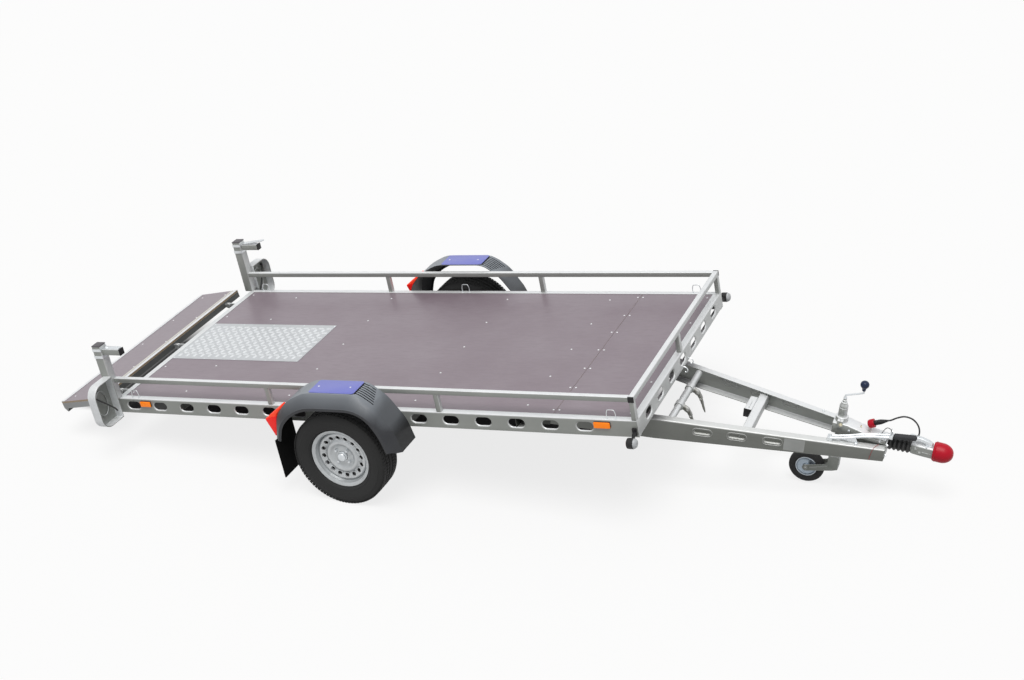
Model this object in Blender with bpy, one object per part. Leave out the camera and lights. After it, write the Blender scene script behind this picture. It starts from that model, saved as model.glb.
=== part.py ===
"""Single-axle motorcycle trailer with a tilting bed and a hinged drawbar, in metres, +X forward, +Z up."""

import math

import bmesh
import bpy
from mathutils import Vector

for old in list(bpy.data.objects):
    bpy.data.objects.remove(old, do_unlink=True)

# Fits
GAP = 0.0003
PIN_PLAY = 0.001
SLIDE_PLAY = 0.001
SINK = 0.005
OVERCUT = 0.010

# Bed
BED_FRONT = 1.774
BED_REAR = -1.640
HALF_WIDTH = 0.785
RAIL_TOP = 0.531
RAIL_DEPTH = 0.100
RAIL_WALL = 0.003
RAIL_FLANGE = 0.040
REAR_RAIL_DEPTH = 0.080
HOLE_PITCH = 0.200
HOLE_LENGTH = 0.098
HOLE_HEIGHT = 0.052
HOLE_DROP = 0.047
SIDE_HOLE_INSET = 0.1144
SIDE_HOLES = 16
FRONT_HOLES = 7
BEARER_X = (-1.20, -0.45, 0.40, 1.10)
BEARER_WIDTH = 0.060
BEARER_DEPTH = 0.060
DECK_THICKNESS = 0.015
DECK_SINK = 0.002
DECK_SEAM_X = 1.285
DECK_SEAM = 0.002
TREAD_X = (-1.598, -0.640)
TREAD_HALF = 0.250
TREAD_THICKNESS = 0.002

# Railing
RAILING_TOP = 0.670
RAILING_TUBE = 0.030
RAILING_EDGE = 0.004
RAILING_POSTS = (-0.505, 0.610)
RAILING_POST = 0.026

# Rear posts and corner trays
POST = 0.060
POST_EDGE = 0.006
POST_X = BED_REAR - 0.010
POST_TOP = 0.905
ARM = 0.040
ARM_EDGE = 0.004
ARM_LENGTH = 0.135
ARM_Z = 0.860
KEEPER_HALF = 0.0175
KEEPER_THICKNESS = 0.0055
BAND_WALL = 0.003
# Bottom and top above the arm's top
BANDS = ((-0.058, -0.040), (-0.012, 0.006))
TRAY_X = (BED_REAR - 0.022, BED_REAR + 0.038)
TRAY_WIDTH = 0.1847
TRAY_Z = (0.420, 0.700)
TRAY_WALL = 0.003
TRAY_ROUND = 0.4 * TRAY_WIDTH

# Wheels and axle
TYRE_R = 0.292
WHEEL_STEPS = 32
TYRE_WIDTH = 0.165
WHEEL_CLEARANCE = 0.015
TYRE_IN = HALF_WIDTH + WHEEL_CLEARANCE
TYRE_OUT = TYRE_IN + TYRE_WIDTH
RIM_INSET = 0.018
RIM_IN = TYRE_IN + RIM_INSET
RIM_OUT = TYRE_OUT - RIM_INSET
RIM_FLANGE_R = 0.1825
RIM_SEAT_R = 0.166
RIM_BARREL_R = 0.158
VENTS = 16
VENT_RING_R = 0.124
VENT_R = 0.0118
AXLE_X = 0.150
AXLE_Z = 0.385
AXLE_TUBE = 0.060
AXLE_SHOE_LENGTH = 0.140
AXLE_SHOE_WIDTH = 0.060
ARM_THICKNESS = 0.026
ARM_OUT = HALF_WIDTH - 0.0085
ARM_IN = ARM_OUT - ARM_THICKNESS
ARM_ROOT_R = 0.040
ARM_HALF = (0.034, 0.028)
SPINDLE_R = 0.017
SPINDLE_END = RIM_OUT - 0.042
HUB_R = 0.042
DRUM_R = 0.105
DRUM_WALL = 0.008

# Fenders
FENDER_REACH = 0.215
FENDER_IN = HALF_WIDTH + GAP
FENDER_CREASE = HALF_WIDTH + 0.744 * FENDER_REACH
FENDER_OUT = HALF_WIDTH + FENDER_REACH
FENDER_WALL = 0.004
FENDER_LIP = 0.022
FENDER_SHOULDER = 0.014
# x at the crease, z at the crease, x at the lip, z at the lip
FENDER_RIBS = (
    (-0.392, 0.425, -0.352, 0.425),
    (-0.358, 0.560, -0.318, 0.530),
    (-0.262, 0.655, -0.235, 0.605),
    (-0.135, 0.713, -0.125, 0.652),
    (0.200, 0.713, 0.190, 0.652),
    (0.305, 0.632, 0.285, 0.598),
    (0.398, 0.485, 0.345, 0.490),
    (0.425, 0.362, 0.372, 0.380),
)
CREASE_ROUND = 0.045
LIP_ROUND = 0.065
LOUVRES = 7
LOUVRE_WIDTH = 0.005
LOUVRE_DEPTH = 0.0025
LOUVRE_PITCH = 0.0165
LOUVRE_START = 0.026
FLAP_THICKNESS = 0.006
FLAP_Z = (0.170, 0.458)
FLAP_MARGIN = 0.010
LAMP_WIDTH = 0.078
LAMP_EDGE = 0.005
# The wedge's three outer corners, x and z
LAMP_CORNERS = ((-0.332, 0.608), (-0.446, 0.528), (-0.402, 0.415))
# Where the lamp meets the fender, as lengths along its skin from the foot
LAMP_SEAT = (0.008, 0.184)

# Side markers
MARKER_X = (BED_REAR + 0.2135, BED_FRONT - 0.1975)
MARKER_LENGTHS = (0.079, 0.095)
MARKER_DROP = (0.050, 0.012)
MARKER_DEPTH = 0.012
MARKER_EDGE = 0.004

# Position lamps
POSITION_X = BED_FRONT - 0.019
POSITION_Z = 0.450
POSITION_REACH = 0.090
POSITION_R = 0.029
POSITION_HALF = 0.030
STALK_R = 0.010

# Ramp, in its own frame: x forward from the hinge, z up from it
RAMP_AXIS_X = BED_REAR - 0.105
RAMP_AXIS_Z = 0.485
RAMP_SLOPE = math.radians(7.0)
RAMP_FRONT = -0.020
RAMP_REAR = -0.352
RAMP_TOP = 0.045
RAMP_DEPTH = 0.050
RAMP_WALL = 0.004
RAMP_BOARD = 0.012
RAMP_LIP = 0.022
LUG_SPREAD = 0.79 * HALF_WIDTH
LUG_Y = (-LUG_SPREAD, 0.0, LUG_SPREAD)
LUG_THICKNESS = 0.008
LUG_R = 0.018
CHEEK_THICKNESS = 0.006
RAMP_PIN_R = 0.007

# Drawbar, in its own frame: u forward from the hinge, w up from it
HINGE_X = 1.100
HINGE_Z = 0.360
HINGE_R = 0.020
HINGE_HALF = 0.520
HINGE_EYE_R = 0.034
BRACKET_THICKNESS = 0.010
BRACKET_HALF = (0.035, 0.070)
DRAWBAR_SLOPE = math.atan(0.235)
BEAM_TOP = 0.062
BEAM_REAR = -0.050
BEAM_BEND = 0.590
BEAM_FRONT = 1.808
BEAM_HALF_REAR = 0.4595
BEAM_HALF_FRONT = 0.095
BEAM_BOTTOM_REAR = -0.067
BEAM_BOTTOM_FRONT = -0.014
BEAM_WALL = 0.004
BEAM_FLANGE = 0.050
BEAM_TAPER = (BEAM_HALF_REAR - BEAM_HALF_FRONT) / BEAM_FRONT
# Pressed slots in each web: middle u and w
BEAM_SLOTS = ((0.850, 0.016), (1.035, 0.018), (1.225, 0.020))
BEAM_SLOT_LENGTH = 0.092
BEAM_SLOT_HEIGHT = 0.024
BEAM_SLOT_DEPTH = 0.002
LATCH_U = 0.660
LATCH_W = 0.036
LATCH_R = 0.020
COLLAR_R = 0.026
COLLAR_HALF = 0.022
LATCH_Y = (0.100, -0.100)
# Each latch lever from its collar to its tip: u, w, radius
LATCH_LEVER = (
    (0.010, -0.004, 0.015),
    (0.040, -0.014, 0.016),
    (0.062, -0.036, 0.013),
    (0.077, -0.068, 0.0095),
    (0.090, -0.104, 0.0080),
    (0.104, -0.140, 0.0050),
)
CROSS_U = (1.045, 1.095)
CROSS_W = (-0.010, 0.045)
STUB_LENGTH = 0.150
STUB_REACH = 0.040

# Jockey wheel
JOCKEY_BACK = 0.262
JOCKEY_U = BEAM_FRONT - JOCKEY_BACK
JOCKEY_TUBE_R = 0.024
JOCKEY_INNER_R = 0.0195
JOCKEY_TOP = 0.226
JOCKEY_BOTTOM = -0.050
JOCKEY_TRAIL = 0.148
JOCKEY_HUB_U = JOCKEY_U - JOCKEY_TRAIL
JOCKEY_HUB_W = -0.215
JOCKEY_R = 0.100
JOCKEY_HALF = 0.025
JOCKEY_STEPS = 20
JOCKEY_RIM_R = 0.060
JOCKEY_PIN_R = 0.008
FORK_PLATE = 0.0045
FORK_SIDE_GAP = 0.0075
CRANK_REACH = 0.090
CRANK_R = 0.005
KNOB_R = 0.024

# Hitch, in the nose frame: u forward from the beams' ends
HITCH_REAR = -0.303
HITCH_HALF = 0.045
HITCH_TOP = 0.128
KEEL_REAR = -0.248
KEEL_HALF = 0.040
KEEL_LOW = 0.010
HOLDER_U = (-0.114, -0.096)
CLAMP_R = 0.034
CLAMP_TOP = 0.158
FLANGE_HALF = 0.090
FLANGE_TOP = 0.100
HEAD_W = 0.066
SHAFT_R = 0.0225
BELLOWS_U = (0.0045, 0.123)
BELLOWS_FOLDS = 5
BELLOWS_R = (0.044, 0.038)
BELLOWS_FOLD = 0.009
BELLOWS_WALL = 0.0009
# The coupling head's sections: u, half width, bottom and top from its axis
HEAD_SECTIONS = (
    (0.126, 0.0225, -0.030, 0.024),
    (0.142, 0.0265, -0.030, 0.031),
    (0.177, 0.0300, -0.030, 0.032),
    (0.2417, 0.0320, -0.030, 0.032),
)
HEAD_EDGE = 0.009
SOCKET_U = 0.210
SOCKET_R = 0.0258
SOCKET_DEPTH = 0.042
# Handle outline: u, w
HANDLE = (
    (0.117, 0.120),
    (0.107, 0.134),
    (0.113, 0.139),
    (0.122, 0.140),
    (0.177, 0.136),
    (0.214, 0.127),
    (0.232, 0.117),
    (0.238, 0.108),
    (0.232, 0.0985),
    (0.198, 0.0985),
    (0.198, 0.110),
    (0.177, 0.118),
)
HANDLE_HALF = 0.014
CAP_REAR = 0.242
CAP_LIFT = 0.006
# Cap profile: radius, length from its rear face
CAP_PROFILE = ((0.0, 0.0), (0.048, 0.0), (0.052, 0.006), (0.054, 0.018), (0.054, 0.050), (0.051, 0.066),
               (0.044, 0.082), (0.033, 0.095), (0.018, 0.104), (0.0, 0.107))
# The brake lever's outer bar: u, y, w
BRAKE_BAR = (
    (-0.301, -0.124, 0.074),
    (-0.208, -0.106, 0.090),
    (-0.108, -0.084, 0.114),
    (0.024, -0.058, 0.130),
)
BRAKE_BAR_R = 0.008
BRAKE_BAR_STEP = 0.024
GRIP_START = (0.0301, -0.044, 0.132)
GRIP_END = (0.150, -0.040, 0.150)
GRIP_R = 0.017
PLUG_CAP = ((-0.118, 0.0, 0.141), (-0.086, 0.0, 0.158))
PLUG_CAP_R = 0.025
PLUG_BODY = ((-0.090, 0.0, 0.156), (-0.018, 0.0, 0.192))
PLUG_BODY_R = 0.015

# Leads, in the nose frame
PLUG_LEAD_R = 0.0045
PLUG_LEAD = (
    (-0.0176, 0.0, 0.1922),
    (-0.002, 0.0, 0.2000),
    (0.027, 0.001, 0.222),
    (0.064, 0.004, 0.238),
    (0.107, 0.014, 0.226),
    (0.140, 0.034, 0.180),
    (0.150, 0.052, 0.120),
    (0.130, 0.062, 0.070),
    (0.087, 0.066, 0.036),
    (0.037, 0.066, 0.030),
    (0.0048, 0.066, 0.030),
)
BREAKAWAY_R = 0.002
BREAKAWAY_LEAD = (
    (-0.036, -0.030, 0.0962),
    (-0.034, -0.030, 0.128),
    (-0.016, -0.033, 0.164),
    (0.004, -0.039, 0.168),
    (0.0165, -0.043, 0.156),
    (0.018, -0.044, 0.1404),
)
SIDES = ((1, "left"), (-1, "right"))


def material(name, rgb, roughness, metallic):
    """A plain Principled material."""
    mat = bpy.data.materials.new(name)
    mat.use_nodes = True
    node = mat.node_tree.nodes["Principled BSDF"]
    node.inputs["Base Color"].default_value = (*rgb, 1.0)
    node.inputs["Roughness"].default_value = roughness
    node.inputs["Metallic"].default_value = metallic
    return mat


STEEL = material("galvanised_steel", (0.62, 0.64, 0.66), 0.42, 0.85)
DECK = material("brown_plywood", (0.115, 0.075, 0.078), 0.45, 0.0)
TREAD = material("tread_aluminium", (0.80, 0.81, 0.82), 0.35, 0.9)
BLACK = material("black_plastic", (0.022, 0.022, 0.025), 0.50, 0.0)
RUBBER = material("tyre_rubber", (0.020, 0.020, 0.021), 0.80, 0.0)
RIM = material("silver_rim", (0.66, 0.67, 0.69), 0.35, 0.7)
LAMP = material("red_lamp", (0.800, 0.030, 0.015), 0.25, 0.0)
AMBER = material("amber_lamp", (0.900, 0.240, 0.020), 0.25, 0.0)
RED = material("red_plastic", (0.740, 0.030, 0.045), 0.40, 0.0)
GRIP = material("grey_grip", (0.070, 0.072, 0.080), 0.55, 0.0)


def empty(name, parent=None, location=(0.0, 0.0, 0.0), pitch=0.0):
    """An empty that carries pieces, turned about Y by pitch."""
    holder = bpy.data.objects.new(name, None)
    bpy.context.scene.collection.objects.link(holder)
    holder.parent = parent
    holder.location = location
    holder.rotation_euler = (0.0, pitch, 0.0)
    return holder


def add(name, vertices, faces, mat, parent):
    """A mesh object from vertices and faces, normals outwards."""
    mesh = bpy.data.meshes.new(name)
    mesh.from_pydata(vertices, [], faces)
    work = bmesh.new()
    work.from_mesh(mesh)
    bmesh.ops.recalc_face_normals(work, faces=work.faces)
    work.to_mesh(mesh)
    work.free()
    item = bpy.data.objects.new(name, mesh)
    bpy.context.scene.collection.objects.link(item)
    item.parent = parent
    if mat:
        mesh.materials.append(mat)
    return item


def block(name, low, high, mat=None, parent=None):
    """A box between two corners."""
    corners = [(x, y, z) for x in (low[0], high[0]) for y in (low[1], high[1]) for z in (low[2], high[2])]
    faces = [(0, 1, 3, 2), (4, 6, 7, 5), (0, 4, 5, 1), (2, 3, 7, 6), (0, 2, 6, 4), (1, 5, 7, 3)]
    return add(name, corners, faces, mat, parent)


def prism(name, outline, axis, low, high, mat=None, parent=None):
    """An outline in the two other axes, drawn out along one."""
    spot = {"x": lambda p, t: (t, p[0], p[1]),
            "y": lambda p, t: (p[0], t, p[1]),
            "z": lambda p, t: (p[0], p[1], t)}
    count = len(outline)
    vertices = [spot[axis](p, low) for p in outline] + [spot[axis](p, high) for p in outline]
    faces = [tuple(range(count)), tuple(range(count, 2 * count))]
    faces += [(i, (i + 1) % count, count + (i + 1) % count, count + i) for i in range(count)]
    return add(name, vertices, faces, mat, parent)


def bar(name, low, high, axis, edge, mat=None, parent=None):
    """A box between two corners whose four long edges are cut off."""
    u, v = {"x": (1, 2), "y": (0, 2), "z": (0, 1)}[axis]
    outline = [(low[u] + edge, low[v]), (high[u] - edge, low[v]), (high[u], low[v] + edge),
               (high[u], high[v] - edge), (high[u] - edge, high[v]), (low[u] + edge, high[v]),
               (low[u], high[v] - edge), (low[u], low[v] + edge)]
    along = "xyz".index(axis)
    return prism(name, outline, axis, low[along], high[along], mat, parent)


def loft(name, rings, mat=None, parent=None):
    """Rings of the same count joined in order, with both ends closed."""
    count = len(rings[0])
    vertices = [p for ring in rings for p in ring]
    faces = [tuple(range(count)), tuple(range(count * (len(rings) - 1), count * len(rings)))]
    for r in range(len(rings) - 1):
        for i in range(count):
            j = (i + 1) % count
            faces.append((r * count + i, r * count + j, (r + 1) * count + j, (r + 1) * count + i))
    return add(name, vertices, faces, mat, parent)


def lathe(name, profile, centre, axis, steps, mat=None, parent=None):
    """A closed profile of (radius, along) turned about an axis."""
    turn = {"x": lambda r, a, t: (a, r * math.cos(t), r * math.sin(t)),
            "y": lambda r, a, t: (r * math.cos(t), a, r * math.sin(t)),
            "z": lambda r, a, t: (r * math.cos(t), r * math.sin(t), a)}[axis]
    vertices = []
    rows = []
    for radius, along in profile:
        if radius == 0.0:
            rows.append([len(vertices)] * steps)
            vertices.append(Vector(turn(0.0, along, 0.0)) + Vector(centre))
            continue
        rows.append(list(range(len(vertices), len(vertices) + steps)))
        for s in range(steps):
            vertices.append(Vector(turn(radius, along, 2 * math.pi * s / steps)) + Vector(centre))
    faces = []
    for r in range(len(rows)):
        here = rows[r]
        there = rows[(r + 1) % len(rows)]
        for s in range(steps):
            t = (s + 1) % steps
            corner = []
            for index in (here[s], here[t], there[t], there[s]):
                if index not in corner:
                    corner.append(index)
            if len(corner) > 2:
                faces.append(tuple(corner))
    item = add(name, vertices, faces, mat, parent)
    shade(item)
    return item


def rod(name, start, end, radius, steps=16, mat=None, parent=None):
    """A round rod between two points."""
    start = Vector(start)
    end = Vector(end)
    along = (end - start).normalized()
    side = along.orthogonal().normalized()
    across = along.cross(side)
    rings = []
    for point in (start, end):
        angles = [2 * math.pi * s / steps for s in range(steps)]
        rings.append([point + radius * (math.cos(a) * side + math.sin(a) * across) for a in angles])
    item = loft(name, rings, mat, parent)
    shade(item)
    return item


def bent_rod(name, points, radii, steps=10, mat=None, parent=None):
    """A round rod through points, its section square to the route, of one radius or one a point."""
    route = [Vector(p) for p in points]
    sizes = radii if isinstance(radii, (list, tuple)) else [radii] * len(route)
    heads = []
    for i in range(len(route)):
        before = route[max(i - 1, 0)]
        after = route[min(i + 1, len(route) - 1)]
        heads.append((after - before).normalized())
    side = heads[0].orthogonal().normalized()
    rings = []
    for point, head, radius in zip(route, heads, sizes):
        side = (side - head * side.dot(head)).normalized()
        across = head.cross(side)
        angles = [2 * math.pi * s / steps for s in range(steps)]
        rings.append([point + radius * (math.cos(a) * side + math.sin(a) * across) for a in angles])
    item = loft(name, rings, mat, parent)
    shade(item)
    return item


def smooth_route(points, count):
    """Points read from a smooth curve through a route's own points."""
    knots = [Vector(p) for p in points]
    knots = [2 * knots[0] - knots[1]] + knots + [2 * knots[-1] - knots[-2]]
    spans = len(knots) - 3
    out = []
    for k in range(count):
        t = k * spans / (count - 1)
        i = min(int(t), spans - 1)
        f = t - i
        a, b, c, d = knots[i:i + 4]
        straight = 2 * b + (c - a) * f
        bend = (2 * a - 5 * b + 4 * c - d) * f ** 2 + (3 * b - a - 3 * c + d) * f ** 3
        out.append(0.5 * (straight + bend))
    return out


def cord(name, points, radius, count, mat, parent):
    """A cord as a bevelled curve with closed ends."""
    data = bpy.data.curves.new(name, "CURVE")
    data.dimensions = "3D"
    data.bevel_depth = radius
    data.bevel_resolution = 2
    data.use_fill_caps = True
    line = data.splines.new("POLY")
    route = smooth_route(points, count)
    line.points.add(len(route) - 1)
    for place, point in zip(line.points, route):
        place.co = (*point, 1.0)
    data.materials.append(mat)
    item = bpy.data.objects.new(name, data)
    bpy.context.scene.collection.objects.link(item)
    item.parent = parent
    return item


def shade(item, angle=32.0):
    """Smooth shading with sharp creases."""
    item.data.polygons.foreach_set("use_smooth", [True] * len(item.data.polygons))
    item.data.set_sharp_from_angle(angle=math.radians(angle))


def work(item, tools, operation):
    """Booleans item with each tool, which stays hidden."""
    for tool in tools:
        step = item.modifiers.new(tool.name, "BOOLEAN")
        step.operation = operation
        step.solver = "EXACT"
        step.object = tool
        tool.hide_render = True
        tool.hide_viewport = False
        tool.display_type = "WIRE"
        tool.parent = item.parent
    return item


def join(item, *tools):
    """Joins tools to item."""
    return work(item, tools, "UNION")


def cut(item, *tools):
    """Takes tools away from item."""
    return work(item, tools, "DIFFERENCE")


def oval(length, height, steps=5):
    """The outline of a slot with round ends, about the origin."""
    radius = height / 2
    reach = length / 2 - radius
    points = []
    for side, start in ((1, -90.0), (-1, 90.0)):
        for s in range(steps + 1):
            angle = math.radians(start + 180.0 * s / steps)
            points.append((side * reach + radius * math.cos(angle), radius * math.sin(angle)))
    return points


def moved(outline, du, dv):
    """An outline shifted in its plane."""
    return [(u + du, v + dv) for u, v in outline]


def channel(width, top, bottom, wall, flange):
    """A C section open to the negative side, its web's outer face at width."""
    return [(width, bottom), (width, top), (width - flange, top), (width - flange, top - wall),
            (width - wall, top - wall), (width - wall, bottom + wall), (width - flange, bottom + wall),
            (width - flange, bottom)]


def turn(steps):
    """Angles of a full turn."""
    return [2 * math.pi * s / steps for s in range(steps)]


def round_end(centre, radius, start, steps=8):
    """Half a circle of points, from a starting angle in degrees."""
    angles = [math.radians(start + 180.0 * s / steps) for s in range(steps + 1)]
    return [(centre[0] + radius * math.cos(a), centre[1] + radius * math.sin(a)) for a in angles]


def span(side, first, second):
    """Two distances from the middle as low and high y on a side."""
    return sorted((side * first, side * second))


def inset_line(points, depth):
    """An open line moved to its right-hand side by depth."""
    out = []
    for i, point in enumerate(points):
        before = Vector(points[max(i - 1, 0)])
        after = Vector(points[min(i + 1, len(points) - 1)])
        here = Vector(point)
        normals = []
        for a, b in ((before, here), (here, after)):
            if (b - a).length > 1e-9:
                d = (b - a).normalized()
                normals.append(Vector((d.y, -d.x)))
        mean = sum(normals, Vector((0.0, 0.0))) / len(normals)
        out.append(tuple(here + depth * mean / mean.length_squared))
    return out


def rounded(points, reach, steps=2):
    """An open line with its corners cut round, from reach before each to reach after."""
    out = [points[0]]
    for before, here, after in zip(points, points[1:], points[2:]):
        corner = Vector(here)
        share_in = min(0.45, reach / (corner - Vector(before)).length)
        share_out = min(0.45, reach / (corner - Vector(after)).length)
        start = corner.lerp(Vector(before), share_in)
        end = corner.lerp(Vector(after), share_out)
        for k in range(steps + 1):
            t = k / steps
            out.append(tuple(start * (1 - t) ** 2 + corner * 2 * t * (1 - t) + end * t * t))
    return out + [points[-1]]


def blended(first, second, share):
    """A line part of the way from one to another of the same count."""
    return [tuple(Vector(a).lerp(Vector(b), share)) for a, b in zip(first, second)]


def stretch(points, start, end):
    """The part of a line between two lengths along it."""
    out = []
    length = 0.0
    for a, b in zip(points, points[1:]):
        step = (Vector(b) - Vector(a)).length
        for mark in (start, end):
            if length <= mark < length + step:
                out.append((mark, tuple(Vector(a).lerp(Vector(b), (mark - length) / step))))
        length += step
        if start < length < end:
            out.append((length, tuple(b)))
    return [point for _, point in sorted(out)]


RAIL_BOTTOM = RAIL_TOP - RAIL_DEPTH
HOLE_Z = RAIL_TOP - HOLE_DROP
DECK_TOP = RAIL_TOP - DECK_SINK
BEARER_TOP = DECK_TOP - DECK_THICKNESS - GAP
WHEEL_Z = TYRE_R
HUB_X = HINGE_X + JOCKEY_HUB_U * math.cos(DRAWBAR_SLOPE) + JOCKEY_HUB_W * math.sin(DRAWBAR_SLOPE)
HUB_Z = HINGE_Z - JOCKEY_HUB_U * math.sin(DRAWBAR_SLOPE) + JOCKEY_HUB_W * math.cos(DRAWBAR_SLOPE)
HUB_RISE = WHEEL_Z - HUB_Z
# The floor touches the road wheels and the jockey wheel at once
BED_TILT = math.atan2(HUB_RISE, HUB_X) - math.asin((TYRE_R - JOCKEY_R) / math.hypot(HUB_X, HUB_RISE))

trailer = empty("trailer")
bed = empty("bed", trailer, pitch=-BED_TILT)
ramp = empty("ramp_axis", bed, (RAMP_AXIS_X, 0.0, RAMP_AXIS_Z), -RAMP_SLOPE)
drawbar = empty("drawbar_axis", bed, (HINGE_X, 0.0, HINGE_Z), DRAWBAR_SLOPE)
nose = empty("nose", drawbar, (BEAM_FRONT, 0.0, 0.0))
jockey = empty("jockey_slide", drawbar, (JOCKEY_U, 0.0, 0.0))
HUB_PLACE = (-JOCKEY_TRAIL, 0.0, JOCKEY_HUB_W)
jockey_hub = empty("jockey_hub", jockey, HUB_PLACE, BED_TILT - DRAWBAR_SLOPE)


def build_side_rails():
    """Folded side rails with a row of slots in each web."""
    for side, word in SIDES:
        section = channel(HALF_WIDTH, RAIL_TOP, RAIL_BOTTOM, RAIL_WALL, RAIL_FLANGE)
        outline = [(side * y, z) for y, z in section]
        rail = prism("rail_" + word, outline, "x", BED_REAR, BED_FRONT - RAIL_WALL - GAP, STEEL, bed)
        ys = span(side, HALF_WIDTH - RAIL_WALL - OVERCUT, HALF_WIDTH + OVERCUT)
        for hole in range(SIDE_HOLES):
            x = BED_REAR + SIDE_HOLE_INSET + hole * HOLE_PITCH
            outline = moved(oval(HOLE_LENGTH, HOLE_HEIGHT), x, HOLE_Z)
            cut(rail, prism(f"slot_{word}_{hole}", outline, "y", *ys))


def build_front_rail():
    """Folded front rail with its own slots, between the side rails."""
    section = channel(BED_FRONT, RAIL_TOP, RAIL_BOTTOM, RAIL_WALL, RAIL_FLANGE)
    inner = HALF_WIDTH - RAIL_FLANGE - GAP
    rail = prism("rail_front", section, "y", -inner, inner, STEEL, bed)
    join(rail, block("front_web", (BED_FRONT - RAIL_WALL, -HALF_WIDTH, RAIL_BOTTOM),
                     (BED_FRONT, HALF_WIDTH, RAIL_TOP)))
    xs = (BED_FRONT - RAIL_WALL - OVERCUT, BED_FRONT + OVERCUT)
    for hole in range(FRONT_HOLES):
        y = (hole - (FRONT_HOLES - 1) / 2) * HOLE_PITCH
        outline = moved(oval(HOLE_LENGTH, HOLE_HEIGHT), y, HOLE_Z)
        cut(rail, prism(f"slot_front_{hole}", outline, "x", *xs))


def build_rear_rail():
    """Box rear rail with the ramp's hinge lugs."""
    inner = HALF_WIDTH - RAIL_FLANGE - GAP
    low = RAIL_TOP - REAR_RAIL_DEPTH
    rail = block("rail_rear", (BED_REAR, -inner, low), (BED_REAR + RAIL_FLANGE, inner, RAIL_TOP), STEEL, bed)
    cut(rail, block("rear_hollow", (BED_REAR + RAIL_WALL, -inner - OVERCUT, low + RAIL_WALL),
                    (BED_REAR + RAIL_FLANGE - RAIL_WALL, inner + OVERCUT, RAIL_TOP - RAIL_WALL)))
    root = BED_REAR + RAIL_WALL / 3
    outline = round_end((RAMP_AXIS_X, RAMP_AXIS_Z), LUG_R, 90.0)
    outline += [(root, RAMP_AXIS_Z - LUG_R), (root, RAMP_AXIS_Z + LUG_R)]
    half = LUG_THICKNESS / 2
    for number, y in enumerate(LUG_Y):
        join(rail, prism(f"bed_lug_{number}", outline, "y", y - half, y + half))
        ends = [(RAMP_AXIS_X, y + sign * (half + OVERCUT), RAMP_AXIS_Z) for sign in (-1, 1)]
        cut(rail, rod(f"lug_bore_{number}", *ends, RAMP_PIN_R + PIN_PLAY, 12))


def build_bearers():
    """Box cross bearers under the deck."""
    reach = HALF_WIDTH - RAIL_WALL - GAP
    for number, x in enumerate(BEARER_X):
        low = (x - BEARER_WIDTH / 2, -reach, BEARER_TOP - BEARER_DEPTH)
        high = (x + BEARER_WIDTH / 2, reach, BEARER_TOP)
        bearer = block(f"bearer_{number + 1}", low, high, STEEL, bed)
        inner_low = (low[0] + RAIL_WALL, low[1] - OVERCUT, low[2] + RAIL_WALL)
        inner_high = (high[0] - RAIL_WALL, high[1] + OVERCUT, high[2] - RAIL_WALL)
        cut(bearer, block(f"bearer_hollow_{number}", inner_low, inner_high))


def build_deck():
    """Plywood boards and the tread plate."""
    half = HALF_WIDTH - RAIL_FLANGE - GAP
    low = DECK_TOP - DECK_THICKNESS
    block("deck_main", (BED_REAR + RAIL_FLANGE + GAP, -half, low), (DECK_SEAM_X, half, DECK_TOP), DECK, bed)
    front = BED_FRONT - RAIL_FLANGE - GAP
    block("deck_front", (DECK_SEAM_X + DECK_SEAM, -half, low), (front, half, DECK_TOP), DECK, bed)
    block("tread_plate", (TREAD_X[0], -TREAD_HALF, DECK_TOP + GAP),
          (TREAD_X[1], TREAD_HALF, DECK_TOP + GAP + TREAD_THICKNESS), TREAD, bed)


def railing_post(name, x, y):
    """A short square post from the rail's top into the railing."""
    half = RAILING_POST / 2
    top = RAILING_TOP - RAILING_TUBE + 2 * SINK
    return bar(name, (x - half, y - half, RAIL_TOP + GAP), (x + half, y + half, top), "z", RAILING_EDGE / 2)


def build_railing():
    """Square tube railing along both sides and the front."""
    low = RAILING_TOP - RAILING_TUBE
    middle = HALF_WIDTH - RAILING_TUBE / 2
    corner = BED_FRONT - RAILING_TUBE
    start = POST_X + POST / 2 + GAP
    for side, word in SIDES:
        ys = span(side, HALF_WIDTH - RAILING_TUBE, HALF_WIDTH)
        rail = bar("railing_" + word, (start, ys[0], low), (corner - GAP, ys[1], RAILING_TOP),
                   "x", RAILING_EDGE, STEEL, bed)
        for number, x in enumerate(RAILING_POSTS):
            join(rail, railing_post(f"railing_post_{word}_{number}", x, side * middle))
    front = bar("railing_front", (corner, -HALF_WIDTH, low), (BED_FRONT, HALF_WIDTH, RAILING_TOP),
                "y", RAILING_EDGE, STEEL, bed)
    for number, y in enumerate((-middle, 0.0, middle)):
        join(front, railing_post(f"front_post_{number}", BED_FRONT - RAILING_TUBE / 2, y))


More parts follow.
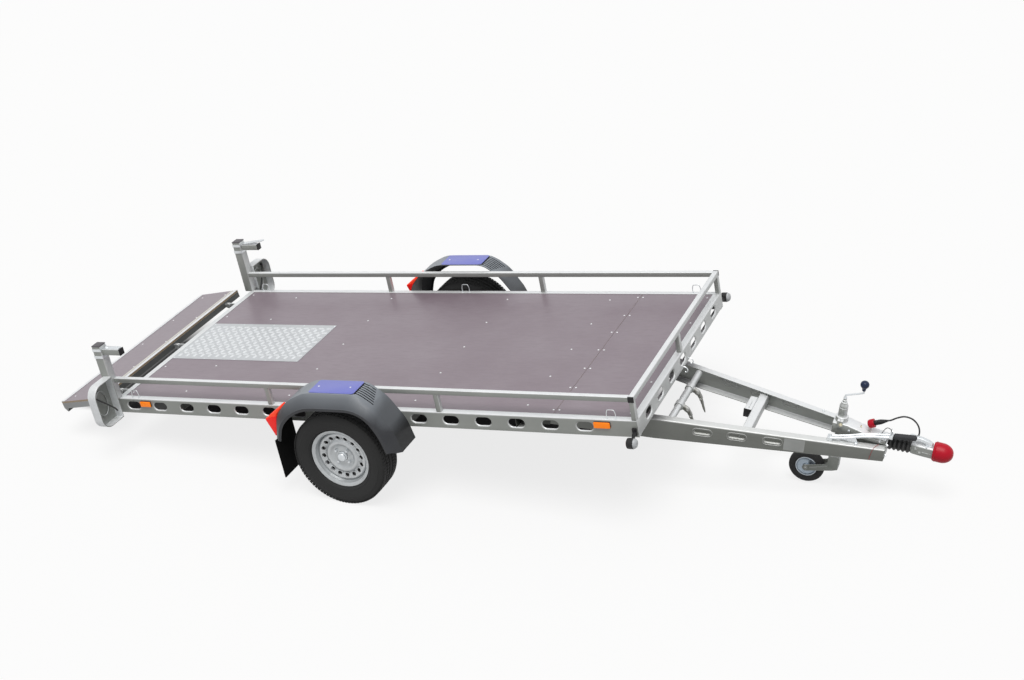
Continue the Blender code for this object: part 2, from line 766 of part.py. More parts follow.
def build_posts():
    """Rear posts with a capped arm, its keeper and two bands."""
    half = POST / 2
    wide = half + BAND_WALL
    arm_start = POST_X + half - SINK
    arm_end = POST_X + half + ARM_LENGTH
    arm_top = ARM_Z + ARM / 2
    for side, word in SIDES:
        y = side * HALF_WIDTH
        post = bar("rear_post_" + word, (POST_X - half, y - half, RAIL_TOP + GAP),
                   (POST_X + half, y + half, POST_TOP), "z", POST_EDGE, STEEL, bed)
        join(post, bar("post_arm_" + word, (arm_start, y - ARM / 2, ARM_Z - ARM / 2),
                       (arm_end, y + ARM / 2, arm_top), "x", ARM_EDGE))
        tip = (arm_end - KEEPER_HALF, y)
        outline = [(POST_X, y + KEEPER_HALF), (POST_X, y - KEEPER_HALF)] + round_end(tip, KEEPER_HALF, -90.0)
        zs = (arm_top - KEEPER_THICKNESS, arm_top + KEEPER_THICKNESS)
        join(post, prism("keeper_" + word, outline, "z", *zs))
        for number, (low, high) in enumerate(BANDS):
            join(post, bar(f"post_band_{word}_{number}", (POST_X - wide, y - wide, arm_top + low),
                           (POST_X + wide, y + wide, arm_top + high), "z", POST_EDGE))


def tray_outline(side, inset):
    """A D with two round corners outboard, beside a rear post."""
    near = HALF_WIDTH + POST / 2 + GAP
    out = near + TRAY_WIDTH - inset
    radius = TRAY_ROUND - inset
    low = TRAY_Z[0] + inset
    high = TRAY_Z[1] - inset
    points = [(near + inset, high)]
    for z, start in ((high - radius, 90.0), (low + radius, 0.0)):
        for k in range(7):
            angle = math.radians(start - 15.0 * k)
            points.append((out - radius + radius * math.cos(angle), z + radius * math.sin(angle)))
    points.append((near + inset, low))
    return [(side * y, z) for y, z in points]


def build_trays():
    """Open D-shaped trays beside the rear posts."""
    for side, word in SIDES:
        tray = prism("corner_tray_" + word, tray_outline(side, 0.0), "x", *TRAY_X, STEEL, bed)
        cut(tray, prism("tray_hollow_" + word, tray_outline(side, TRAY_WALL), "x",
                        TRAY_X[0] + TRAY_WALL, TRAY_X[1] + OVERCUT))


def build_axle():
    """Torsion axle tube with its shoes."""
    half = AXLE_TUBE / 2
    reach = ARM_IN - GAP
    tube = bar("axle_tube", (AXLE_X - half, -reach, AXLE_Z - half), (AXLE_X + half, reach, AXLE_Z + half),
               "y", 0.45 * half, STEEL, bed)
    outer = HALF_WIDTH - RAIL_FLANGE
    for side, word in SIDES:
        ys = span(side, outer - AXLE_SHOE_WIDTH, outer)
        join(tube, block("axle_shoe_" + word, (AXLE_X - AXLE_SHOE_LENGTH / 2, ys[0], AXLE_Z),
                         (AXLE_X + AXLE_SHOE_LENGTH / 2, ys[1], RAIL_BOTTOM - GAP)))


def build_swing_arms():
    """Trailing arms with their brake backplates and spindles."""
    slope = math.atan2(AXLE_Z - WHEEL_Z, AXLE_X)
    lift = Vector((-math.sin(slope), 0.0, math.cos(slope)))
    for side, word in SIDES:
        root = (AXLE_X, side * ARM_IN, AXLE_Z)
        hub = (0.0, side * ARM_IN, WHEEL_Z)
        swing = rod("swing_arm_" + word, root, (AXLE_X, side * ARM_OUT, AXLE_Z), ARM_ROOT_R, 16, STEEL, bed)
        faces = []
        for y in (side * ARM_IN, side * ARM_OUT):
            top = Vector((AXLE_X, y, AXLE_Z))
            end = Vector((0.0, y, WHEEL_Z))
            faces.append([top + ARM_HALF[0] * lift, top - ARM_HALF[0] * lift,
                          end - ARM_HALF[1] * lift, end + ARM_HALF[1] * lift])
        plate_end = side * (ARM_OUT + DRUM_WALL - 0.002)
        plate = rod("arm_plate_" + word, hub, (0.0, plate_end, WHEEL_Z), DRUM_R, 28)
        spindle = rod("spindle_" + word, hub, (0.0, side * SPINDLE_END, WHEEL_Z), SPINDLE_R, 16)
        join(swing, loft("arm_bar_" + word, faces), plate, spindle)


def tyre_profile():
    """Half the tyre's section: radius and distance from its middle plane."""
    half = TYRE_WIDTH / 2
    bead = half - RIM_INSET - 0.0065
    return [(RIM_SEAT_R + GAP, bead), (RIM_FLANGE_R + 0.001, bead), (RIM_FLANGE_R + 0.007, half - 0.010),
            (0.215, half - 0.001), (0.240, half), (0.266, half - 0.006), (0.283, half - 0.017),
            (TYRE_R - 0.0015, half * 0.55)]


def rim_profile():
    """The rim's section: radius and distance from the middle, hub, vented disc, barrel and drum in one."""
    out = RIM_OUT
    bore = SPINDLE_R + PIN_PLAY
    drum = ARM_OUT + DRUM_WALL + 0.001
    hub = ARM_OUT + DRUM_WALL + 0.004
    barrel = [(RIM_FLANGE_R, out), (RIM_FLANGE_R, out - 0.005), (RIM_SEAT_R, out - 0.0065),
              (RIM_SEAT_R, RIM_IN + 0.0065), (RIM_FLANGE_R, RIM_IN + 0.005), (RIM_FLANGE_R, RIM_IN),
              (RIM_BARREL_R, RIM_IN + 0.002), (RIM_BARREL_R, out - 0.043)]
    back = [(0.141, out - 0.032), (0.113, out - 0.043), (DRUM_R - 0.012, out - 0.048),
            (DRUM_R, out - 0.060), (DRUM_R, drum), (DRUM_R - DRUM_WALL, drum),
            (DRUM_R - DRUM_WALL, out - 0.070), (HUB_R, out - 0.070), (HUB_R, hub), (bore, hub),
            (bore, SPINDLE_END + 0.003), (0.0, SPINDLE_END + 0.003)]
    face = [(0.0, out - 0.008), (0.024, out - 0.010), (0.031, out - 0.020), (0.034, out - 0.036),
            (0.066, out - 0.038), (0.079, out - 0.026), (0.088, out - 0.0235), (0.113, out - 0.035),
            (0.141, out - 0.024), (0.157, out - 0.024), (0.161, out - 0.004), (0.172, out)]
    return barrel + back + face


def build_wheels():
    """Tyres and vented steel rims with drum hubs."""
    for side, word in SIDES:
        hub = empty("wheel_axis_" + word, bed, (0.0, 0.0, WHEEL_Z), BED_TILT)
        middle = (TYRE_IN + TYRE_OUT) / 2
        half = tyre_profile()
        section = [(r, side * (middle + a)) for r, a in half]
        section += [(TYRE_R, side * middle)] + [(r, side * (middle - a)) for r, a in reversed(half)]
        lathe("tyre_" + word, section, (0.0, 0.0, 0.0), "y", WHEEL_STEPS, RUBBER, hub)
        section = [(r, side * a) for r, a in rim_profile()]
        rim = lathe("rim_" + word, section, (0.0, 0.0, 0.0), "y", WHEEL_STEPS, RIM, hub)
        for number in range(VENTS):
            angle = 2 * math.pi * (number + 0.25) / VENTS
            x = VENT_RING_R * math.cos(angle)
            z = VENT_RING_R * math.sin(angle)
            ends = [(x, side * (RIM_OUT - depth), z) for depth in (0.050, 0.015)]
            cut(rim, rod(f"vent_{word}_{number}", *ends, VENT_R, 7))


def fender_lines(inset):
    """The shell's lines from the frame outwards, that deep inside its skin: x and z points and a reach."""
    crease = rounded(inset_line([(r[0], r[1]) for r in FENDER_RIBS], inset), CREASE_ROUND)
    lip = rounded(inset_line([(r[2], r[3]) for r in FENDER_RIBS], inset), LIP_ROUND)
    hem = rounded(inset_line([(r[2], r[3]) for r in FENDER_RIBS], FENDER_LIP), LIP_ROUND)
    shoulder = blended(crease, lip, 0.16)
    out = FENDER_OUT - inset
    return [(crease, FENDER_IN), (crease, FENDER_CREASE - FENDER_SHOULDER),
            (shoulder, FENDER_CREASE + FENDER_SHOULDER - 0.4 * inset), (lip, out), (hem, out)]


def build_fenders():
    """Moulded arches with louvres on their front slope."""
    start = Vector(FENDER_RIBS[4][:2])
    slope = Vector(FENDER_RIBS[5][:2]) - start
    along = slope.normalized()
    up = Vector((-along.y, along.x))
    for side, word in SIDES:
        outside = fender_lines(0.0)
        inside = fender_lines(FENDER_WALL)
        rings = []
        for k in range(len(outside[0][0])):
            section = [(line[k], y) for line, y in outside] + [(line[k], y) for line, y in reversed(inside)]
            rings.append([(p[0], side * y, p[1]) for p, y in section])
        fender = loft("fender_" + word, rings, BLACK, bed)
        for number in range(LOUVRES):
            middle = HALF_WIDTH + 0.030 + number * LOUVRE_PITCH
            reach = slope.length * (0.62 + 0.2 * number / LOUVRES)
            low = start + LOUVRE_START * along - LOUVRE_DEPTH * up
            corners = [low, low + reach * along, low + reach * along + OVERCUT * up, low + OVERCUT * up]
            ys = span(side, middle - LOUVRE_WIDTH / 2, middle + LOUVRE_WIDTH / 2)
            cut(fender, prism(f"louvre_{word}_{number}", [tuple(c) for c in corners], "y", *ys))


def build_flaps():
    """Mud flaps hung inside the fenders' rear walls."""
    wall = inset_line([(r[0], r[1]) for r in FENDER_RIBS[:3]], FENDER_WALL)
    (x0, z0), (x1, z1) = wall[0], wall[1]
    inner_x = x0 + (x1 - x0) * (FLAP_Z[1] - z0) / (z1 - z0) + GAP
    hem_z = FENDER_RIBS[0][1] - 0.008
    for side, word in SIDES:
        near = side * (FENDER_IN + 0.6 * FLAP_MARGIN)
        wide = side * (FENDER_OUT - FLAP_MARGIN)
        step = side * (FENDER_CREASE - FENDER_SHOULDER - GAP)
        outline = [(near, FLAP_Z[0]), (wide, FLAP_Z[0]), (wide, hem_z), (step, hem_z), (step, FLAP_Z[1]),
                   (near, FLAP_Z[1])]
        prism("mud_flap_" + word, outline, "x", inner_x, inner_x + FLAP_THICKNESS, BLACK, bed)


def build_tail_lamps():
    """Wedge lamps seated on the fenders' rear skins."""
    skin = rounded(inset_line([(r[0], r[1]) for r in FENDER_RIBS], -GAP), CREASE_ROUND)
    outline = list(LAMP_CORNERS) + stretch(skin, *LAMP_SEAT)
    count = len(outline)
    middle = sum((Vector(p) for p in outline), Vector((0.0, 0.0))) / count
    small = [tuple(Vector(p).lerp(middle, 0.09)) for p in LAMP_CORNERS] + outline[len(LAMP_CORNERS):]
    out = FENDER_CREASE - 0.002
    for side, word in SIDES:
        rings = []
        for y, line in ((out - LAMP_WIDTH, small), (out - LAMP_WIDTH + LAMP_EDGE, outline),
                        (out - LAMP_EDGE, outline), (out, small)):
            rings.append([(x, side * y, z) for x, z in line])
        loft("tail_lamp_" + word, rings, LAMP, bed)


def build_side_markers():
    """Amber markers on the side rails' webs."""
    number = 0
    zs = [RAIL_TOP - drop for drop in MARKER_DROP]
    for side, _ in SIDES:
        foot = side * (HALF_WIDTH + GAP)
        face = side * (HALF_WIDTH + GAP + MARKER_DEPTH)
        for x, length in zip(MARKER_X, MARKER_LENGTHS):
            number += 1
            rings = []
            for y, inset in ((foot, 0.0), (face - side * MARKER_EDGE, 0.0), (face, MARKER_EDGE)):
                half = length / 2 - inset
                low, high = zs[0] + inset, zs[1] - inset
                rings.append([(x - half, y, low), (x + half, y, low), (x + half, y, high), (x - half, y, high)])
            loft(f"side_marker_{number}", rings, AMBER, bed)


def build_position_lamps():
    """Position lamps on rubber arms at the front corners."""
    start = POSITION_X - 0.013
    for side, word in SIDES:
        y = HALF_WIDTH + GAP
        ys = span(side, y, y + 0.012)
        foot = bar("position_lamp_" + word, (start, ys[0], POSITION_Z - 0.004),
                   (start + 0.026, ys[1], POSITION_Z + 0.040), "x", 0.004, BLACK, bed)
        stalk = bent_rod("lamp_stalk_" + word, [(POSITION_X, side * (y + 0.006), POSITION_Z + 0.016),
                                                (POSITION_X + 0.003, side * (y + 0.035), POSITION_Z + 0.010),
                                                (POSITION_X + 0.013, side * (y + 0.070), POSITION_Z + 0.002)],
                         STALK_R)
        half = POSITION_HALF
        head = [(0.0, -half), (0.8 * POSITION_R, -half), (POSITION_R, 0.8 * -half), (POSITION_R, 0.6 * half),
                (0.9 * POSITION_R, 0.9 * half), (0.0, half)]
        centre = (POSITION_X + 0.013, side * (y + POSITION_REACH), POSITION_Z)
        join(foot, stalk, lathe("lamp_head_" + word, head, centre, "x", 16))


def build_ramp():
    """Loading ramp hinged behind the rear rail."""
    half = HALF_WIDTH
    low = RAMP_TOP - RAMP_DEPTH
    board_low = RAMP_TOP - RAMP_BOARD
    frame = block("ramp_frame", (RAMP_REAR, -half, low), (RAMP_FRONT, half, board_low - GAP), STEEL, ramp)
    for number, sign in enumerate((-1, 1)):
        ys = span(sign, RAMP_WALL, half - RAMP_WALL)
        cut(frame, block(f"ramp_hollow_{number}", (RAMP_REAR + RAMP_WALL, ys[0], low - OVERCUT),
                         (RAMP_FRONT - RAMP_WALL, ys[1], board_low - GAP - 0.75 * RAMP_WALL)))
    join(frame, prism("ramp_lip", [(RAMP_REAR + 0.001, low + 0.002), (RAMP_REAR + 0.030, low + 0.002),
                                   (RAMP_REAR + 0.022, low - RAMP_LIP), (RAMP_REAR + 0.016, low - RAMP_LIP)],
                      "y", -half, half))
    root = RAMP_FRONT - RAMP_WALL / 2
    near = LUG_THICKNESS / 2 + PIN_PLAY
    cheek = round_end((0.0, 0.0), LUG_R, -90.0) + [(root, LUG_R), (root, low + 0.001)]
    for number, y in enumerate(LUG_Y):
        for sign in (-1, 1):
            ys = sorted((y + sign * near, y + sign * (near + CHEEK_THICKNESS)))
            join(frame, prism(f"ramp_cheek_{number}_{sign}", cheek, "y", *ys))
        ends = [(0.0, y + sign * (near + CHEEK_THICKNESS / 2), 0.0) for sign in (-1, 1)]
        join(frame, rod(f"ramp_pin_{number}", *ends, RAMP_PIN_R, 12))
    block("ramp_board", (RAMP_REAR, -half, board_low), (RAMP_FRONT, half, RAMP_TOP), DECK, ramp)


def beam_half(u):
    """Distance of a beam's outer face from the middle."""
    return BEAM_HALF_REAR - BEAM_TAPER * u


def beam_bottom(u):
    """Height of a beam's lower edge."""
    if u <= BEAM_BEND:
        return BEAM_BOTTOM_REAR
    share = (u - BEAM_BEND) / (BEAM_FRONT - BEAM_BEND)
    return BEAM_BOTTOM_REAR + (BEAM_BOTTOM_FRONT - BEAM_BOTTOM_REAR) * share


def build_hinge():
    """Hinge shaft on two brackets under the bed."""
    top = BEARER_TOP - BEARER_DEPTH - GAP
    narrow, wide = BRACKET_HALF
    outline = [(HINGE_X - wide, top), (HINGE_X + wide, top), (HINGE_X + narrow, HINGE_Z - narrow),
               (HINGE_X - narrow, HINGE_Z - narrow)]
    ends = [(HINGE_X, sign * HINGE_HALF, HINGE_Z) for sign in (-1, 1)]
    shaft = rod("hinge_shaft", *ends, HINGE_R, 24, STEEL, bed)
    outer = HINGE_HALF - 0.4 * BRACKET_THICKNESS
    for side, word in SIDES:
        ys = span(side, outer - BRACKET_THICKNESS, outer)
        join(shaft, prism("hinge_bracket_" + word, outline, "y", *ys))


def build_beams():
    """Tapering channel beams with pressed slots and hinge eyes."""
    for side, word in SIDES:
        rings = []
        for u in (BEAM_REAR, BEAM_BEND, BEAM_FRONT):
            section = channel(beam_half(u), BEAM_TOP, beam_bottom(u), BEAM_WALL, BEAM_FLANGE)
            rings.append([(u, side * y, w) for y, w in section])
        beam = loft("drawbar_beam_" + word, rings, STEEL, drawbar)
        eye_out = side * (beam_half(0.0) + OVERCUT)
        eye_in = side * (beam_half(0.0) - BEAM_FLANGE)
        join(beam, rod("beam_eye_" + word, (0.0, eye_in, 0.0), (0.0, eye_out, 0.0), HINGE_EYE_R, 24))
        over = side * 2 * OVERCUT
        cut(beam, rod("beam_bore_" + word, (0.0, eye_in - over, 0.0), (0.0, eye_out + over, 0.0),
                      HINGE_R + PIN_PLAY, 24))
        for number, (middle, w) in enumerate(BEAM_SLOTS):
            outline = moved(oval(BEAM_SLOT_LENGTH, BEAM_SLOT_HEIGHT, 3), middle, w)
            faces = [[(u, side * (beam_half(u) + depth), v) for u, v in outline]
                     for depth in (-BEAM_SLOT_DEPTH, OVERCUT)]
            cut(beam, loft(f"beam_slot_{word}_{number}", faces))


def build_cross_tubes():
    """Latch tube with its two levers, and the cross member with its stub."""
    reach = beam_half(LATCH_U) - BEAM_WALL - LATCH_R * BEAM_TAPER - 3 * GAP
    ends = [(LATCH_U, sign * reach, LATCH_W) for sign in (-1, 1)]
    tube = rod("latch_tube", *ends, LATCH_R, 16, STEEL, drawbar)
    for number, y in enumerate(LATCH_Y):
        ends = [(LATCH_U, y + sign * COLLAR_HALF, LATCH_W) for sign in (-1, 1)]
        collar = rod(f"latch_collar_{number}", *ends, COLLAR_R, 16)
        route = [(LATCH_U + u, y, LATCH_W + w) for u, w, _ in LATCH_LEVER]
        lever = bent_rod(f"latch_lever_{number}", route, [radius for _, _, radius in LATCH_LEVER], 8)
        join(tube, collar, lever)
    near = [beam_half(u) - BEAM_WALL - 2 * GAP for u in CROSS_U]
    faces = []
    for sign in (-1, 1):
        faces.append([(CROSS_U[0], sign * near[0], CROSS_W[0]), (CROSS_U[1], sign * near[1], CROSS_W[0]),
                      (CROSS_U[1], sign * near[1], CROSS_W[1]), (CROSS_U[0], sign * near[0], CROSS_W[1])])
    member = loft("cross_member", faces, STEEL, drawbar)
    join(member, bar("cross_stub", (CROSS_U[0] - STUB_REACH, 0.0, CROSS_W[0] + 2 * SINK),
                     (CROSS_U[0] + SINK, STUB_LENGTH, CROSS_W[1] + SINK), "y", RAILING_EDGE))


def build_hitch_body():
    """Overrun housing between the beams, with the jockey clamp and the plug's holder."""
    leg = -JOCKEY_BACK
    side_line = [(HITCH_REAR, BEAM_TOP + GAP), (HITCH_REAR, HITCH_TOP), (leg + 0.040, HITCH_TOP),
                 (-0.118, 0.104), (-0.003, 0.092), (-0.003, BEAM_TOP + GAP)]
    body = prism("hitch_body", side_line, "y", -HITCH_HALF, HITCH_HALF, STEEL, nose)
    front = BELLOWS_U[0] - GAP
    keel = block("hitch_keel", (KEEL_REAR, -KEEL_HALF, KEEL_LOW), (front, KEEL_HALF, BEAM_TOP + 2 * SINK))
    flange = bar("hitch_flange", (GAP, -FLANGE_HALF, 0.0), (front, FLANGE_HALF, FLANGE_TOP), "x", 0.008)
    collar = rod("jockey_collar", (leg, 0.0, HITCH_TOP - SINK), (leg, 0.0, CLAMP_TOP), CLAMP_R, 20)
    ear = bar("jockey_ear", (leg - 0.016, -CLAMP_R - 0.022, HITCH_TOP - 2 * SINK),
              (leg + 0.016, -CLAMP_R + 0.010, CLAMP_TOP - SINK), "y", 0.005)
    holder = block("plug_holder", (HOLDER_U[0], -0.014, 0.095), (HOLDER_U[1], 0.014, 0.1175))
    join(body, keel, flange, collar, ear, holder)
    bore = [(leg, 0.0, w) for w in (-FLANGE_TOP, CLAMP_TOP + 4 * OVERCUT)]
    cut(body, rod("jockey_bore", *bore, JOCKEY_TUBE_R + 2 * GAP, 28))


def build_bellows():
    """Rubber bellows, its folds shrinking towards the coupling."""
    start, end = BELLOWS_U
    pitch = (end - start) / BELLOWS_FOLDS
    profile = []
    for k in range(BELLOWS_FOLDS):
        u = start + k * pitch
        radius = BELLOWS_R[0] + (BELLOWS_R[1] - BELLOWS_R[0]) * k / (BELLOWS_FOLDS - 1)
        profile += [(radius - BELLOWS_FOLD, u), (radius, u + 0.35 * pitch), (radius, u + 0.65 * pitch)]
    bore = SHAFT_R + BELLOWS_WALL
    profile += [(BELLOWS_R[1] - BELLOWS_FOLD, end), (bore, end), (bore, start)]
    lathe("bellows", profile, (0.0, 0.0, HEAD_W), "x", 16, BLACK, nose)


def build_coupling():
    """Coupling head with its ball socket, its handle and the red cap over its nose."""
    ends = [(u, 0.0, HEAD_W) for u in (BELLOWS_U[0], HEAD_SECTIONS[2][0])]
    shaft = rod("coupling_head", *ends, SHAFT_R, 24, STEEL, nose)
    rings = []
    for u, half, low, high in HEAD_SECTIONS:
        foot = 0.4 * HEAD_EDGE
        outline = [(half - foot, low), (half, low + foot), (half, high - HEAD_EDGE), (half - HEAD_EDGE, high)]
        outline += [(-y, w) for y, w in reversed(outline)]
        rings.append([(u, y, HEAD_W + w) for y, w in outline])
    join(shaft, loft("head_shell", rings))
    low = HEAD_SECTIONS[0][2]
    socket = [(SOCKET_U, 0.0, HEAD_W + w) for w in (low - 2 * OVERCUT, low + SOCKET_DEPTH)]
    cut(shaft, rod("ball_socket", *socket, SOCKET_R, 24))
    prism("coupling_handle", HANDLE, "y", -HANDLE_HALF, HANDLE_HALF, STEEL, nose)
    profile = [(radius, CAP_REAR + length) for radius, length in CAP_PROFILE]
    lathe("coupling_cap", profile, (0.0, 0.0, HEAD_W + CAP_LIFT), "x", 24, RED, nose)


def build_brake_lever():
    """Double-bar brake lever with its grip."""
    lever = bent_rod("brake_lever", BRAKE_BAR, BRAKE_BAR_R, 8, STEEL, nose)
    second = [(u, y + BRAKE_BAR_STEP, w) for u, y, w in BRAKE_BAR]
    root = block("brake_lever_root", (-0.308, -0.134, BEAM_TOP + GAP), (-0.278, -0.090, 0.082))
    tie = block("brake_lever_tie", (0.007, -0.068, 0.120), (0.028, -0.024, 0.140))
    join(lever, bent_rod("brake_lever_bar", second, BRAKE_BAR_R, 8), root, tie)
    rod("lever_grip", GRIP_START, GRIP_END, GRIP_R, 16, GRIP, nose)


def build_plug():
    """Plug parked on its holder, with its lead and the breakaway lead."""
    plug = rod("plug", *PLUG_CAP, PLUG_CAP_R, 18, BLACK, nose)
    join(plug, rod("plug_body", *PLUG_BODY, PLUG_BODY_R, 14))
    cord("plug_lead", PLUG_LEAD, PLUG_LEAD_R, 26, BLACK, nose)
    cord("breakaway_lead", BREAKAWAY_LEAD, BREAKAWAY_R, 15, BLACK, nose)


def build_jockey_tube():
    """Outer tube of the jockey wheel with its crank."""
    top = JOCKEY_TOP
    bore = JOCKEY_INNER_R + SLIDE_PLAY
    outside = [(JOCKEY_TUBE_R, JOCKEY_BOTTOM), (JOCKEY_TUBE_R, top), (0.016, top + 0.018),
               (0.009, top + 0.040), (0.0, top + 0.040)]
    profile = outside + [(0.0, top - 0.008), (bore, top - 0.008), (bore, JOCKEY_BOTTOM)]
    lathe("jockey_tube", profile, (JOCKEY_U, 0.0, 0.0), "z", 28, STEEL, drawbar)
    end = JOCKEY_U + CRANK_REACH
    bends = ((JOCKEY_U, 0.0403), (JOCKEY_U, 0.058), (JOCKEY_U + 0.010, 0.066), (end - 0.006, 0.096),
             (end + 0.001, 0.104), (end, 0.119))
    route = smooth_route([(u, 0.0, top + rise) for u, rise in bends], 14)
    crank = bent_rod("jockey_crank", route, CRANK_R, 8, STEEL, drawbar)
    low = top + 0.114
    knob = [(0.0, low), (0.010, low), (0.012, low + 0.016), (0.020, low + 0.024), (KNOB_R, low + 0.038),
            (0.020, low + 0.052), (0.0, low + 0.060)]
    join(crank, lathe("crank_knob", knob, (end, 0.0, 0.0), "z", 16))


def build_jockey_fork():
    """Sliding inner tube with the fork that trails to the jockey wheel."""
    half = JOCKEY_HALF + FORK_SIDE_GAP
    hub_u = -JOCKEY_TRAIL
    fork = rod("jockey_fork", (0.0, 0.0, 0.160), (0.0, 0.0, -0.120), JOCKEY_INNER_R, 24, STEEL, jockey)
    join(fork, prism("fork_yoke", [(-0.030, -0.100), (0.026, -0.100), (0.026, -0.180), (0.000, -0.192),
                                   (-0.030, -0.180)], "y", -half, half))
    eye = round_end((hub_u, JOCKEY_HUB_W), 0.020, 90.0, 6)
    outline = [(0.010, -0.130), (-0.040, -0.160)] + eye + [(0.010, -0.188)]
    for sign in (-1, 1):
        ys = span(sign, half - FORK_PLATE, half)
        join(fork, prism(f"fork_arm_{sign}", outline, "y", *ys))
    ends = [(hub_u, sign * (half - FORK_PLATE / 2), JOCKEY_HUB_W) for sign in (-1, 1)]
    join(fork, rod("fork_pin", *ends, JOCKEY_PIN_R, 14))


def build_jockey_wheel():
    """Rubber tyre on a small steel rim."""
    half = JOCKEY_HALF
    seat = JOCKEY_RIM_R + GAP
    tyre = [(seat, -0.7 * half), (0.072, -half), (0.090, -0.92 * half), (JOCKEY_R, -0.45 * half),
            (JOCKEY_R, 0.45 * half), (0.090, 0.92 * half), (0.072, half), (seat, 0.7 * half)]
    lathe("jockey_tyre", tyre, (0.0, 0.0, 0.0), "y", JOCKEY_STEPS, RUBBER, jockey_hub)
    bore = JOCKEY_PIN_R + PIN_PLAY
    side = [(bore, 0.024), (0.018, 0.024), (0.018, 0.006), (0.052, 0.006), (0.056, 0.018),
            (JOCKEY_RIM_R, 0.018)]
    rim = [(r, -a) for r, a in side] + [(r, a) for r, a in reversed(side)]
    lathe("jockey_rim", rim, (0.0, 0.0, 0.0), "y", JOCKEY_STEPS, RIM, jockey_hub)


def stand():
    """Puts the box's middle over the origin and the wheels on the floor."""
    bpy.context.view_layer.update()
    graph = bpy.context.evaluated_depsgraph_get()
    along = []
    for item in bpy.context.scene.objects:
        if item.type == "MESH" and not item.hide_render:
            mesh = item.evaluated_get(graph).data
            along += [(item.matrix_world @ corner.co).x for corner in mesh.vertices]
    middle_x = (min(along) + max(along)) / 2
    floor = WHEEL_Z * math.cos(BED_TILT) - TYRE_R
    trailer.location = (-middle_x, 0.0, -floor)


build_side_rails()
build_front_rail()
build_rear_rail()
build_bearers()
build_deck()
build_railing()
build_posts()
build_trays()
build_axle()
build_swing_arms()
build_wheels()
build_fenders()
build_flaps()
build_tail_lamps()
build_side_markers()
build_position_lamps()
build_ramp()
build_hinge()
build_beams()
build_cross_tubes()
build_hitch_body()
build_bellows()
build_coupling()
build_brake_lever()
build_plug()
build_jockey_tube()
build_jockey_fork()
build_jockey_wheel()
stand()
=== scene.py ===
"""Looks of the motorcycle trailer: bed, railing, fenders, wheels, ramp and drawbar, in metres."""
import logging
import math
from dataclasses import dataclass
from enum import Enum
from typing import Sequence

import bpy
from mathutils import Matrix, Vector


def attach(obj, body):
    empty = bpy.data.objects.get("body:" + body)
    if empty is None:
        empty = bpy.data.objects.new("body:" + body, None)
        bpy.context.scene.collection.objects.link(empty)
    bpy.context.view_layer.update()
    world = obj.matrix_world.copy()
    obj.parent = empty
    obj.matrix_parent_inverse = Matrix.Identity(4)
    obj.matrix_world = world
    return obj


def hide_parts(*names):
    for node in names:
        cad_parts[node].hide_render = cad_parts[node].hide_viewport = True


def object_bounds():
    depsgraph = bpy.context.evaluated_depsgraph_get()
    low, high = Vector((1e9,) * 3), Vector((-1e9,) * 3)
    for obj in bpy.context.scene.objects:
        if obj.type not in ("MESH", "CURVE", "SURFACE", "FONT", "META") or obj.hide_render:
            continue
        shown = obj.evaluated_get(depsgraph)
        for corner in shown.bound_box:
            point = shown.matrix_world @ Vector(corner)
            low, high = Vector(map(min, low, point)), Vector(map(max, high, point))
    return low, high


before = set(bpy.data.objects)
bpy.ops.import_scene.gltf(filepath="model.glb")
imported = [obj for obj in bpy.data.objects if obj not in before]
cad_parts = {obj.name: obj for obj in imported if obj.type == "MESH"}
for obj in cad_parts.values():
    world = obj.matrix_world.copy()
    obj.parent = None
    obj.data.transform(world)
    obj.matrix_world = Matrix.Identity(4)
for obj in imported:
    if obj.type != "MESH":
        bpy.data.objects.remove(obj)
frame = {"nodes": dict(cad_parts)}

CAD_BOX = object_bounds()
LOG = logging.getLogger("trailer")

Point = tuple[float, float, float]
Flat = tuple[float, float]
Colour = tuple[float, float, float]
Piece = bpy.types.Object
Socket = bpy.types.NodeSocket

ORIGIN = (0.0, 0.0, 0.0)
MIRROR = Matrix.Scale(-1.0, 4, (0.0, 1.0, 0.0))
WELD = 1e-5  # corners this close become one
FINE_WELD = 1e-6
BED_HALF = 0.785  # half the width over the side rails
BED_FRONT = 1.774  # outer face of the front rail
RAIL_TOP = 0.531
NOSE = 1.808  # where the drawbar's beams end
JOCKEY_U = 1.546  # axis of the jockey tube along the drawbar
HEAD_W = 0.066  # axis of bellows and coupling over the drawbar's plane


class Body(Enum):
    """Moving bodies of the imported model."""

    BED = "bed"
    RAMP = "ramp"
    DRAWBAR = "drawbar"
    JOCKEY_LEG = "jockey_leg"
    JOCKEY_WHEEL = "jockey_wheel"
    WHEEL_LEFT = "wheel_left"
    WHEEL_RIGHT = "wheel_right"


class Side(Enum):
    """Which side of the trailer, as the sign of its y."""

    LEFT = 1
    RIGHT = -1

    @property
    def word(self) -> str:
        """The side's word in piece names."""
        return self.name.lower()


def span(sign: int, near: float, far: float) -> list[float]:
    """Two distances from the middle as places on one side.

    Args:
        sign: 1 for the left side, -1 for the right.
        near: First distance.
        far: Second distance.

    Returns:
        The places in rising order.
    """
    return sorted((sign * near, sign * far))


class Axis(Enum):
    """A main direction of a piece's own frame."""

    X = (1.0, 0.0, 0.0)
    Y = (0.0, 1.0, 0.0)
    Z = (0.0, 0.0, 1.0)

    def lifted(self, point: Flat, along: float) -> Point:
        """Put a flat point into space.

        Args:
            point: Place in the two other axes, in their order.
            along: Place along this axis.

        Returns:
            The point in space.
        """
        first, second = point
        if self is Axis.X:
            return (along, first, second)
        if self is Axis.Y:
            return (first, along, second)
        return (first, second, along)


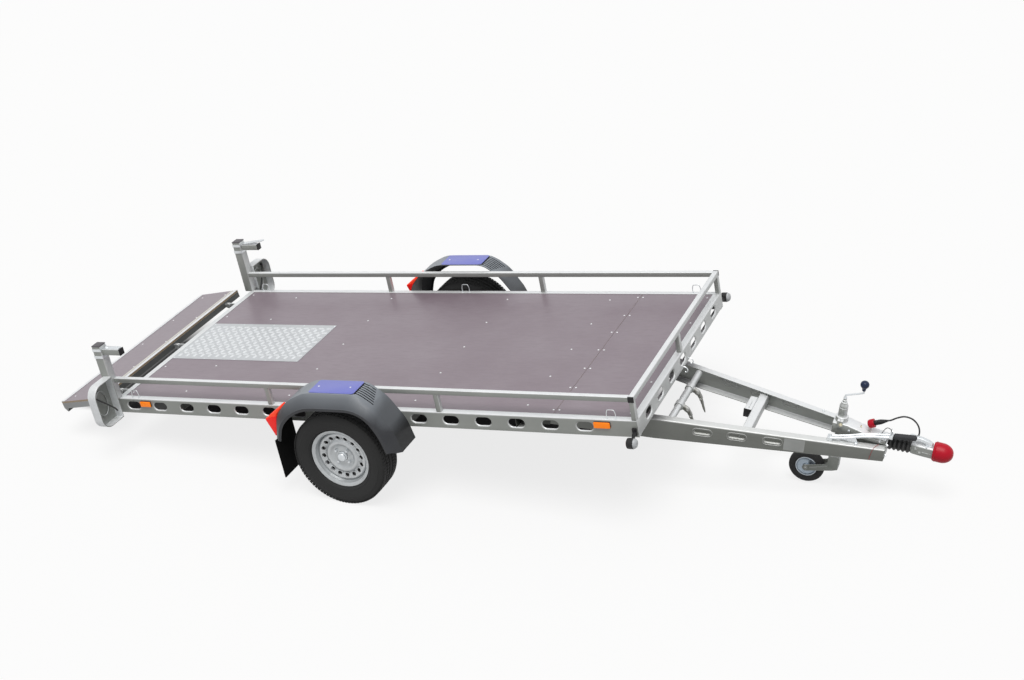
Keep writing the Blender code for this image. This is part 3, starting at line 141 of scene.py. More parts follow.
@dataclass(frozen=True)
class Stance:
    """How the trailer stands: where the bed is and how far bed, ramp and drawbar slope."""

    bed_place: Point = (-0.53141594, 0.0, 0.00178547)
    tilt: float = math.radians(6.339338)
    ramp_hinge: Point = (-1.745, 0.0, 0.485)
    ramp_slope: float = math.radians(7.0)
    drawbar_hinge: Point = (1.10, 0.0, 0.36)
    drawbar_slope: float = math.atan(0.235)
    jockey_place: Point = (JOCKEY_U, 0.0, 0.0)
    jockey_hub: Point = (-0.148, 0.0, -0.215)
    wheel_height: float = 0.292

    def bed(self) -> Matrix:
        """The bed's frame."""
        return Matrix.Translation(self.bed_place) @ Matrix.Rotation(-self.tilt, 4, "Y")

    def ramp(self) -> Matrix:
        """The ramp's frame, its origin on the hinge."""
        return self.bed() @ Matrix.Translation(self.ramp_hinge) @ Matrix.Rotation(
            -self.ramp_slope, 4, "Y")

    def drawbar(self) -> Matrix:
        """The drawbar's frame, its origin on the hinge shaft."""
        return self.bed() @ Matrix.Translation(self.drawbar_hinge) @ Matrix.Rotation(
            self.drawbar_slope, 4, "Y")

    def jockey(self) -> Matrix:
        """The jockey leg's frame, its origin on the tube's axis."""
        return self.drawbar() @ Matrix.Translation(self.jockey_place)

    def jockey_wheel(self) -> Matrix:
        """The jockey wheel's frame, its origin in the hub."""
        return self.jockey() @ Matrix.Translation(self.jockey_hub)

    def wheel(self) -> Matrix:
        """The road wheels' frame, its origin on the axle line."""
        return self.bed() @ Matrix.Translation((0.0, 0.0, self.wheel_height))


STANCE = Stance()


class Nodes:
    """A short way to write one material's nodes."""

    MIX_FIRST, MIX_SECOND, MIX_RESULT = 6, 7, 2  # the mix node's sockets for colours

    def __init__(self, name: str) -> None:
        """Start a material.

        Args:
            name: The material's name.
        """
        self.material = bpy.data.materials.new(name)
        self.material.use_nodes = True
        self.tree = self.material.node_tree
        self.shader = self.tree.nodes["Principled BSDF"]
        self.place = self.tree.nodes.new("ShaderNodeTexCoord")

    def wire(self, source: Socket | float | Sequence[float], target: Socket) -> None:
        """Link a socket, or set a plain value.

        Args:
            source: Output socket, number or list of numbers.
            target: Input socket.
        """
        if isinstance(source, bpy.types.NodeSocket):
            self.tree.links.new(source, target)
        else:
            target.default_value = source

    def mapped(
            self, scale: Point = (1.0, 1.0, 1.0), turn: Point = ORIGIN,
            output: str = "Object") -> Socket:
        """Object coordinates, turned and stretched.

        Args:
            scale: Stretch along each axis.
            turn: Rotation in radians.
            output: Output of the coordinate node.

        Returns:
            The vector socket.
        """
        node = self.tree.nodes.new("ShaderNodeMapping")
        node.inputs["Scale"].default_value = scale
        node.inputs["Rotation"].default_value = turn
        self.tree.links.new(self.place.outputs[output], node.inputs["Vector"])
        return node.outputs["Vector"]

    def textured(self, kind: str, at: Socket | None, **inputs: float) -> bpy.types.Node:
        """Add a texture.

        Args:
            kind: Its kind, as its node type ends.
            at: Coordinates, or none for plain object coordinates.
            inputs: Values of its inputs by name.

        Returns:
            The node.
        """
        node = self.tree.nodes.new("ShaderNodeTex" + kind)
        for name, value in inputs.items():
            node.inputs[name].default_value = value
        self.tree.links.new(at or self.place.outputs["Object"], node.inputs["Vector"])
        return node

    def noise(
            self, scale: float, detail: float = 3.0, rough: float = 0.5,
            at: Socket | None = None) -> Socket:
        """Cloudy noise.

        Args:
            scale: Clouds per metre.
            detail: Octaves.
            rough: Share of the finer octaves.
            at: Coordinates, or none for plain object coordinates.

        Returns:
            The value socket.
        """
        return self.textured(
            "Noise", at, Scale=scale, Detail=detail, Roughness=rough).outputs["Fac"]

    def cells(self, scale: float, output: str = "Color", at: Socket | None = None) -> Socket:
        """Random cells.

        Args:
            scale: Cells per metre.
            output: Color or Distance.
            at: Coordinates, or none for plain object coordinates.

        Returns:
            The chosen socket.
        """
        return self.textured("Voronoi", at, Scale=scale).outputs[output]

    def bands(self, scale: float, along: str, at: Socket | None = None) -> Socket:
        """Even bands.

        Args:
            scale: Bands per metre, in Blender's own measure.
            along: Axis that the bands follow each other along.
            at: Coordinates, or none for plain object coordinates.

        Returns:
            The value socket.
        """
        node = self.textured("Wave", at, Scale=scale)
        node.bands_direction = along
        return node.outputs["Fac"]

    def ranged(
            self, value: Socket, low: float, high: float, start: float = 0.0,
            end: float = 1.0) -> Socket:
        """Stretch a value's range.

        Args:
            value: The value.
            low: Value that becomes start.
            high: Value that becomes end.
            start: First result.
            end: Last result.

        Returns:
            The new value socket.
        """
        node = self.tree.nodes.new("ShaderNodeMapRange")
        for name, number in (
                ("From Min", low), ("From Max", high), ("To Min", start), ("To Max", end)):
            node.inputs[name].default_value = number
        self.tree.links.new(value, node.inputs["Value"])
        return node.outputs["Result"]

    def sums(self, kind: str, first: Socket | float, second: Socket | float = 0.0) -> Socket:
        """One sum.

        Args:
            kind: Name of the operation.
            first: First value.
            second: Second value.

        Returns:
            The result socket.
        """
        node = self.tree.nodes.new("ShaderNodeMath")
        node.operation = kind
        self.wire(first, node.inputs[0])
        self.wire(second, node.inputs[1])
        return node.outputs[0]

    def mixed(self, share: Socket | float, first: Socket | Colour, second: Socket | Colour,
              blend: str = "MIX") -> Socket:
        """Mix two colours.

        Args:
            share: Share of the second.
            first: First colour.
            second: Second colour.
            blend: How the second lies on the first.

        Returns:
            The colour socket.
        """
        node = self.tree.nodes.new("ShaderNodeMix")
        node.data_type = "RGBA"
        node.blend_type = blend
        self.wire(share, node.inputs["Factor"])
        for value, target in ((first, self.MIX_FIRST), (second, self.MIX_SECOND)):
            self.wire(self.opaque(value), node.inputs[target])
        return node.outputs[self.MIX_RESULT]

    @staticmethod
    def opaque(colour: Socket | Colour) -> Socket | tuple[float, ...]:
        """A colour with full alpha, or its socket."""
        return colour if isinstance(colour, bpy.types.NodeSocket) else (*colour, 1.0)

    def part(self, vector: Socket, axis: str) -> Socket:
        """One number of a vector.

        Args:
            vector: The vector socket.
            axis: X, Y or Z.

        Returns:
            The value socket.
        """
        node = self.tree.nodes.new("ShaderNodeSeparateXYZ")
        self.tree.links.new(vector, node.inputs[0])
        return node.outputs[axis]

    def worn(self, low: float = 0.515, high: float = 0.56) -> Socket:
        """How far a spot is on an outer edge.

        Args:
            low: Pointiness with no wear.
            high: Pointiness with full wear.

        Returns:
            The value socket.
        """
        node = self.tree.nodes.new("ShaderNodeNewGeometry")
        return self.ranged(node.outputs["Pointiness"], low, high)

    def bumped(
            self, height: Socket, strength: float, depth: float,
            under: Socket | None = None) -> Socket:
        """Turn a height into a bump.

        Args:
            height: The height.
            strength: Share of the bump.
            depth: Depth in metres.
            under: Bump that this one lies on.

        Returns:
            The normal socket.
        """
        node = self.tree.nodes.new("ShaderNodeBump")
        node.inputs["Strength"].default_value = strength
        node.inputs["Distance"].default_value = depth
        self.tree.links.new(height, node.inputs["Height"])
        if under:
            self.tree.links.new(under, node.inputs["Normal"])
        return node.outputs["Normal"]

    def finish(self, colour: Socket | Colour, rough: Socket | float, normal: Socket | None = None,
               **sockets: float) -> bpy.types.Material:
        """Set the shader.

        Args:
            colour: Base colour.
            rough: Roughness.
            normal: Normal.
            sockets: Other sockets by name, spaces as underscores.

        Returns:
            The material.
        """
        self.wire(self.opaque(colour), self.shader.inputs["Base Color"])
        self.wire(rough, self.shader.inputs["Roughness"])
        if normal:
            self.wire(normal, self.shader.inputs["Normal"])
        for name, value in sockets.items():
            self.shader.inputs[name.replace("_", " ")].default_value = value
        return self.material


@dataclass(frozen=True)
class Zinc:
    """Hot-dip galvanised steel: spangle, dull clouds and run marks, with painted shade on faces
    that look sideways or ahead and upward faces kept bright.
    """

    name: str
    colour: Colour
    dull: Colour
    metallic: float = 0.26
    rough: float = 0.40
    spangle: float = 95.0
    # flank and fore: brightness left on faces that look sideways and ahead, a painted shade
    flank: float = 0.40
    fore: float = 0.72

    def make(self) -> bpy.types.Material:
        """Make the material."""
        n = Nodes(self.name)
        turned = n.mapped(turn=(0.0, STANCE.tilt, 0.0))
        facing = n.mapped(output="Normal")
        flower = n.part(n.cells(self.spangle, "Color", turned), "X")
        cloud = n.noise(4.5, 4.0, 0.6, turned)
        runs = n.noise(14.0, 3.0, 0.55, n.mapped(scale=(1.0, 1.0, 0.18)))
        shade = n.sums("ADD", n.ranged(cloud, 0.35, 0.68), n.ranged(runs, 0.5, 0.8, 0.0, 0.45))
        base = n.mixed(n.sums("MULTIPLY", shade, 0.62), self.colour, self.dull)
        bright = tuple(min(1.0, c * 1.13) for c in self.colour)
        base = n.mixed(n.ranged(flower, 0.0, 1.0, 0.0, 0.34), base, bright)
        base = n.mixed(n.sums("MULTIPLY", n.worn(), 0.5), base, (0.80, 0.81, 0.82))
        # Painted shade: faces that look sideways or ahead are darkened to an olive grey, and faces
        # that look up stay bright.
        least = min(self.flank, self.fore)
        painted_light_level = n.ranged(n.part(facing, "X"), 0.2, 0.8, self.flank, self.fore)
        upward = n.ranged(n.part(facing, "Z"), 0.15, 0.8)
        rest = n.sums("SUBTRACT", 1.0, painted_light_level)
        painted_light_level = n.sums("ADD", painted_light_level, n.sums("MULTIPLY", upward, rest))
        dark = n.mixed(1.0, base, (least * 0.98, least, least * 0.93), "MULTIPLY")
        base = n.mixed(n.ranged(painted_light_level, least, 1.0), dark, base)
        gloss = n.sums("ADD", n.ranged(flower, 0.0, 1.0, self.rough - 0.07, self.rough + 0.07),
                       n.ranged(cloud, 0.3, 0.7, 0.0, 0.10))
        fine = n.bumped(n.noise(260.0, 2.0), 0.10, 0.0005)
        soft = n.bumped(flower, 0.10, 0.0004, fine)
        return n.finish(base, gloss, soft, Metallic=self.metallic)


@dataclass(frozen=True)
class Plated:
    """Bright or painted metal with fine scratches and grime."""

    name: str
    colour: Colour
    grime: Colour
    metallic: float = 0.85
    rough: float = 0.28

    def make(self) -> bpy.types.Material:
        """Make the material."""
        n = Nodes(self.name)
        cloud = n.noise(18.0, 4.0, 0.6)
        scratch = n.noise(60.0, 3.0, 0.6, n.mapped(scale=(1.0, 9.0, 1.0), turn=(0.3, 0.5, 0.9)))
        base = n.mixed(n.ranged(cloud, 0.48, 0.75, 0.0, 0.5), self.colour, self.grime)
        base = n.mixed(n.ranged(scratch, 0.62, 0.8, 0.0, 0.35), base, (0.82, 0.83, 0.84))
        base = n.mixed(n.sums("MULTIPLY", n.worn(), 0.35), base, (0.84, 0.85, 0.86))
        gloss = n.ranged(
            n.sums("ADD", cloud, scratch), 0.7, 1.4, self.rough - 0.06, self.rough + 0.16)
        return n.finish(base, gloss, n.bumped(scratch, 0.08, 0.0003), Metallic=self.metallic)


@dataclass(frozen=True)
class Moulded:
    """Moulded plastic or rubber with a fine grain, dust and pale edges and, where roof is set, a
    painted sky sheen on faces that look up and painted shade on faces that look ahead.
    """

    name: str
    colour: Colour
    dust: Colour
    rough: float = 0.5
    grain: float = 900.0
    depth: float = 0.0003
    dusty: float = 0.35
    coat: float = 0.0
    shine: float = 0.5
    roof: float = 0.0  # how far faces that look up take the sky's tint
    sky_tint: Colour = (0.44, 0.48, 0.53)
    fore_shade: float = 0.75
    fore_tint: Colour = (0.012, 0.012, 0.012)

    def make(self) -> bpy.types.Material:
        """Make the material."""
        n = Nodes(self.name)
        cloud = n.noise(9.0, 4.0, 0.65)
        speck = n.noise(140.0, 2.0, 0.6)
        base = n.mixed(n.ranged(cloud, 0.42, 0.72, 0.0, self.dusty), self.colour, self.dust)
        base = n.mixed(n.ranged(speck, 0.60, 0.78, 0.0, 0.22), base, self.dust)
        base = n.mixed(n.sums("MULTIPLY", n.worn(), 0.30), base, self.dust)
        # Painted sky sheen on faces that look up and painted shade on faces that look ahead.
        if self.roof:
            facing = n.mapped(output="Normal")
            up = n.ranged(n.part(facing, "Z"), 0.40, 1.0, 0.0, self.roof)
            ahead = n.ranged(n.part(facing, "X"), 0.62, 0.98, 0.0, self.fore_shade)
            base = n.mixed(ahead, n.mixed(up, base, self.sky_tint), self.fore_tint)
        gloss = n.ranged(cloud, 0.3, 0.7, self.rough - 0.06, self.rough + 0.10)
        grain = n.bumped(n.cells(self.grain, "Distance"), 0.35, self.depth)
        return n.finish(base, gloss, grain, Coat_Weight=self.coat, Coat_Roughness=0.15,
                        Specular_IOR_Level=self.shine)


@dataclass(frozen=True)
class Lens:
    """A moulded lamp lens with flutes behind its skin."""

    name: str
    colour: Colour
    deep: Colour
    flutes: float = 60.0
    along: str = "Y"
    clear: float = 0.0
    glow: float = 0.34

    def make(self) -> bpy.types.Material:
        """Make the material."""
        n = Nodes(self.name)
        ribs = n.bands(self.flutes, self.along, n.mapped(turn=(0.0, STANCE.tilt, 0.0)))
        cloud = n.noise(40.0, 2.0)
        base = n.mixed(n.ranged(ribs, 0.0, 1.0, 0.0, 0.55), self.colour, self.deep)
        base = n.mixed(n.ranged(cloud, 0.55, 0.8, 0.0, 0.2), base, self.colour)
        gloss = n.ranged(cloud, 0.3, 0.7, 0.18, 0.30)
        return n.finish(base, gloss, n.bumped(ribs, 0.35, 0.0008),
                        Coat_Weight=0.12, Coat_Roughness=0.06, Specular_IOR_Level=0.25,
                        Emission_Color=(*self.colour, 1.0), Emission_Strength=self.glow,
                        Transmission_Weight=self.clear)


@dataclass(frozen=True)
class Filmed:
    """Film-faced plywood: brown film with scuffs and painted sheen above, pale veneers on the
    edges.
    """

    name: str
    colour: Colour
    scuff_and_sheen: Colour
    veneer: Colour = (0.46, 0.36, 0.24)
    core: Colour = (0.24, 0.16, 0.10)

    def make(self) -> bpy.types.Material:
        """Make the material."""
        n = Nodes(self.name)
        turned = n.mapped(turn=(0.0, STANCE.tilt, 0.0))
        grain = n.noise(60.0, 5.0, 0.7, n.mapped(scale=(0.18, 1.0, 1.0)))
        cloud = n.noise(2.2, 5.0, 0.62)
        marks = n.noise(30.0, 4.0, 0.7, n.mapped(scale=(0.10, 1.0, 1.0), turn=(0.0, 0.0, 0.25)))
        # Lighter clouds: scuffs, and partly a painted sheen.
        base = n.mixed(n.ranged(cloud, 0.34, 0.68, 0.0, 0.55), self.colour, self.scuff_and_sheen)
        base = n.mixed(
            n.ranged(grain, 0.45, 0.75, 0.0, 0.35), base, tuple(c * 0.72 for c in self.colour))
        base = n.mixed(n.ranged(marks, 0.62, 0.74, 0.0, 0.30), base, (0.33, 0.30, 0.31))
        plies = n.ranged(n.bands(110.0, "Z", turned), 0.3, 0.7)
        side = n.mixed(plies, self.veneer, self.core)
        upright = n.sums(
            "ABSOLUTE", n.part(n.mapped(turn=(0.0, STANCE.tilt, 0.0), output="Normal"), "Z"))
        base = n.mixed(n.ranged(upright, 0.55, 0.75), side, base)
        gloss = n.sums(
            "ADD", n.ranged(cloud, 0.3, 0.7, 0.30, 0.42), n.ranged(marks, 0.6, 0.75, 0.0, 0.15))
        weave = n.bumped(n.cells(420.0, "Distance"), 0.12, 0.0002)
        return n.finish(
            base, gloss, n.bumped(grain, 0.06, 0.0004, weave), Coat_Weight=0.15,
            Coat_Roughness=0.25)


class Finish(Enum):
    """Every finish on the trailer, with the record's material slot."""

    GALVANISED = (Zinc("galvanised", (0.90, 0.92, 0.94), (0.70, 0.72, 0.73)), "galvanised_steel")
    # The tray's faces that look ahead, into its open front, take painted shade (fore).
    TRAY = (
        Zinc(
            "galvanised_tray", (0.84, 0.86, 0.88), (0.52, 0.54, 0.53), metallic=0.22, rough=0.42,
            flank=1.0, fore=0.36),
        "galvanised_steel")
    # A darker, shaded copy of the galvanised finish for the parts under the bed: painted shade.
    UNDER = (
        Zinc(
            "galvanised_under_shaded", (0.44, 0.45, 0.44), (0.28, 0.28, 0.26), metallic=0.25, rough=0.55,
            flank=0.14, fore=0.14),
        "galvanised_steel")
    # Faces that look ahead, into the gap between ramp and bed, are painted nearly black: painted
    # shade.
    RAMP_SIDE = (
        Zinc("galvanised_ramp", (0.80, 0.82, 0.83), (0.58, 0.60, 0.60), rough=0.42, fore=0.05),
        "galvanised_steel")
    # A darker, shaded copy of the galvanised finish for the far drawbar beam: painted shade.
    BEAM = (
        Zinc(
            "galvanised_web_shaded", (0.70, 0.71, 0.69), (0.52, 0.52, 0.49), metallic=0.35, rough=0.46,
            flank=0.26, fore=0.6),
        "galvanised_steel")
    CAST = (Zinc("cast_zinc", (0.40, 0.42, 0.41), (0.26, 0.27, 0.25), metallic=0.45, rough=0.50,
                 spangle=260.0), "galvanised_steel")
    LEVER = (Zinc("cast_lever", (0.30, 0.29, 0.26), (0.17, 0.16, 0.14), metallic=0.40, rough=0.48,
                  spangle=300.0), "galvanised_steel")
    BRIGHT_ZINC = (
        Plated("bright_zinc", (0.68, 0.71, 0.73), (0.42, 0.45, 0.46), metallic=0.8, rough=0.30),
        "galvanised_steel")
    YELLOW_ZINC = (
        Plated("yellow_zinc", (0.58, 0.50, 0.27), (0.42, 0.38, 0.24), metallic=0.75, rough=0.34),
        "galvanised_steel")
    EDGE_STRIP = (
        Plated("edge_strip", (0.62, 0.58, 0.49), (0.45, 0.42, 0.35), metallic=0.35, rough=0.45),
        "galvanised_steel")
    TREAD = (
        Plated("tread_alloy", (0.46, 0.48, 0.50), (0.36, 0.38, 0.40), metallic=0.40, rough=0.42),
        "tread_aluminium")
    LUG = (Plated("tread_lug", (0.86, 0.88, 0.90), (0.74, 0.76, 0.78), metallic=0.35, rough=0.38),
           "tread_aluminium")
    RIM = (
        Plated("rim_silver", (0.52, 0.54, 0.55), (0.32, 0.33, 0.34), metallic=0.50, rough=0.34),
        "silver_rim")
    JOCKEY_RIM = (
        Plated("jockey_rim_zinc", (0.36, 0.42, 0.48), (0.22, 0.26, 0.30), metallic=0.6, rough=0.30),
        "silver_rim")
    DRUM = (
        Moulded("drum_iron", (0.020, 0.018, 0.017), (0.07, 0.06, 0.05), rough=0.62, grain=500.0),
        "silver_rim")
    FILM = (Filmed("brown_film", (0.232, 0.180, 0.211), (0.325, 0.280, 0.312)), "brown_plywood")
    FENDER = (
        Moulded(
            "fender_plastic", (0.015, 0.016, 0.020), (0.040, 0.043, 0.049), rough=0.42, roof=0.62),
        "black_plastic")
    CAPS = (
        Moulded("cap_plastic", (0.006, 0.006, 0.007), (0.035, 0.035, 0.035), rough=0.45, shine=0.3),
        "black_plastic")
    POST_TOP = (
        Moulded("post_cap_plastic", (0.075, 0.068, 0.075), (0.13, 0.12, 0.13)), "black_plastic")
    FLAP = (
        Moulded(
            "flap_rubber", (0.003, 0.003, 0.003), (0.010, 0.010, 0.010), rough=0.85, grain=500.0,
            shine=0.12),
        "black_plastic")
    BELLOWS = (Moulded("bellows_rubber", (0.008, 0.008, 0.009), (0.045, 0.043, 0.04), grain=800.0),
               "black_plastic")
    CABLE = (
        Moulded(
            "cable_sheath", (0.014, 0.014, 0.015), (0.055, 0.055, 0.055), rough=0.45, grain=1200.0,
            depth=0.0002),
        "black_plastic")
    KNOB = (
        Moulded(
            "knob_plastic", (0.004, 0.015, 0.052), (0.02, 0.04, 0.09), rough=0.36, depth=0.0001,
            dusty=0.2, coat=0.1, shine=0.3),
        "black_plastic")
    BLUE_PLATE = (
        Moulded(
            "plate_blue", (0.155, 0.175, 0.60), (0.26, 0.28, 0.66), rough=0.36, depth=0.0001,
            coat=0.1),
        "black_plastic")
    STICKER = (
        Moulded(
            "bare_sticker", (0.46, 0.47, 0.46), (0.30, 0.31, 0.30), rough=0.42, grain=700.0,
            depth=0.0001, dusty=0.6),
        "black_plastic")
    TYRE = (
        Moulded(
            "tyre_rubber", (0.011, 0.011, 0.012), (0.036, 0.035, 0.033), rough=0.70, grain=700.0,
            dusty=0.40, shine=0.22),
        "tyre_rubber")
    GRIP = (
        Moulded(
            "grip_rubber", (0.028, 0.030, 0.034), (0.075, 0.075, 0.078), rough=0.58, grain=1100.0,
            shine=0.3),
        "grey_grip")
    RED = (Moulded("cap_red", (0.50, 0.003, 0.019), (0.54, 0.012, 0.028), rough=0.42, depth=0.0001,
                   dusty=0.25, shine=0.28), "red_plastic")
    RED_WIRE = (Moulded("red_wire", (0.42, 0.03, 0.03), (0.45, 0.10, 0.09), rough=0.4, grain=1500.0,
                        depth=0.0001), "red_plastic")
    LENS_RED = (Lens("lens_red", (0.86, 0.014, 0.010), (0.62, 0.004, 0.003)), "red_lamp")
    LENS_ORANGE = (Lens("lens_orange", (0.98, 0.060, 0.016), (0.80, 0.022, 0.008)), "red_lamp")
    LENS_CLEAR = (
        Lens(
            "lens_clear", (0.72, 0.74, 0.76), (0.52, 0.54, 0.57), flutes=90.0, clear=0.25,
            glow=0.0),
        "red_lamp")
    LENS_AMBER = (Lens("lens_amber", (0.98, 0.230, 0.004), (0.84, 0.150, 0.002)), "amber_lamp")

    def __init__(self, surface: Zinc | Plated | Moulded | Lens | Filmed, slot: str) -> None:
        """Keep the surface and its slot.

        Args:
            surface: The surface that makes the material.
            slot: The record's material slot.
        """
        self.surface = surface
        self.slot = slot

    def material(self) -> bpy.types.Material:
        """The finish's material, made on first use."""
        known = bpy.data.materials.get(self.surface.name)
        return known or self.surface.make()


class Bench:
    """Hand moves in the mesh editor, shared by every sub-assembly."""

    @staticmethod
    def clear() -> None:
        """Leave edit mode with nothing selected."""
        if bpy.context.object and bpy.context.object.mode != "OBJECT":
            bpy.ops.object.mode_set(mode="OBJECT")
        bpy.ops.object.select_all(action="DESELECT")

    @staticmethod
    def take(piece: Piece) -> Piece:
        """Make a piece the only one selected."""
        Bench.clear()
        piece.select_set(True)
        bpy.context.view_layer.objects.active = piece
        return piece

    @staticmethod
    def edit(piece: Piece, kind: str = "VERT") -> None:
        """Open a piece for editing, all of it selected.

        Args:
            piece: The piece.
            kind: VERT, EDGE or FACE.
        """
        Bench.take(piece)
        bpy.ops.object.mode_set(mode="EDIT")
        bpy.ops.mesh.select_mode(type=kind)
        bpy.ops.mesh.select_all(action="SELECT")

    @staticmethod
    def done() -> None:
        """Close the edit."""
        bpy.ops.object.mode_set(mode="OBJECT")

    @staticmethod
    def chain(name: str, points: Sequence[Point]) -> Piece:
        """Draw a line of edges by extruding one corner from place to place.

        Args:
            name: The piece's name.
            points: Places of the corners.

        Returns:
            The piece.
        """
        Bench.clear()
        bpy.ops.mesh.primitive_plane_add(size=0.01, location=ORIGIN)
        piece = bpy.context.object
        piece.name = name
        bpy.ops.object.mode_set(mode="EDIT")
        bpy.ops.mesh.select_mode(type="VERT")
        bpy.ops.mesh.select_all(action="SELECT")
        bpy.ops.mesh.merge(type="CENTER")
        bpy.ops.transform.translate(value=points[0])
        for before, here in zip(points, points[1:]):
            step = Vector(here) - Vector(before)
            bpy.ops.mesh.extrude_region_move(TRANSFORM_OT_translate={"value": step})
        bpy.ops.object.mode_set(mode="OBJECT")
        return piece

    @staticmethod
    def box(name: str, low: Point, high: Point, edge: float = 0.0, segments: int = 2) -> Piece:
        """A block with rounded edges.

        Args:
            name: The piece's name.
            low: Lowest corner.
            high: Highest corner.
            edge: Radius of the edges.
            segments: Steps of the rounding.

        Returns:
            The piece.
        """
        Bench.clear()
        size = tuple(b - a for a, b in zip(low, high))
        middle = tuple((a + b) / 2 for a, b in zip(low, high))
        bpy.ops.mesh.primitive_cube_add(size=1.0, location=middle)
        piece = bpy.context.object
        piece.name = name
        bpy.ops.transform.resize(value=size)
        bpy.ops.object.transform_apply(location=True, rotation=True, scale=True)
        if edge:
            Bench.bevel(piece, edge, segments)
        return piece

    @staticmethod
    def plate(
            name: str, outline: Sequence[Flat], axis: Axis, low: float, high: float,
            edge: float = 0.0, segments: int = 2) -> Piece:
        """A flat outline drawn out along an axis.

        Args:
            name: The piece's name.
            outline: Corners in the two other axes.
            axis: Direction it is drawn out along.
            low: First place along the axis.
            high: Last place along the axis.
            edge: Radius of the edges.
            segments: Steps of the rounding.

        Returns:
            The piece.
        """
        piece = Bench.chain(name, [axis.lifted(point, low) for point in outline])
        Bench.edit(piece)
        bpy.ops.mesh.edge_face_add()
        bpy.ops.mesh.extrude_region_move(
            TRANSFORM_OT_translate={"value": Vector(axis.value) * (high - low)})
        bpy.ops.mesh.select_all(action="SELECT")
        bpy.ops.mesh.normals_make_consistent(inside=False)
        Bench.done()
        if edge:
            Bench.bevel(piece, edge, segments)
        return piece

    @staticmethod
    def turned(
            name: str, profile: Sequence[Flat], axis: Axis, centre: Point, steps: int,
            closed: bool = False) -> Piece:
        """A profile spun about an axis.

        Args:
            name: The piece's name.
            profile: Pairs of radius and place along the axis.
            axis: The axis.
            centre: A point on the axis.
            steps: Steps of the full turn.
            closed: Whether the profile's last point joins its first.

        Returns:
            The piece.
        """
        spots = {
            Axis.X: lambda r, a: (a, 0.0, r), Axis.Y: lambda r, a: (r, a, 0.0), Axis.Z: lambda r,
            a: (r, 0.0, a)}
        points = [Vector(spots[axis](radius, along)) + Vector(centre) for radius, along in profile]
        if closed:
            points.append(points[0])
        piece = Bench.chain(name, points)
        Bench.edit(piece)
        bpy.ops.mesh.spin(steps=steps, angle=math.tau, center=centre, axis=axis.value)
        bpy.ops.mesh.select_all(action="SELECT")
        bpy.ops.mesh.remove_doubles(threshold=FINE_WELD)
        bpy.ops.mesh.normals_make_consistent(inside=False)
        Bench.done()
        return piece

    @staticmethod
    def tube(name: str, points: Sequence[Point], radius: float, sides: int = 4) -> Piece:
        """A round bar along a line, with closed ends.

        Args:
            name: The piece's name.
            points: The line.
            radius: Radius of the bar.
            sides: Half the number of sides, less two.

        Returns:
            The piece.
        """
        return Bench.tapered(name, points, [radius] * len(points), sides)

    @staticmethod
    def rivet(name: str = "rivet") -> Piece:
        """One flat dome rivet about the origin."""
        profile = [(0.0, 0.0022), (0.0028, 0.0020), (0.0048, 0.0013), (0.0058, 0.0004),
                   (0.0058, -0.0002), (0.0, -0.0002)]
        return Bench.turned(name, profile, Axis.Z, ORIGIN, 14)

    @staticmethod
    def bolt(place: Point, axis: Axis, radius: float = 0.0065, out: float = 1.0) -> Piece:
        """A hexagon bolt head on its washer.

        Args:
            place: Middle of the washer's foot.
            axis: Direction of the bolt.
            radius: Radius over the head's corners.
            out: 1 where the head points along the axis, -1 where it points against it.

        Returns:
            The piece.
        """
        head = [(0.0, 1.20), (0.74, 1.20), (1.0, 1.02), (1.0, 0.22), (0.0, 0.22)]
        washer = [(0.0, 0.28), (1.36, 0.25), (1.42, 0.16), (1.42, -0.05), (0.0, -0.05)]
        parts = []
        for name, line, steps in (("bolt_head", head, 6), ("washer", washer, 24)):
            start = Vector(place).dot(Vector(axis.value))
            foot = Vector(place) - start * Vector(axis.value)
            parts.append(
                Bench.turned(
                    name, [(r * radius, start + out * a * radius) for r, a in line], axis, foot,
                    steps))
        return Bench.joined("bolt", parts)

    @staticmethod
    def tapered(
            name: str, points: Sequence[Point], radii: Sequence[float], sides: int = 4) -> Piece:
        """A bar along a line whose radius changes from point to point, with closed ends.

        Args:
            name: The piece's name.
            points: The line.
            radii: Radius at each point.
            sides: Half the number of sides, less two.

        Returns:
            The piece.
        """
        piece = Bench.take(Bench.chain(name, points))
        bpy.ops.object.convert(target="CURVE")
        piece = bpy.context.object
        line = piece.data.splines[0].points
        forward = (line[0].co.xyz - Vector(points[0])).length < 1e-5
        for spot, radius in zip(line, radii if forward else list(radii)[::-1]):
            spot.radius = radius * 100.0
        piece.data.bevel_depth = 0.01
        piece.data.bevel_resolution = sides
        piece.data.use_fill_caps = True
        bpy.ops.object.convert(target="MESH")
        piece = bpy.context.object
        Bench.edit(piece)
        bpy.ops.mesh.remove_doubles(threshold=FINE_WELD)
        bpy.ops.mesh.normals_make_consistent(inside=False)
        Bench.done()
        return piece

    @staticmethod
    def curve(points: Sequence[Point], count: int) -> list[Point]:
        """Points of a smooth curve through a few places.

        Args:
            points: The places.
            count: Number of points.

        Returns:
            The points.
        """
        knots = [Vector(p) for p in points]
        knots = [2 * knots[0] - knots[1]] + knots + [2 * knots[-1] - knots[-2]]
        spans = len(knots) - 3
        out = []
        for k in range(count):
            t = k * spans / (count - 1)
            i = min(int(t), spans - 1)
            f = t - i
            a, b, c, d = knots[i:i + 4]
            spot = 2 * b + (c - a) * f + (
                2 * a - 5 * b + 4 * c - d) * f * f + (3 * b - a - 3 * c + d) * f ** 3
            out.append(tuple(0.5 * spot))
        return out

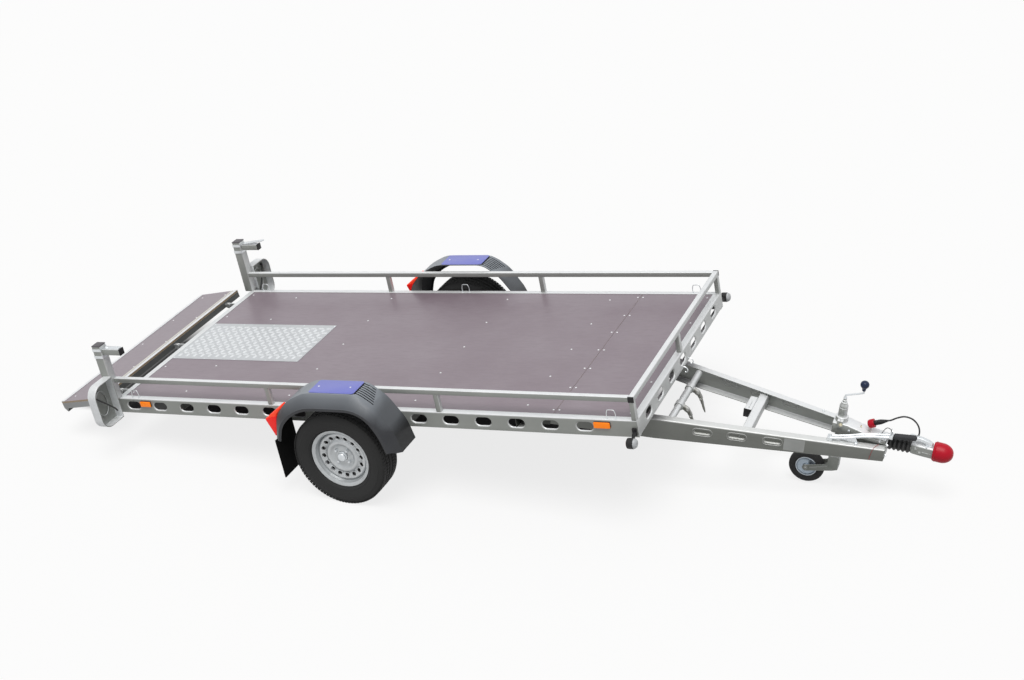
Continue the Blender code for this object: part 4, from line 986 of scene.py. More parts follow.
    @staticmethod
    def apply(piece: Piece, kind: str, **settings: object) -> Piece:
        """Add a modifier and apply it.

        Args:
            piece: The piece.
            kind: The modifier's type.
            settings: Its settings.

        Returns:
            The piece.
        """
        Bench.take(piece)
        step = piece.modifiers.new(kind.title(), kind)
        for name, value in settings.items():
            setattr(step, name, value)
        bpy.ops.object.modifier_apply(modifier=step.name)
        return piece

    @staticmethod
    def bevel(piece: Piece, width: float, segments: int = 2, angle: float = 30.0) -> Piece:
        """Round a piece's sharp edges.

        Args:
            piece: The piece.
            width: Width of the rounding.
            segments: Its steps.
            angle: Sharpest edge that is left alone, in degrees.

        Returns:
            The piece.
        """
        return Bench.apply(piece, "BEVEL", width=width, segments=segments, limit_method="ANGLE",
                           angle_limit=math.radians(angle))

    @staticmethod
    def cut(piece: Piece, *tools: Piece) -> Piece:
        """Cut tools out of a piece and throw them away.

        Args:
            piece: The piece.
            tools: The cutters.

        Returns:
            The piece.
        """
        for tool in tools:
            Bench.apply(piece, "BOOLEAN", operation="DIFFERENCE", solver="EXACT", object=tool)
            bpy.data.objects.remove(tool, do_unlink=True)
        return piece

    @staticmethod
    def joined(name: str, pieces: Sequence[Piece]) -> Piece:
        """Make several pieces one.

        Args:
            name: The new piece's name.
            pieces: The pieces.

        Returns:
            The piece.
        """
        Bench.take(pieces[0])
        for piece in pieces[1:]:
            piece.select_set(True)
        if len(pieces) > 1:
            bpy.ops.object.join()
        pieces[0].name = name
        return pieces[0]

    @staticmethod
    def copy(piece: Piece, move: Matrix | Point) -> Piece:
        """A copy with its own mesh, set in another place.

        Args:
            piece: The piece.
            move: A matrix or a shift.

        Returns:
            The copy.
        """
        Bench.take(piece)
        bpy.ops.object.duplicate(linked=False)
        twin = bpy.context.object
        matrix = move if isinstance(move, Matrix) else Matrix.Translation(move)
        Bench.set_in(twin, matrix)
        return twin

    @staticmethod
    def copies(piece: Piece, moves: Sequence[Matrix | Point]) -> list[Piece]:
        """Copies of a piece in several places, for which the piece itself goes.

        Args:
            piece: The piece.
            moves: Matrices or shifts.

        Returns:
            The copies.
        """
        twins = [Bench.copy(piece, move) for move in moves]
        bpy.data.objects.remove(piece, do_unlink=True)
        return twins

    @staticmethod
    def ringed(piece: Piece, count: int) -> Piece:
        """Repeat a piece evenly round the y axis.

        Args:
            piece: The piece.
            count: How often it stands in the full turn.

        Returns:
            The piece.
        """
        Bench.edit(piece)
        bpy.ops.mesh.spin(steps=count, angle=math.tau, center=ORIGIN, axis=Axis.Y.value, dupli=True)
        bpy.ops.mesh.select_all(action="SELECT")
        bpy.ops.mesh.remove_doubles(threshold=WELD)
        Bench.done()
        return piece

    @staticmethod
    def skinned(name: str, lines: Sequence[Sequence[Point]]) -> Piece:
        """A sheet bridged between lines of equal count.

        Args:
            name: The piece's name.
            lines: The lines in order.

        Returns:
            The piece.
        """
        strips = []
        for first, second in zip(lines, lines[1:]):
            strip = Bench.joined("strip", [Bench.chain("line", first), Bench.chain("line", second)])
            Bench.edit(strip)
            bpy.ops.mesh.bridge_edge_loops()
            Bench.done()
            strips.append(strip)
        piece = Bench.joined(name, strips)
        Bench.edit(piece)
        bpy.ops.mesh.remove_doubles(threshold=WELD)
        bpy.ops.mesh.normals_make_consistent(inside=False)
        Bench.done()
        return piece

    @staticmethod
    def set_in(piece: Piece, matrix: Matrix) -> Piece:
        """Move a piece by a matrix and put its place into its mesh.

        Args:
            piece: The piece.
            matrix: The move.

        Returns:
            The piece.
        """
        Bench.take(piece)
        piece.matrix_world = matrix @ piece.matrix_world
        bpy.ops.object.transform_apply(location=True, rotation=True, scale=True)
        if matrix.determinant() < 0:
            Bench.edit(piece)
            bpy.ops.mesh.flip_normals()
            bpy.ops.mesh.normals_make_consistent(inside=False)
            Bench.done()
        return piece

    @staticmethod
    def smooth(piece: Piece, angle: float = 35.0) -> Piece:
        """Shade a piece smooth between its creases.

        Args:
            piece: The piece.
            angle: Sharpest angle that stays smooth, in degrees.

        Returns:
            The piece.
        """
        Bench.take(piece)
        bpy.ops.object.shade_smooth_by_angle(angle=math.radians(angle))
        return piece

    @staticmethod
    def arc(centre: Flat, radius: float, start: float, sweep: float, steps: int) -> list[Flat]:
        """Points of an arc, both of its ends among them.

        Args:
            centre: Its centre.
            radius: Its radius.
            start: Its first angle in degrees.
            sweep: How far it turns, in degrees.
            steps: Its steps.

        Returns:
            The points.
        """
        angles = [math.radians(start + sweep * step / steps) for step in range(steps + 1)]
        return [
            (centre[0] + radius * math.cos(a), centre[1] + radius * math.sin(a)) for a in angles]

    @staticmethod
    def stadium(length: float, height: float, steps: int = 10) -> list[Flat]:
        """The outline of a slot with round ends, about the origin.

        Args:
            length: Length over the round ends.
            height: Height.
            steps: Steps of each end.

        Returns:
            The corners.
        """
        radius = height / 2
        reach = length / 2 - radius
        return [*Bench.arc((reach, 0.0), radius, -90.0, 180.0, steps),
                *Bench.arc((-reach, 0.0), radius, 90.0, 180.0, steps)]

    @staticmethod
    def rounded(low: Flat, high: Flat, radius: float, steps: int = 5) -> list[Flat]:
        """The outline of a rectangle with round corners.

        Args:
            low: Lowest corner.
            high: Highest corner.
            radius: Radius of the corners.
            steps: Steps of each corner.

        Returns:
            The corners.
        """
        (left, bottom), (right, top) = (
            (low[0] + radius, low[1] + radius), (high[0] - radius, high[1] - radius))
        corners = ((right, bottom), (right, top), (left, top), (left, bottom))
        return [point for k, corner in enumerate(corners)
                for point in Bench.arc(corner, radius, 90.0 * (k - 1), 90.0, steps)]


@dataclass
class Assembly:
    """What every sub-assembly shares: handing a piece over to a body."""

    body: Body
    frame: Matrix

    def hand_over(
            self, piece: Piece, finish: Finish, replaces: Sequence[str] = (),
            angle: float = 35.0) -> Piece:
        """Set a piece in the trailer, dress it and let it ride.

        Args:
            piece: The piece, in the assembly's own frame.
            finish: Its finish.
            replaces: CAD nodes that it stands for.
            angle: Sharpest angle that stays smooth, in degrees.

        Returns:
            The piece.
        """
        Bench.set_in(piece, self.frame)
        Bench.smooth(piece, angle)
        piece.data.materials.clear()
        piece.data.materials.append(finish.material())
        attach(piece, self.body.value)
        if replaces:
            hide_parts(*replaces)
        LOG.info("%s: %d faces, %s", piece.name, len(piece.data.polygons), finish.surface.name)
        return piece

    @staticmethod
    def paint(finish: Finish, *nodes: str) -> None:
        """Give CAD nodes a finish.

        Args:
            finish: The finish.
            nodes: Names of the nodes.
        """
        for name in nodes:
            item = frame["nodes"][name]
            item.data.materials.clear()
            item.data.materials.append(finish.material())
            LOG.info("%s: kept from the frame, %s", name, finish.surface.name)


@dataclass
class Studio:
    """Floor, light and camera."""

    camera_place: Point = (4.4924, -6.9972, 4.2219)
    camera_yaw: float = math.radians(28.276)
    camera_pitch: float = math.radians(24.615)
    camera_roll: float = math.radians(-11.485)
    lens: float = 52.16
    floor_size: float = 160.0
    floor_gap: float = 0.0005
    paper: Colour = (0.90, 0.90, 0.90)
    paper_bounce: Colour = (0.42, 0.42, 0.42)  # what the paper sends back to the trailer
    # patch: colour of the painted shadow under the trailer
    patch: Colour = (0.10, 0.10, 0.10)  # the dark patch under the trailer
    glow_share: float = 0.80
    sky: float = 0.34
    sky_colour: Colour = (0.97, 0.985, 1.0)
    sun: float = 2.12
    sun_angle: float = math.radians(38.0)
    sun_colour: Colour = (1.0, 0.99, 0.97)
    sun_from: Point = (0.12, -0.34, 1.0)
    # Edges of the painted shadow's mask on the floor: x share, y share, offset and softness of each
    # line.
    painted_shadow_lines: tuple[tuple[float, float, float, float], ...] = (
        (-0.178, 0.984, -0.0198, 0.048), (-1.0, 0.0, 0.833, 0.024), (0.0, -1.0, 0.93, 0.40),
        (1.0, 0.0, 2.93, 0.24))

    def camera(self) -> None:
        """Set the camera where the photographer stood."""
        yaw, pitch, roll = self.camera_yaw, self.camera_pitch, self.camera_roll
        ahead = Vector(
            (-math.sin(yaw) * math.cos(pitch), math.cos(yaw) * math.cos(pitch), -math.sin(pitch)))
        right = Vector((math.cos(yaw), math.sin(yaw), 0.0))
        up = right.cross(ahead)
        across = math.cos(roll) * right + math.sin(roll) * up
        upward = math.cos(roll) * up - math.sin(roll) * right
        stand = Matrix.Identity(4)
        for column, vector in enumerate((across, upward, -ahead, Vector(self.camera_place))):
            for row in range(3):
                stand[row][column] = vector[row]
        data = bpy.data.cameras.new("camera")
        data.lens = self.lens
        data.sensor_width = 36.0
        data.clip_end = 400.0
        item = bpy.data.objects.new("camera", data)
        bpy.context.scene.collection.objects.link(item)
        item.matrix_world = STANCE.bed() @ stand
        bpy.context.scene.camera = item

    @staticmethod
    def seen(tree: bpy.types.NodeTree) -> Socket:
        """Whether a ray comes from the camera, off a gloss or through a clear piece.

        Args:
            tree: The node tree that asks.

        Returns:
            The value socket.
        """
        path = tree.nodes.new("ShaderNodeLightPath")
        seen = path.outputs["Is Camera Ray"]
        for ray in ("Is Glossy Ray", "Is Transmission Ray"):
            either = tree.nodes.new("ShaderNodeMath")
            either.operation = "MAXIMUM"
            tree.links.new(seen, either.inputs[0])
            tree.links.new(path.outputs[ray], either.inputs[1])
            seen = either.outputs[0]
        return seen

    @staticmethod
    def blended(
            n: Nodes, share: Socket, first: bpy.types.Node,
            second: bpy.types.Node) -> bpy.types.Node:
        """Blend two shaders.

        Args:
            n: The material they are in.
            share: Share of the second.
            first: First shader node.
            second: Second shader node.

        Returns:
            The node that blends them.
        """
        node = n.tree.nodes.new("ShaderNodeMixShader")
        for source, target in zip((share, first.outputs[0], second.outputs[0]), node.inputs):
            n.wire(source, target)
        return node

    def floor(self) -> None:
        """Lay a pale floor with a painted shadow under the trailer, clear from below."""
        Bench.clear()
        height = CAD_BOX[0].z - self.floor_gap
        bpy.ops.mesh.primitive_plane_add(size=self.floor_size, location=(0.0, 0.0, height))
        item = bpy.context.object
        item.name = "floor"
        n = Nodes("floor_paper")
        seen = self.seen(n.tree)
        here = n.place.outputs["Object"]
        # Mask of the painted shadow: dark paper and no glow under the trailer, where the slots look
        # down.
        under = 1.0
        for across, along, start, soft in self.painted_shadow_lines:
            edge = n.sums("ADD", n.sums("MULTIPLY", n.part(here, "X"), across),
                          n.sums("MULTIPLY", n.part(here, "Y"), along))
            under = n.sums("MULTIPLY", n.ranged(edge, -start, soft - start), under)
        paper = n.tree.nodes.new("ShaderNodeBsdfDiffuse")
        pale = n.mixed(under, self.paper, self.patch)
        n.wire(n.mixed(seen, self.paper_bounce, pale), paper.inputs["Color"])
        glow = n.tree.nodes.new("ShaderNodeEmission")
        glow.inputs["Color"].default_value = (1.0, 1.0, 1.0, 1.0)
        share = n.sums("MULTIPLY", seen, n.ranged(under, 0.0, 1.0, self.glow_share, 0.0))
        lit = self.blended(n, share, paper, glow)
        clear = n.tree.nodes.new("ShaderNodeBsdfTransparent")
        side = n.tree.nodes.new("ShaderNodeNewGeometry")
        sheet = self.blended(n, side.outputs["Backfacing"], lit, clear)
        n.wire(sheet.outputs[0], n.tree.nodes["Material Output"].inputs["Surface"])
        item.data.materials.append(n.material)

    def light(self) -> None:
        """Hang a broad soft light overhead, under an even sky that looks white itself."""
        world = bpy.data.worlds.new("studio")
        world.use_nodes = True
        bpy.context.scene.world = world
        tree = world.node_tree
        sky = tree.nodes["Background"]
        level = tree.nodes.new("ShaderNodeMapRange")
        level.inputs["To Min"].default_value = self.sky
        tree.links.new(self.seen(tree), level.inputs["Value"])
        tree.links.new(level.outputs["Result"], sky.inputs["Strength"])
        sky.inputs["Color"].default_value = (*self.sky_colour, 1.0)
        data = bpy.data.lights.new("key", "SUN")
        data.energy = self.sun
        data.angle = self.sun_angle
        data.color = self.sun_colour
        item = bpy.data.objects.new("key", data)
        bpy.context.scene.collection.objects.link(item)
        item.rotation_euler = Vector(self.sun_from).to_track_quat("Z", "Y").to_euler()

    def build(self) -> None:
        """Build the studio."""
        self.camera()
        self.floor()
        self.light()
        bpy.context.scene.view_settings.view_transform = "Standard"


@dataclass
class SlottedFrame(Assembly):
    """Folded side and front rails with swaged slots, their bearers and the rear rail."""

    half: float = BED_HALF
    front: float = BED_FRONT
    rear: float = -1.640
    top: float = RAIL_TOP
    depth: float = 0.100
    flange: float = 0.040
    wall: float = 0.003
    bend: float = 0.005
    slot_length: float = 0.098
    slot_height: float = 0.052
    slot_z: float = 0.484
    pitch: float = 0.200
    first: float = -1.5256
    side_slots: int = 16
    front_slots: int = 7
    swage: float = 0.0065

    def channel(self, name: str, start: float, end: float) -> Piece:
        """A folded channel along x, its web's outer face on y = 0 and its flanges towards +y.

        Args:
            name: The piece's name.
            start: Its first x.
            end: Its last x.

        Returns:
            The piece.
        """
        skin = self.wall / 2
        low, high = self.top - self.depth + skin, self.top - skin
        line = [
            (start, self.flange, high), (start, skin, high), (start, skin, low),
            (start, self.flange, low)]
        piece = Bench.chain(name, line)
        Bench.edit(piece)
        bpy.ops.mesh.extrude_region_move(TRANSFORM_OT_translate={"value": (end - start, 0.0, 0.0)})
        bpy.ops.mesh.select_all(action="SELECT")
        bpy.ops.mesh.normals_make_consistent(inside=False)
        Bench.done()
        Bench.bevel(piece, self.bend, 4)
        return Bench.apply(piece, "SOLIDIFY", thickness=self.wall, offset=0.0)

    def swage_ring(self) -> Piece:
        """One pressed rim round a slot, in the xz plane about the origin, dished towards +y."""
        outline = Bench.stadium(
            self.slot_length + 2 * self.swage, self.slot_height + 2 * self.swage)
        piece = Bench.chain("swage", [(x, self.wall / 2, z) for x, z in outline])
        Bench.edit(piece)
        bpy.ops.mesh.edge_face_add()
        bpy.ops.mesh.select_mode(type="FACE")
        for width, dish in (
                (self.swage * 0.45, 0.0006), (self.swage * 0.30, 0.0020),
                (self.swage * 0.25, 0.0034)):
            bpy.ops.mesh.inset(thickness=width, depth=0.0)
            bpy.ops.transform.translate(value=(0.0, dish, 0.0))
        bpy.ops.mesh.delete(type="ONLY_FACE")
        Bench.done()
        return Bench.apply(piece, "SOLIDIFY", thickness=self.wall * 0.9, offset=0.0)

    def slotted(self, name: str, start: float, end: float, places: Sequence[float]) -> Piece:
        """A channel with its swaged slots.

        Args:
            name: The piece's name.
            start: Its first x.
            end: Its last x.
            places: Middles of the slots.

        Returns:
            The piece.
        """
        rail = self.channel(name, start, end)
        outline = Bench.stadium(
            self.slot_length + 1.9 * self.swage, self.slot_height + 1.9 * self.swage)
        tool = Bench.plate("slot_tool", outline, Axis.Y, -0.01, 0.015)
        spots = [(x, 0.0, self.slot_z) for x in places]
        Bench.cut(rail, Bench.joined("slot_tools", Bench.copies(tool, spots)))
        return Bench.joined(name, [rail, *Bench.copies(self.swage_ring(), spots)])

    def side_rails(self) -> None:
        """Both side rails."""
        places = [self.first + k * self.pitch for k in range(self.side_slots)]
        end = self.front - self.wall - 0.0003
        rail = self.slotted("side_rail_right", self.rear, end, places)
        Bench.set_in(rail, Matrix.Translation((0.0, -self.half, 0.0)))
        twin = Bench.copy(rail, MIRROR)
        twin.name = "side_rail_left"
        self.hand_over(rail, Finish.GALVANISED, ["rail_right"])
        self.hand_over(twin, Finish.GALVANISED, ["rail_left"])

    def front_rail(self) -> None:
        """The front rail, its web over the side rails' ends."""
        places = [(k - (self.front_slots - 1) / 2) * self.pitch for k in range(self.front_slots)]
        inner = self.half - self.flange - 0.001
        rail = self.slotted("front_rail_dress", -inner, inner, places)
        Bench.set_in(
            rail, Matrix.Translation((self.front, 0.0, 0.0)) @ Matrix.Rotation(math.pi / 2, 4, "Z"))
        for sign in (-1, 1):
            ys = span(sign, inner - 0.002, self.half)
            low = (self.front - self.wall, ys[0], self.top - self.depth)
            end = Bench.box("front_rail_end", low, (self.front, ys[1], self.top), 0.0010)
            rail = Bench.joined("front_rail_dress", [rail, end])
        self.hand_over(rail, Finish.GALVANISED, ["rail_front"])

    def build(self) -> None:
        """Build the frame."""
        self.side_rails()
        self.front_rail()
        under = ("bearer_1", "bearer_2", "bearer_3", "bearer_4", "axle_tube", "swing_arm_left",
                 "swing_arm_right", "hinge_shaft")
        for name in ("rail_rear", *under):
            self.round_off(name, 0.0015)
        # The rear rail's faces that look ahead and the parts under the bed take finishes darkened
        # with painted shade.
        self.paint(Finish.RAMP_SIDE, "rail_rear")
        self.paint(Finish.UNDER, *under)

    @staticmethod
    def round_off(node: str, width: float, segments: int = 2) -> None:
        """Round a CAD node's edges with live modifiers.

        Args:
            node: Name of the node.
            width: Width of the rounding.
            segments: Its steps.
        """
        item = frame["nodes"][node]
        weld = item.modifiers.new("Weld", "WELD")
        weld.merge_threshold = WELD
        edge = item.modifiers.new("Edge", "BEVEL")
        edge.width = width
        edge.segments = segments
        edge.limit_method = "ANGLE"
        edge.angle_limit = math.radians(32.0)
        edge.harden_normals = False


@dataclass
class Deck(Assembly):
    """Plywood boards with their rivets, and the tread plate with its raised tears."""

    top: float = 0.529
    seam: float = 1.285
    plate_rear: float = -1.598
    plate_front: float = -0.640
    plate_half: float = 0.250
    plate_top: float = 0.5313
    tear_pitch: Flat = (0.0580, 0.0620)
    tear_rows: tuple[Flat, ...] = (
        (-0.0150, 0.70), (-0.0075, 0.92), (0.0, 1.0), (0.0075, 0.92), (0.0150, 0.70))
    rivet_rows: tuple[float, ...] = (-1.20, -0.45, 0.40, 1.10)
    rivet_columns: tuple[float, ...] = (-0.66, -0.33, 0.0, 0.33, 0.66)
    seam_steps: Flat = (-0.016, 0.018)
    seam_columns: tuple[float, ...] = (-0.70, -0.45, -0.225, 0.0, 0.225, 0.45, 0.70)
    end_rows: Flat = (-1.575, 1.712)
    end_columns: tuple[float, ...] = (-0.70, -0.36, 0.36, 0.70)
    screw_rows: tuple[float, ...] = (-1.588, -1.353, -1.119, -0.884, -0.650)
    screw_columns: Flat = (-0.241, 0.241)
    tear: Point = (0.0138, 0.0027, 0.0017)  # half the length, width and height of one tear
    plate_margin: float = 0.012

    def rivets(self) -> None:
        """Rivets over the bearers and in pairs along the seam."""
        spots = [
            (x, y) for x in self.rivet_rows for y in self.rivet_columns
            if not (self.plate_rear < x < self.plate_front and abs(y) < self.plate_half + 0.02)]
        spots += [(self.seam + step, y) for step in self.seam_steps for y in self.seam_columns]
        spots += [(x, y) for x in self.end_rows for y in self.end_columns]
        pieces = Bench.copies(Bench.rivet(), [(x, y, self.top) for x, y in spots])
        self.hand_over(Bench.joined("deck_rivets", pieces), Finish.LUG)

    def tears(self) -> None:
        """Raised tears of the tread plate, in two directions by turns."""
        Bench.clear()
        bpy.ops.mesh.primitive_uv_sphere_add(segments=8, ring_count=6, radius=1.0, location=ORIGIN)
        tear = bpy.context.object
        bpy.ops.transform.resize(value=self.tear)
        bpy.ops.object.transform_apply(location=True, rotation=True, scale=True)
        Bench.edit(tear)
        bpy.ops.mesh.bisect(
            plane_co=(0.0, 0.0, -0.0002), plane_no=(0.0, 0.0, 1.0), use_fill=True, clear_inner=True)
        Bench.done()
        rows = [Matrix.Translation((0.0, place, 0.0)) @ Matrix.Scale(share, 4, (1.0, 0.0, 0.0))
                for place, share in self.tear_rows]
        group = Bench.joined("group", Bench.copies(tear, rows))
        step_x, step_y = self.tear_pitch
        between = Matrix.Translation((step_x / 2, step_y / 2, 0.0))
        turned = Bench.copy(group, between @ Matrix.Rotation(math.pi / 2, 4, "Z"))
        piece = Bench.joined("tread_tears", [group, turned])
        along = int((self.plate_front - self.plate_rear - self.plate_margin) / step_x)
        across = int((2 * self.plate_half - self.plate_margin) / step_y)
        for count, step in ((along, (step_x, 0.0, 0.0)), (across, (0.0, step_y, 0.0))):
            Bench.apply(
                piece, "ARRAY", count=count, use_relative_offset=False, use_constant_offset=True,
                constant_offset_displace=step)
        shift = ((self.plate_rear + self.plate_front) / 2 - (along - 0.5) * step_x / 2,
                 -(across - 0.5) * step_y / 2, self.plate_top)
        Bench.set_in(piece, Matrix.Translation(shift))
        self.hand_over(piece, Finish.LUG, angle=60.0)

    def plate_screws(self) -> None:
        """Screws round the tread plate's edge."""
        spots = [(x, y, self.plate_top) for x in self.screw_rows for y in self.screw_columns]
        pieces = Bench.copies(Bench.rivet("screw"), spots)
        self.hand_over(Bench.joined("plate_screws", pieces), Finish.BRIGHT_ZINC)

    def build(self) -> None:
        """Build the deck."""
        self.paint(Finish.FILM, "deck_main", "deck_front")
        self.paint(Finish.TREAD, "tread_plate")
        self.rivets()
        self.tears()
        self.plate_screws()


@dataclass
class Railing(Assembly):
    """Square tube railing with welded posts, end caps and wire lashing loops."""

    top: float = 0.670
    tube: float = 0.030
    half: float = BED_HALF
    front: float = BED_FRONT
    foot: float = 0.5313
    start: float = -1.6197
    posts: tuple[float, ...] = (-0.505, 0.610)
    front_posts: tuple[float, ...] = (-0.770, 0.0, 0.770)
    corner: float = 0.0035
    cap_skin: float = 0.0012
    loop_y: float = 0.768
    loop_wire: float = 0.0026
    hook_wire: float = 0.0030

    def side(self, side: Side) -> None:
        """One side's rail with its posts.

        Args:
            side: Which side.
        """
        low = self.top - self.tube
        ys = span(side.value, self.half - self.tube, self.half)
        rail = Bench.box(
            "rail_tube", (self.start, ys[0], low),
            (self.front - self.tube - 0.0003, ys[1], self.top), self.corner, 3)
        parts = [rail]
        for x in self.posts:
            foot = (x - self.tube / 2, ys[0] + 0.002, self.foot)
            head = (x + self.tube / 2, ys[1] - 0.0005, low + 0.002)
            parts.append(Bench.box("post", foot, head, self.corner, 3))
        piece = Bench.joined("railing_" + side.word + "_dress", parts)
        self.hand_over(piece, Finish.GALVANISED, ["railing_" + side.word])

    def front_rail(self) -> None:
        """The front rail with its posts."""
        low = self.top - self.tube
        corner = self.front - self.tube
        rail = Bench.box(
            "rail_tube", (corner, -self.half + 0.002, low),
            (self.front, self.half - 0.002, self.top), self.corner, 3)
        parts = [rail]
        for y in self.front_posts:
            foot = (corner + 0.002, y - self.tube / 2, self.foot)
            head = (self.front - 0.0005, y + self.tube / 2, low + 0.002)
            parts.append(Bench.box("post", foot, head, self.corner, 3))
        self.hand_over(
            Bench.joined("railing_front_dress", parts), Finish.GALVANISED, ["railing_front"])
        caps = []
        for sign in (-1, 1):
            ys = span(sign, self.half - 0.006, self.half + 0.0018)
            rear = (corner - self.cap_skin, ys[0], low - self.cap_skin)
            ahead = (self.front + self.cap_skin, ys[1], self.top + self.cap_skin)
            caps.append(Bench.box("cap", rear, ahead, 0.0016, 3))
        self.hand_over(Bench.joined("railing_caps", caps), Finish.CAPS)

    def lashing_loops(self) -> None:
        """Sprung wire loops standing on the side rails."""
        outline = ((-0.024, 0.001), (-0.026, 0.020), (-0.021, 0.044), (-0.014, 0.050),
                   (0.014, 0.050), (0.021, 0.044), (0.026, 0.020), (0.024, 0.001))
        foot = [(0.0, 0.006), (0.0045, 0.005), (0.0055, 0.0), (0.0, 0.0)]
        pieces = []
        for side, spots in (
                (Side.RIGHT, (-1.505, -0.052, 1.628)), (Side.LEFT, (-1.51, 0.055, 1.628))):
            for x in spots:
                y = side.value * self.loop_y
                line = [(x + u, y, RAIL_TOP + w) for u, w in outline]
                pieces.append(Bench.tube("loop", Bench.curve(line, 30), self.loop_wire, 3))
                for sign in (-1, 1):
                    place = (x + sign * 0.024, y, RAIL_TOP)
                    pieces.append(Bench.turned("foot", foot, Axis.Z, place, 12))
        self.hand_over(Bench.joined("lashing_loops", pieces), Finish.BRIGHT_ZINC)

    def keeper_hooks(self) -> None:
        """Two small hooks under the front rail for the plug lead."""
        pieces = []
        for y in (-0.020, 0.085):
            line = [(1.772, y, 0.446), (1.786, y, 0.443), (1.797, y, 0.434), (1.799, y, 0.421),
                    (1.791, y, 0.412), (1.782, y, 0.415)]
            pieces.append(Bench.tube("hook", Bench.curve(line, 18), self.hook_wire, 3))
        self.hand_over(Bench.joined("keeper_hooks", pieces), Finish.BRIGHT_ZINC)

    def build(self) -> None:
        """Build the railing."""
        for side in Side:
            self.side(side)
        self.front_rail()
        self.lashing_loops()
        self.keeper_hooks()


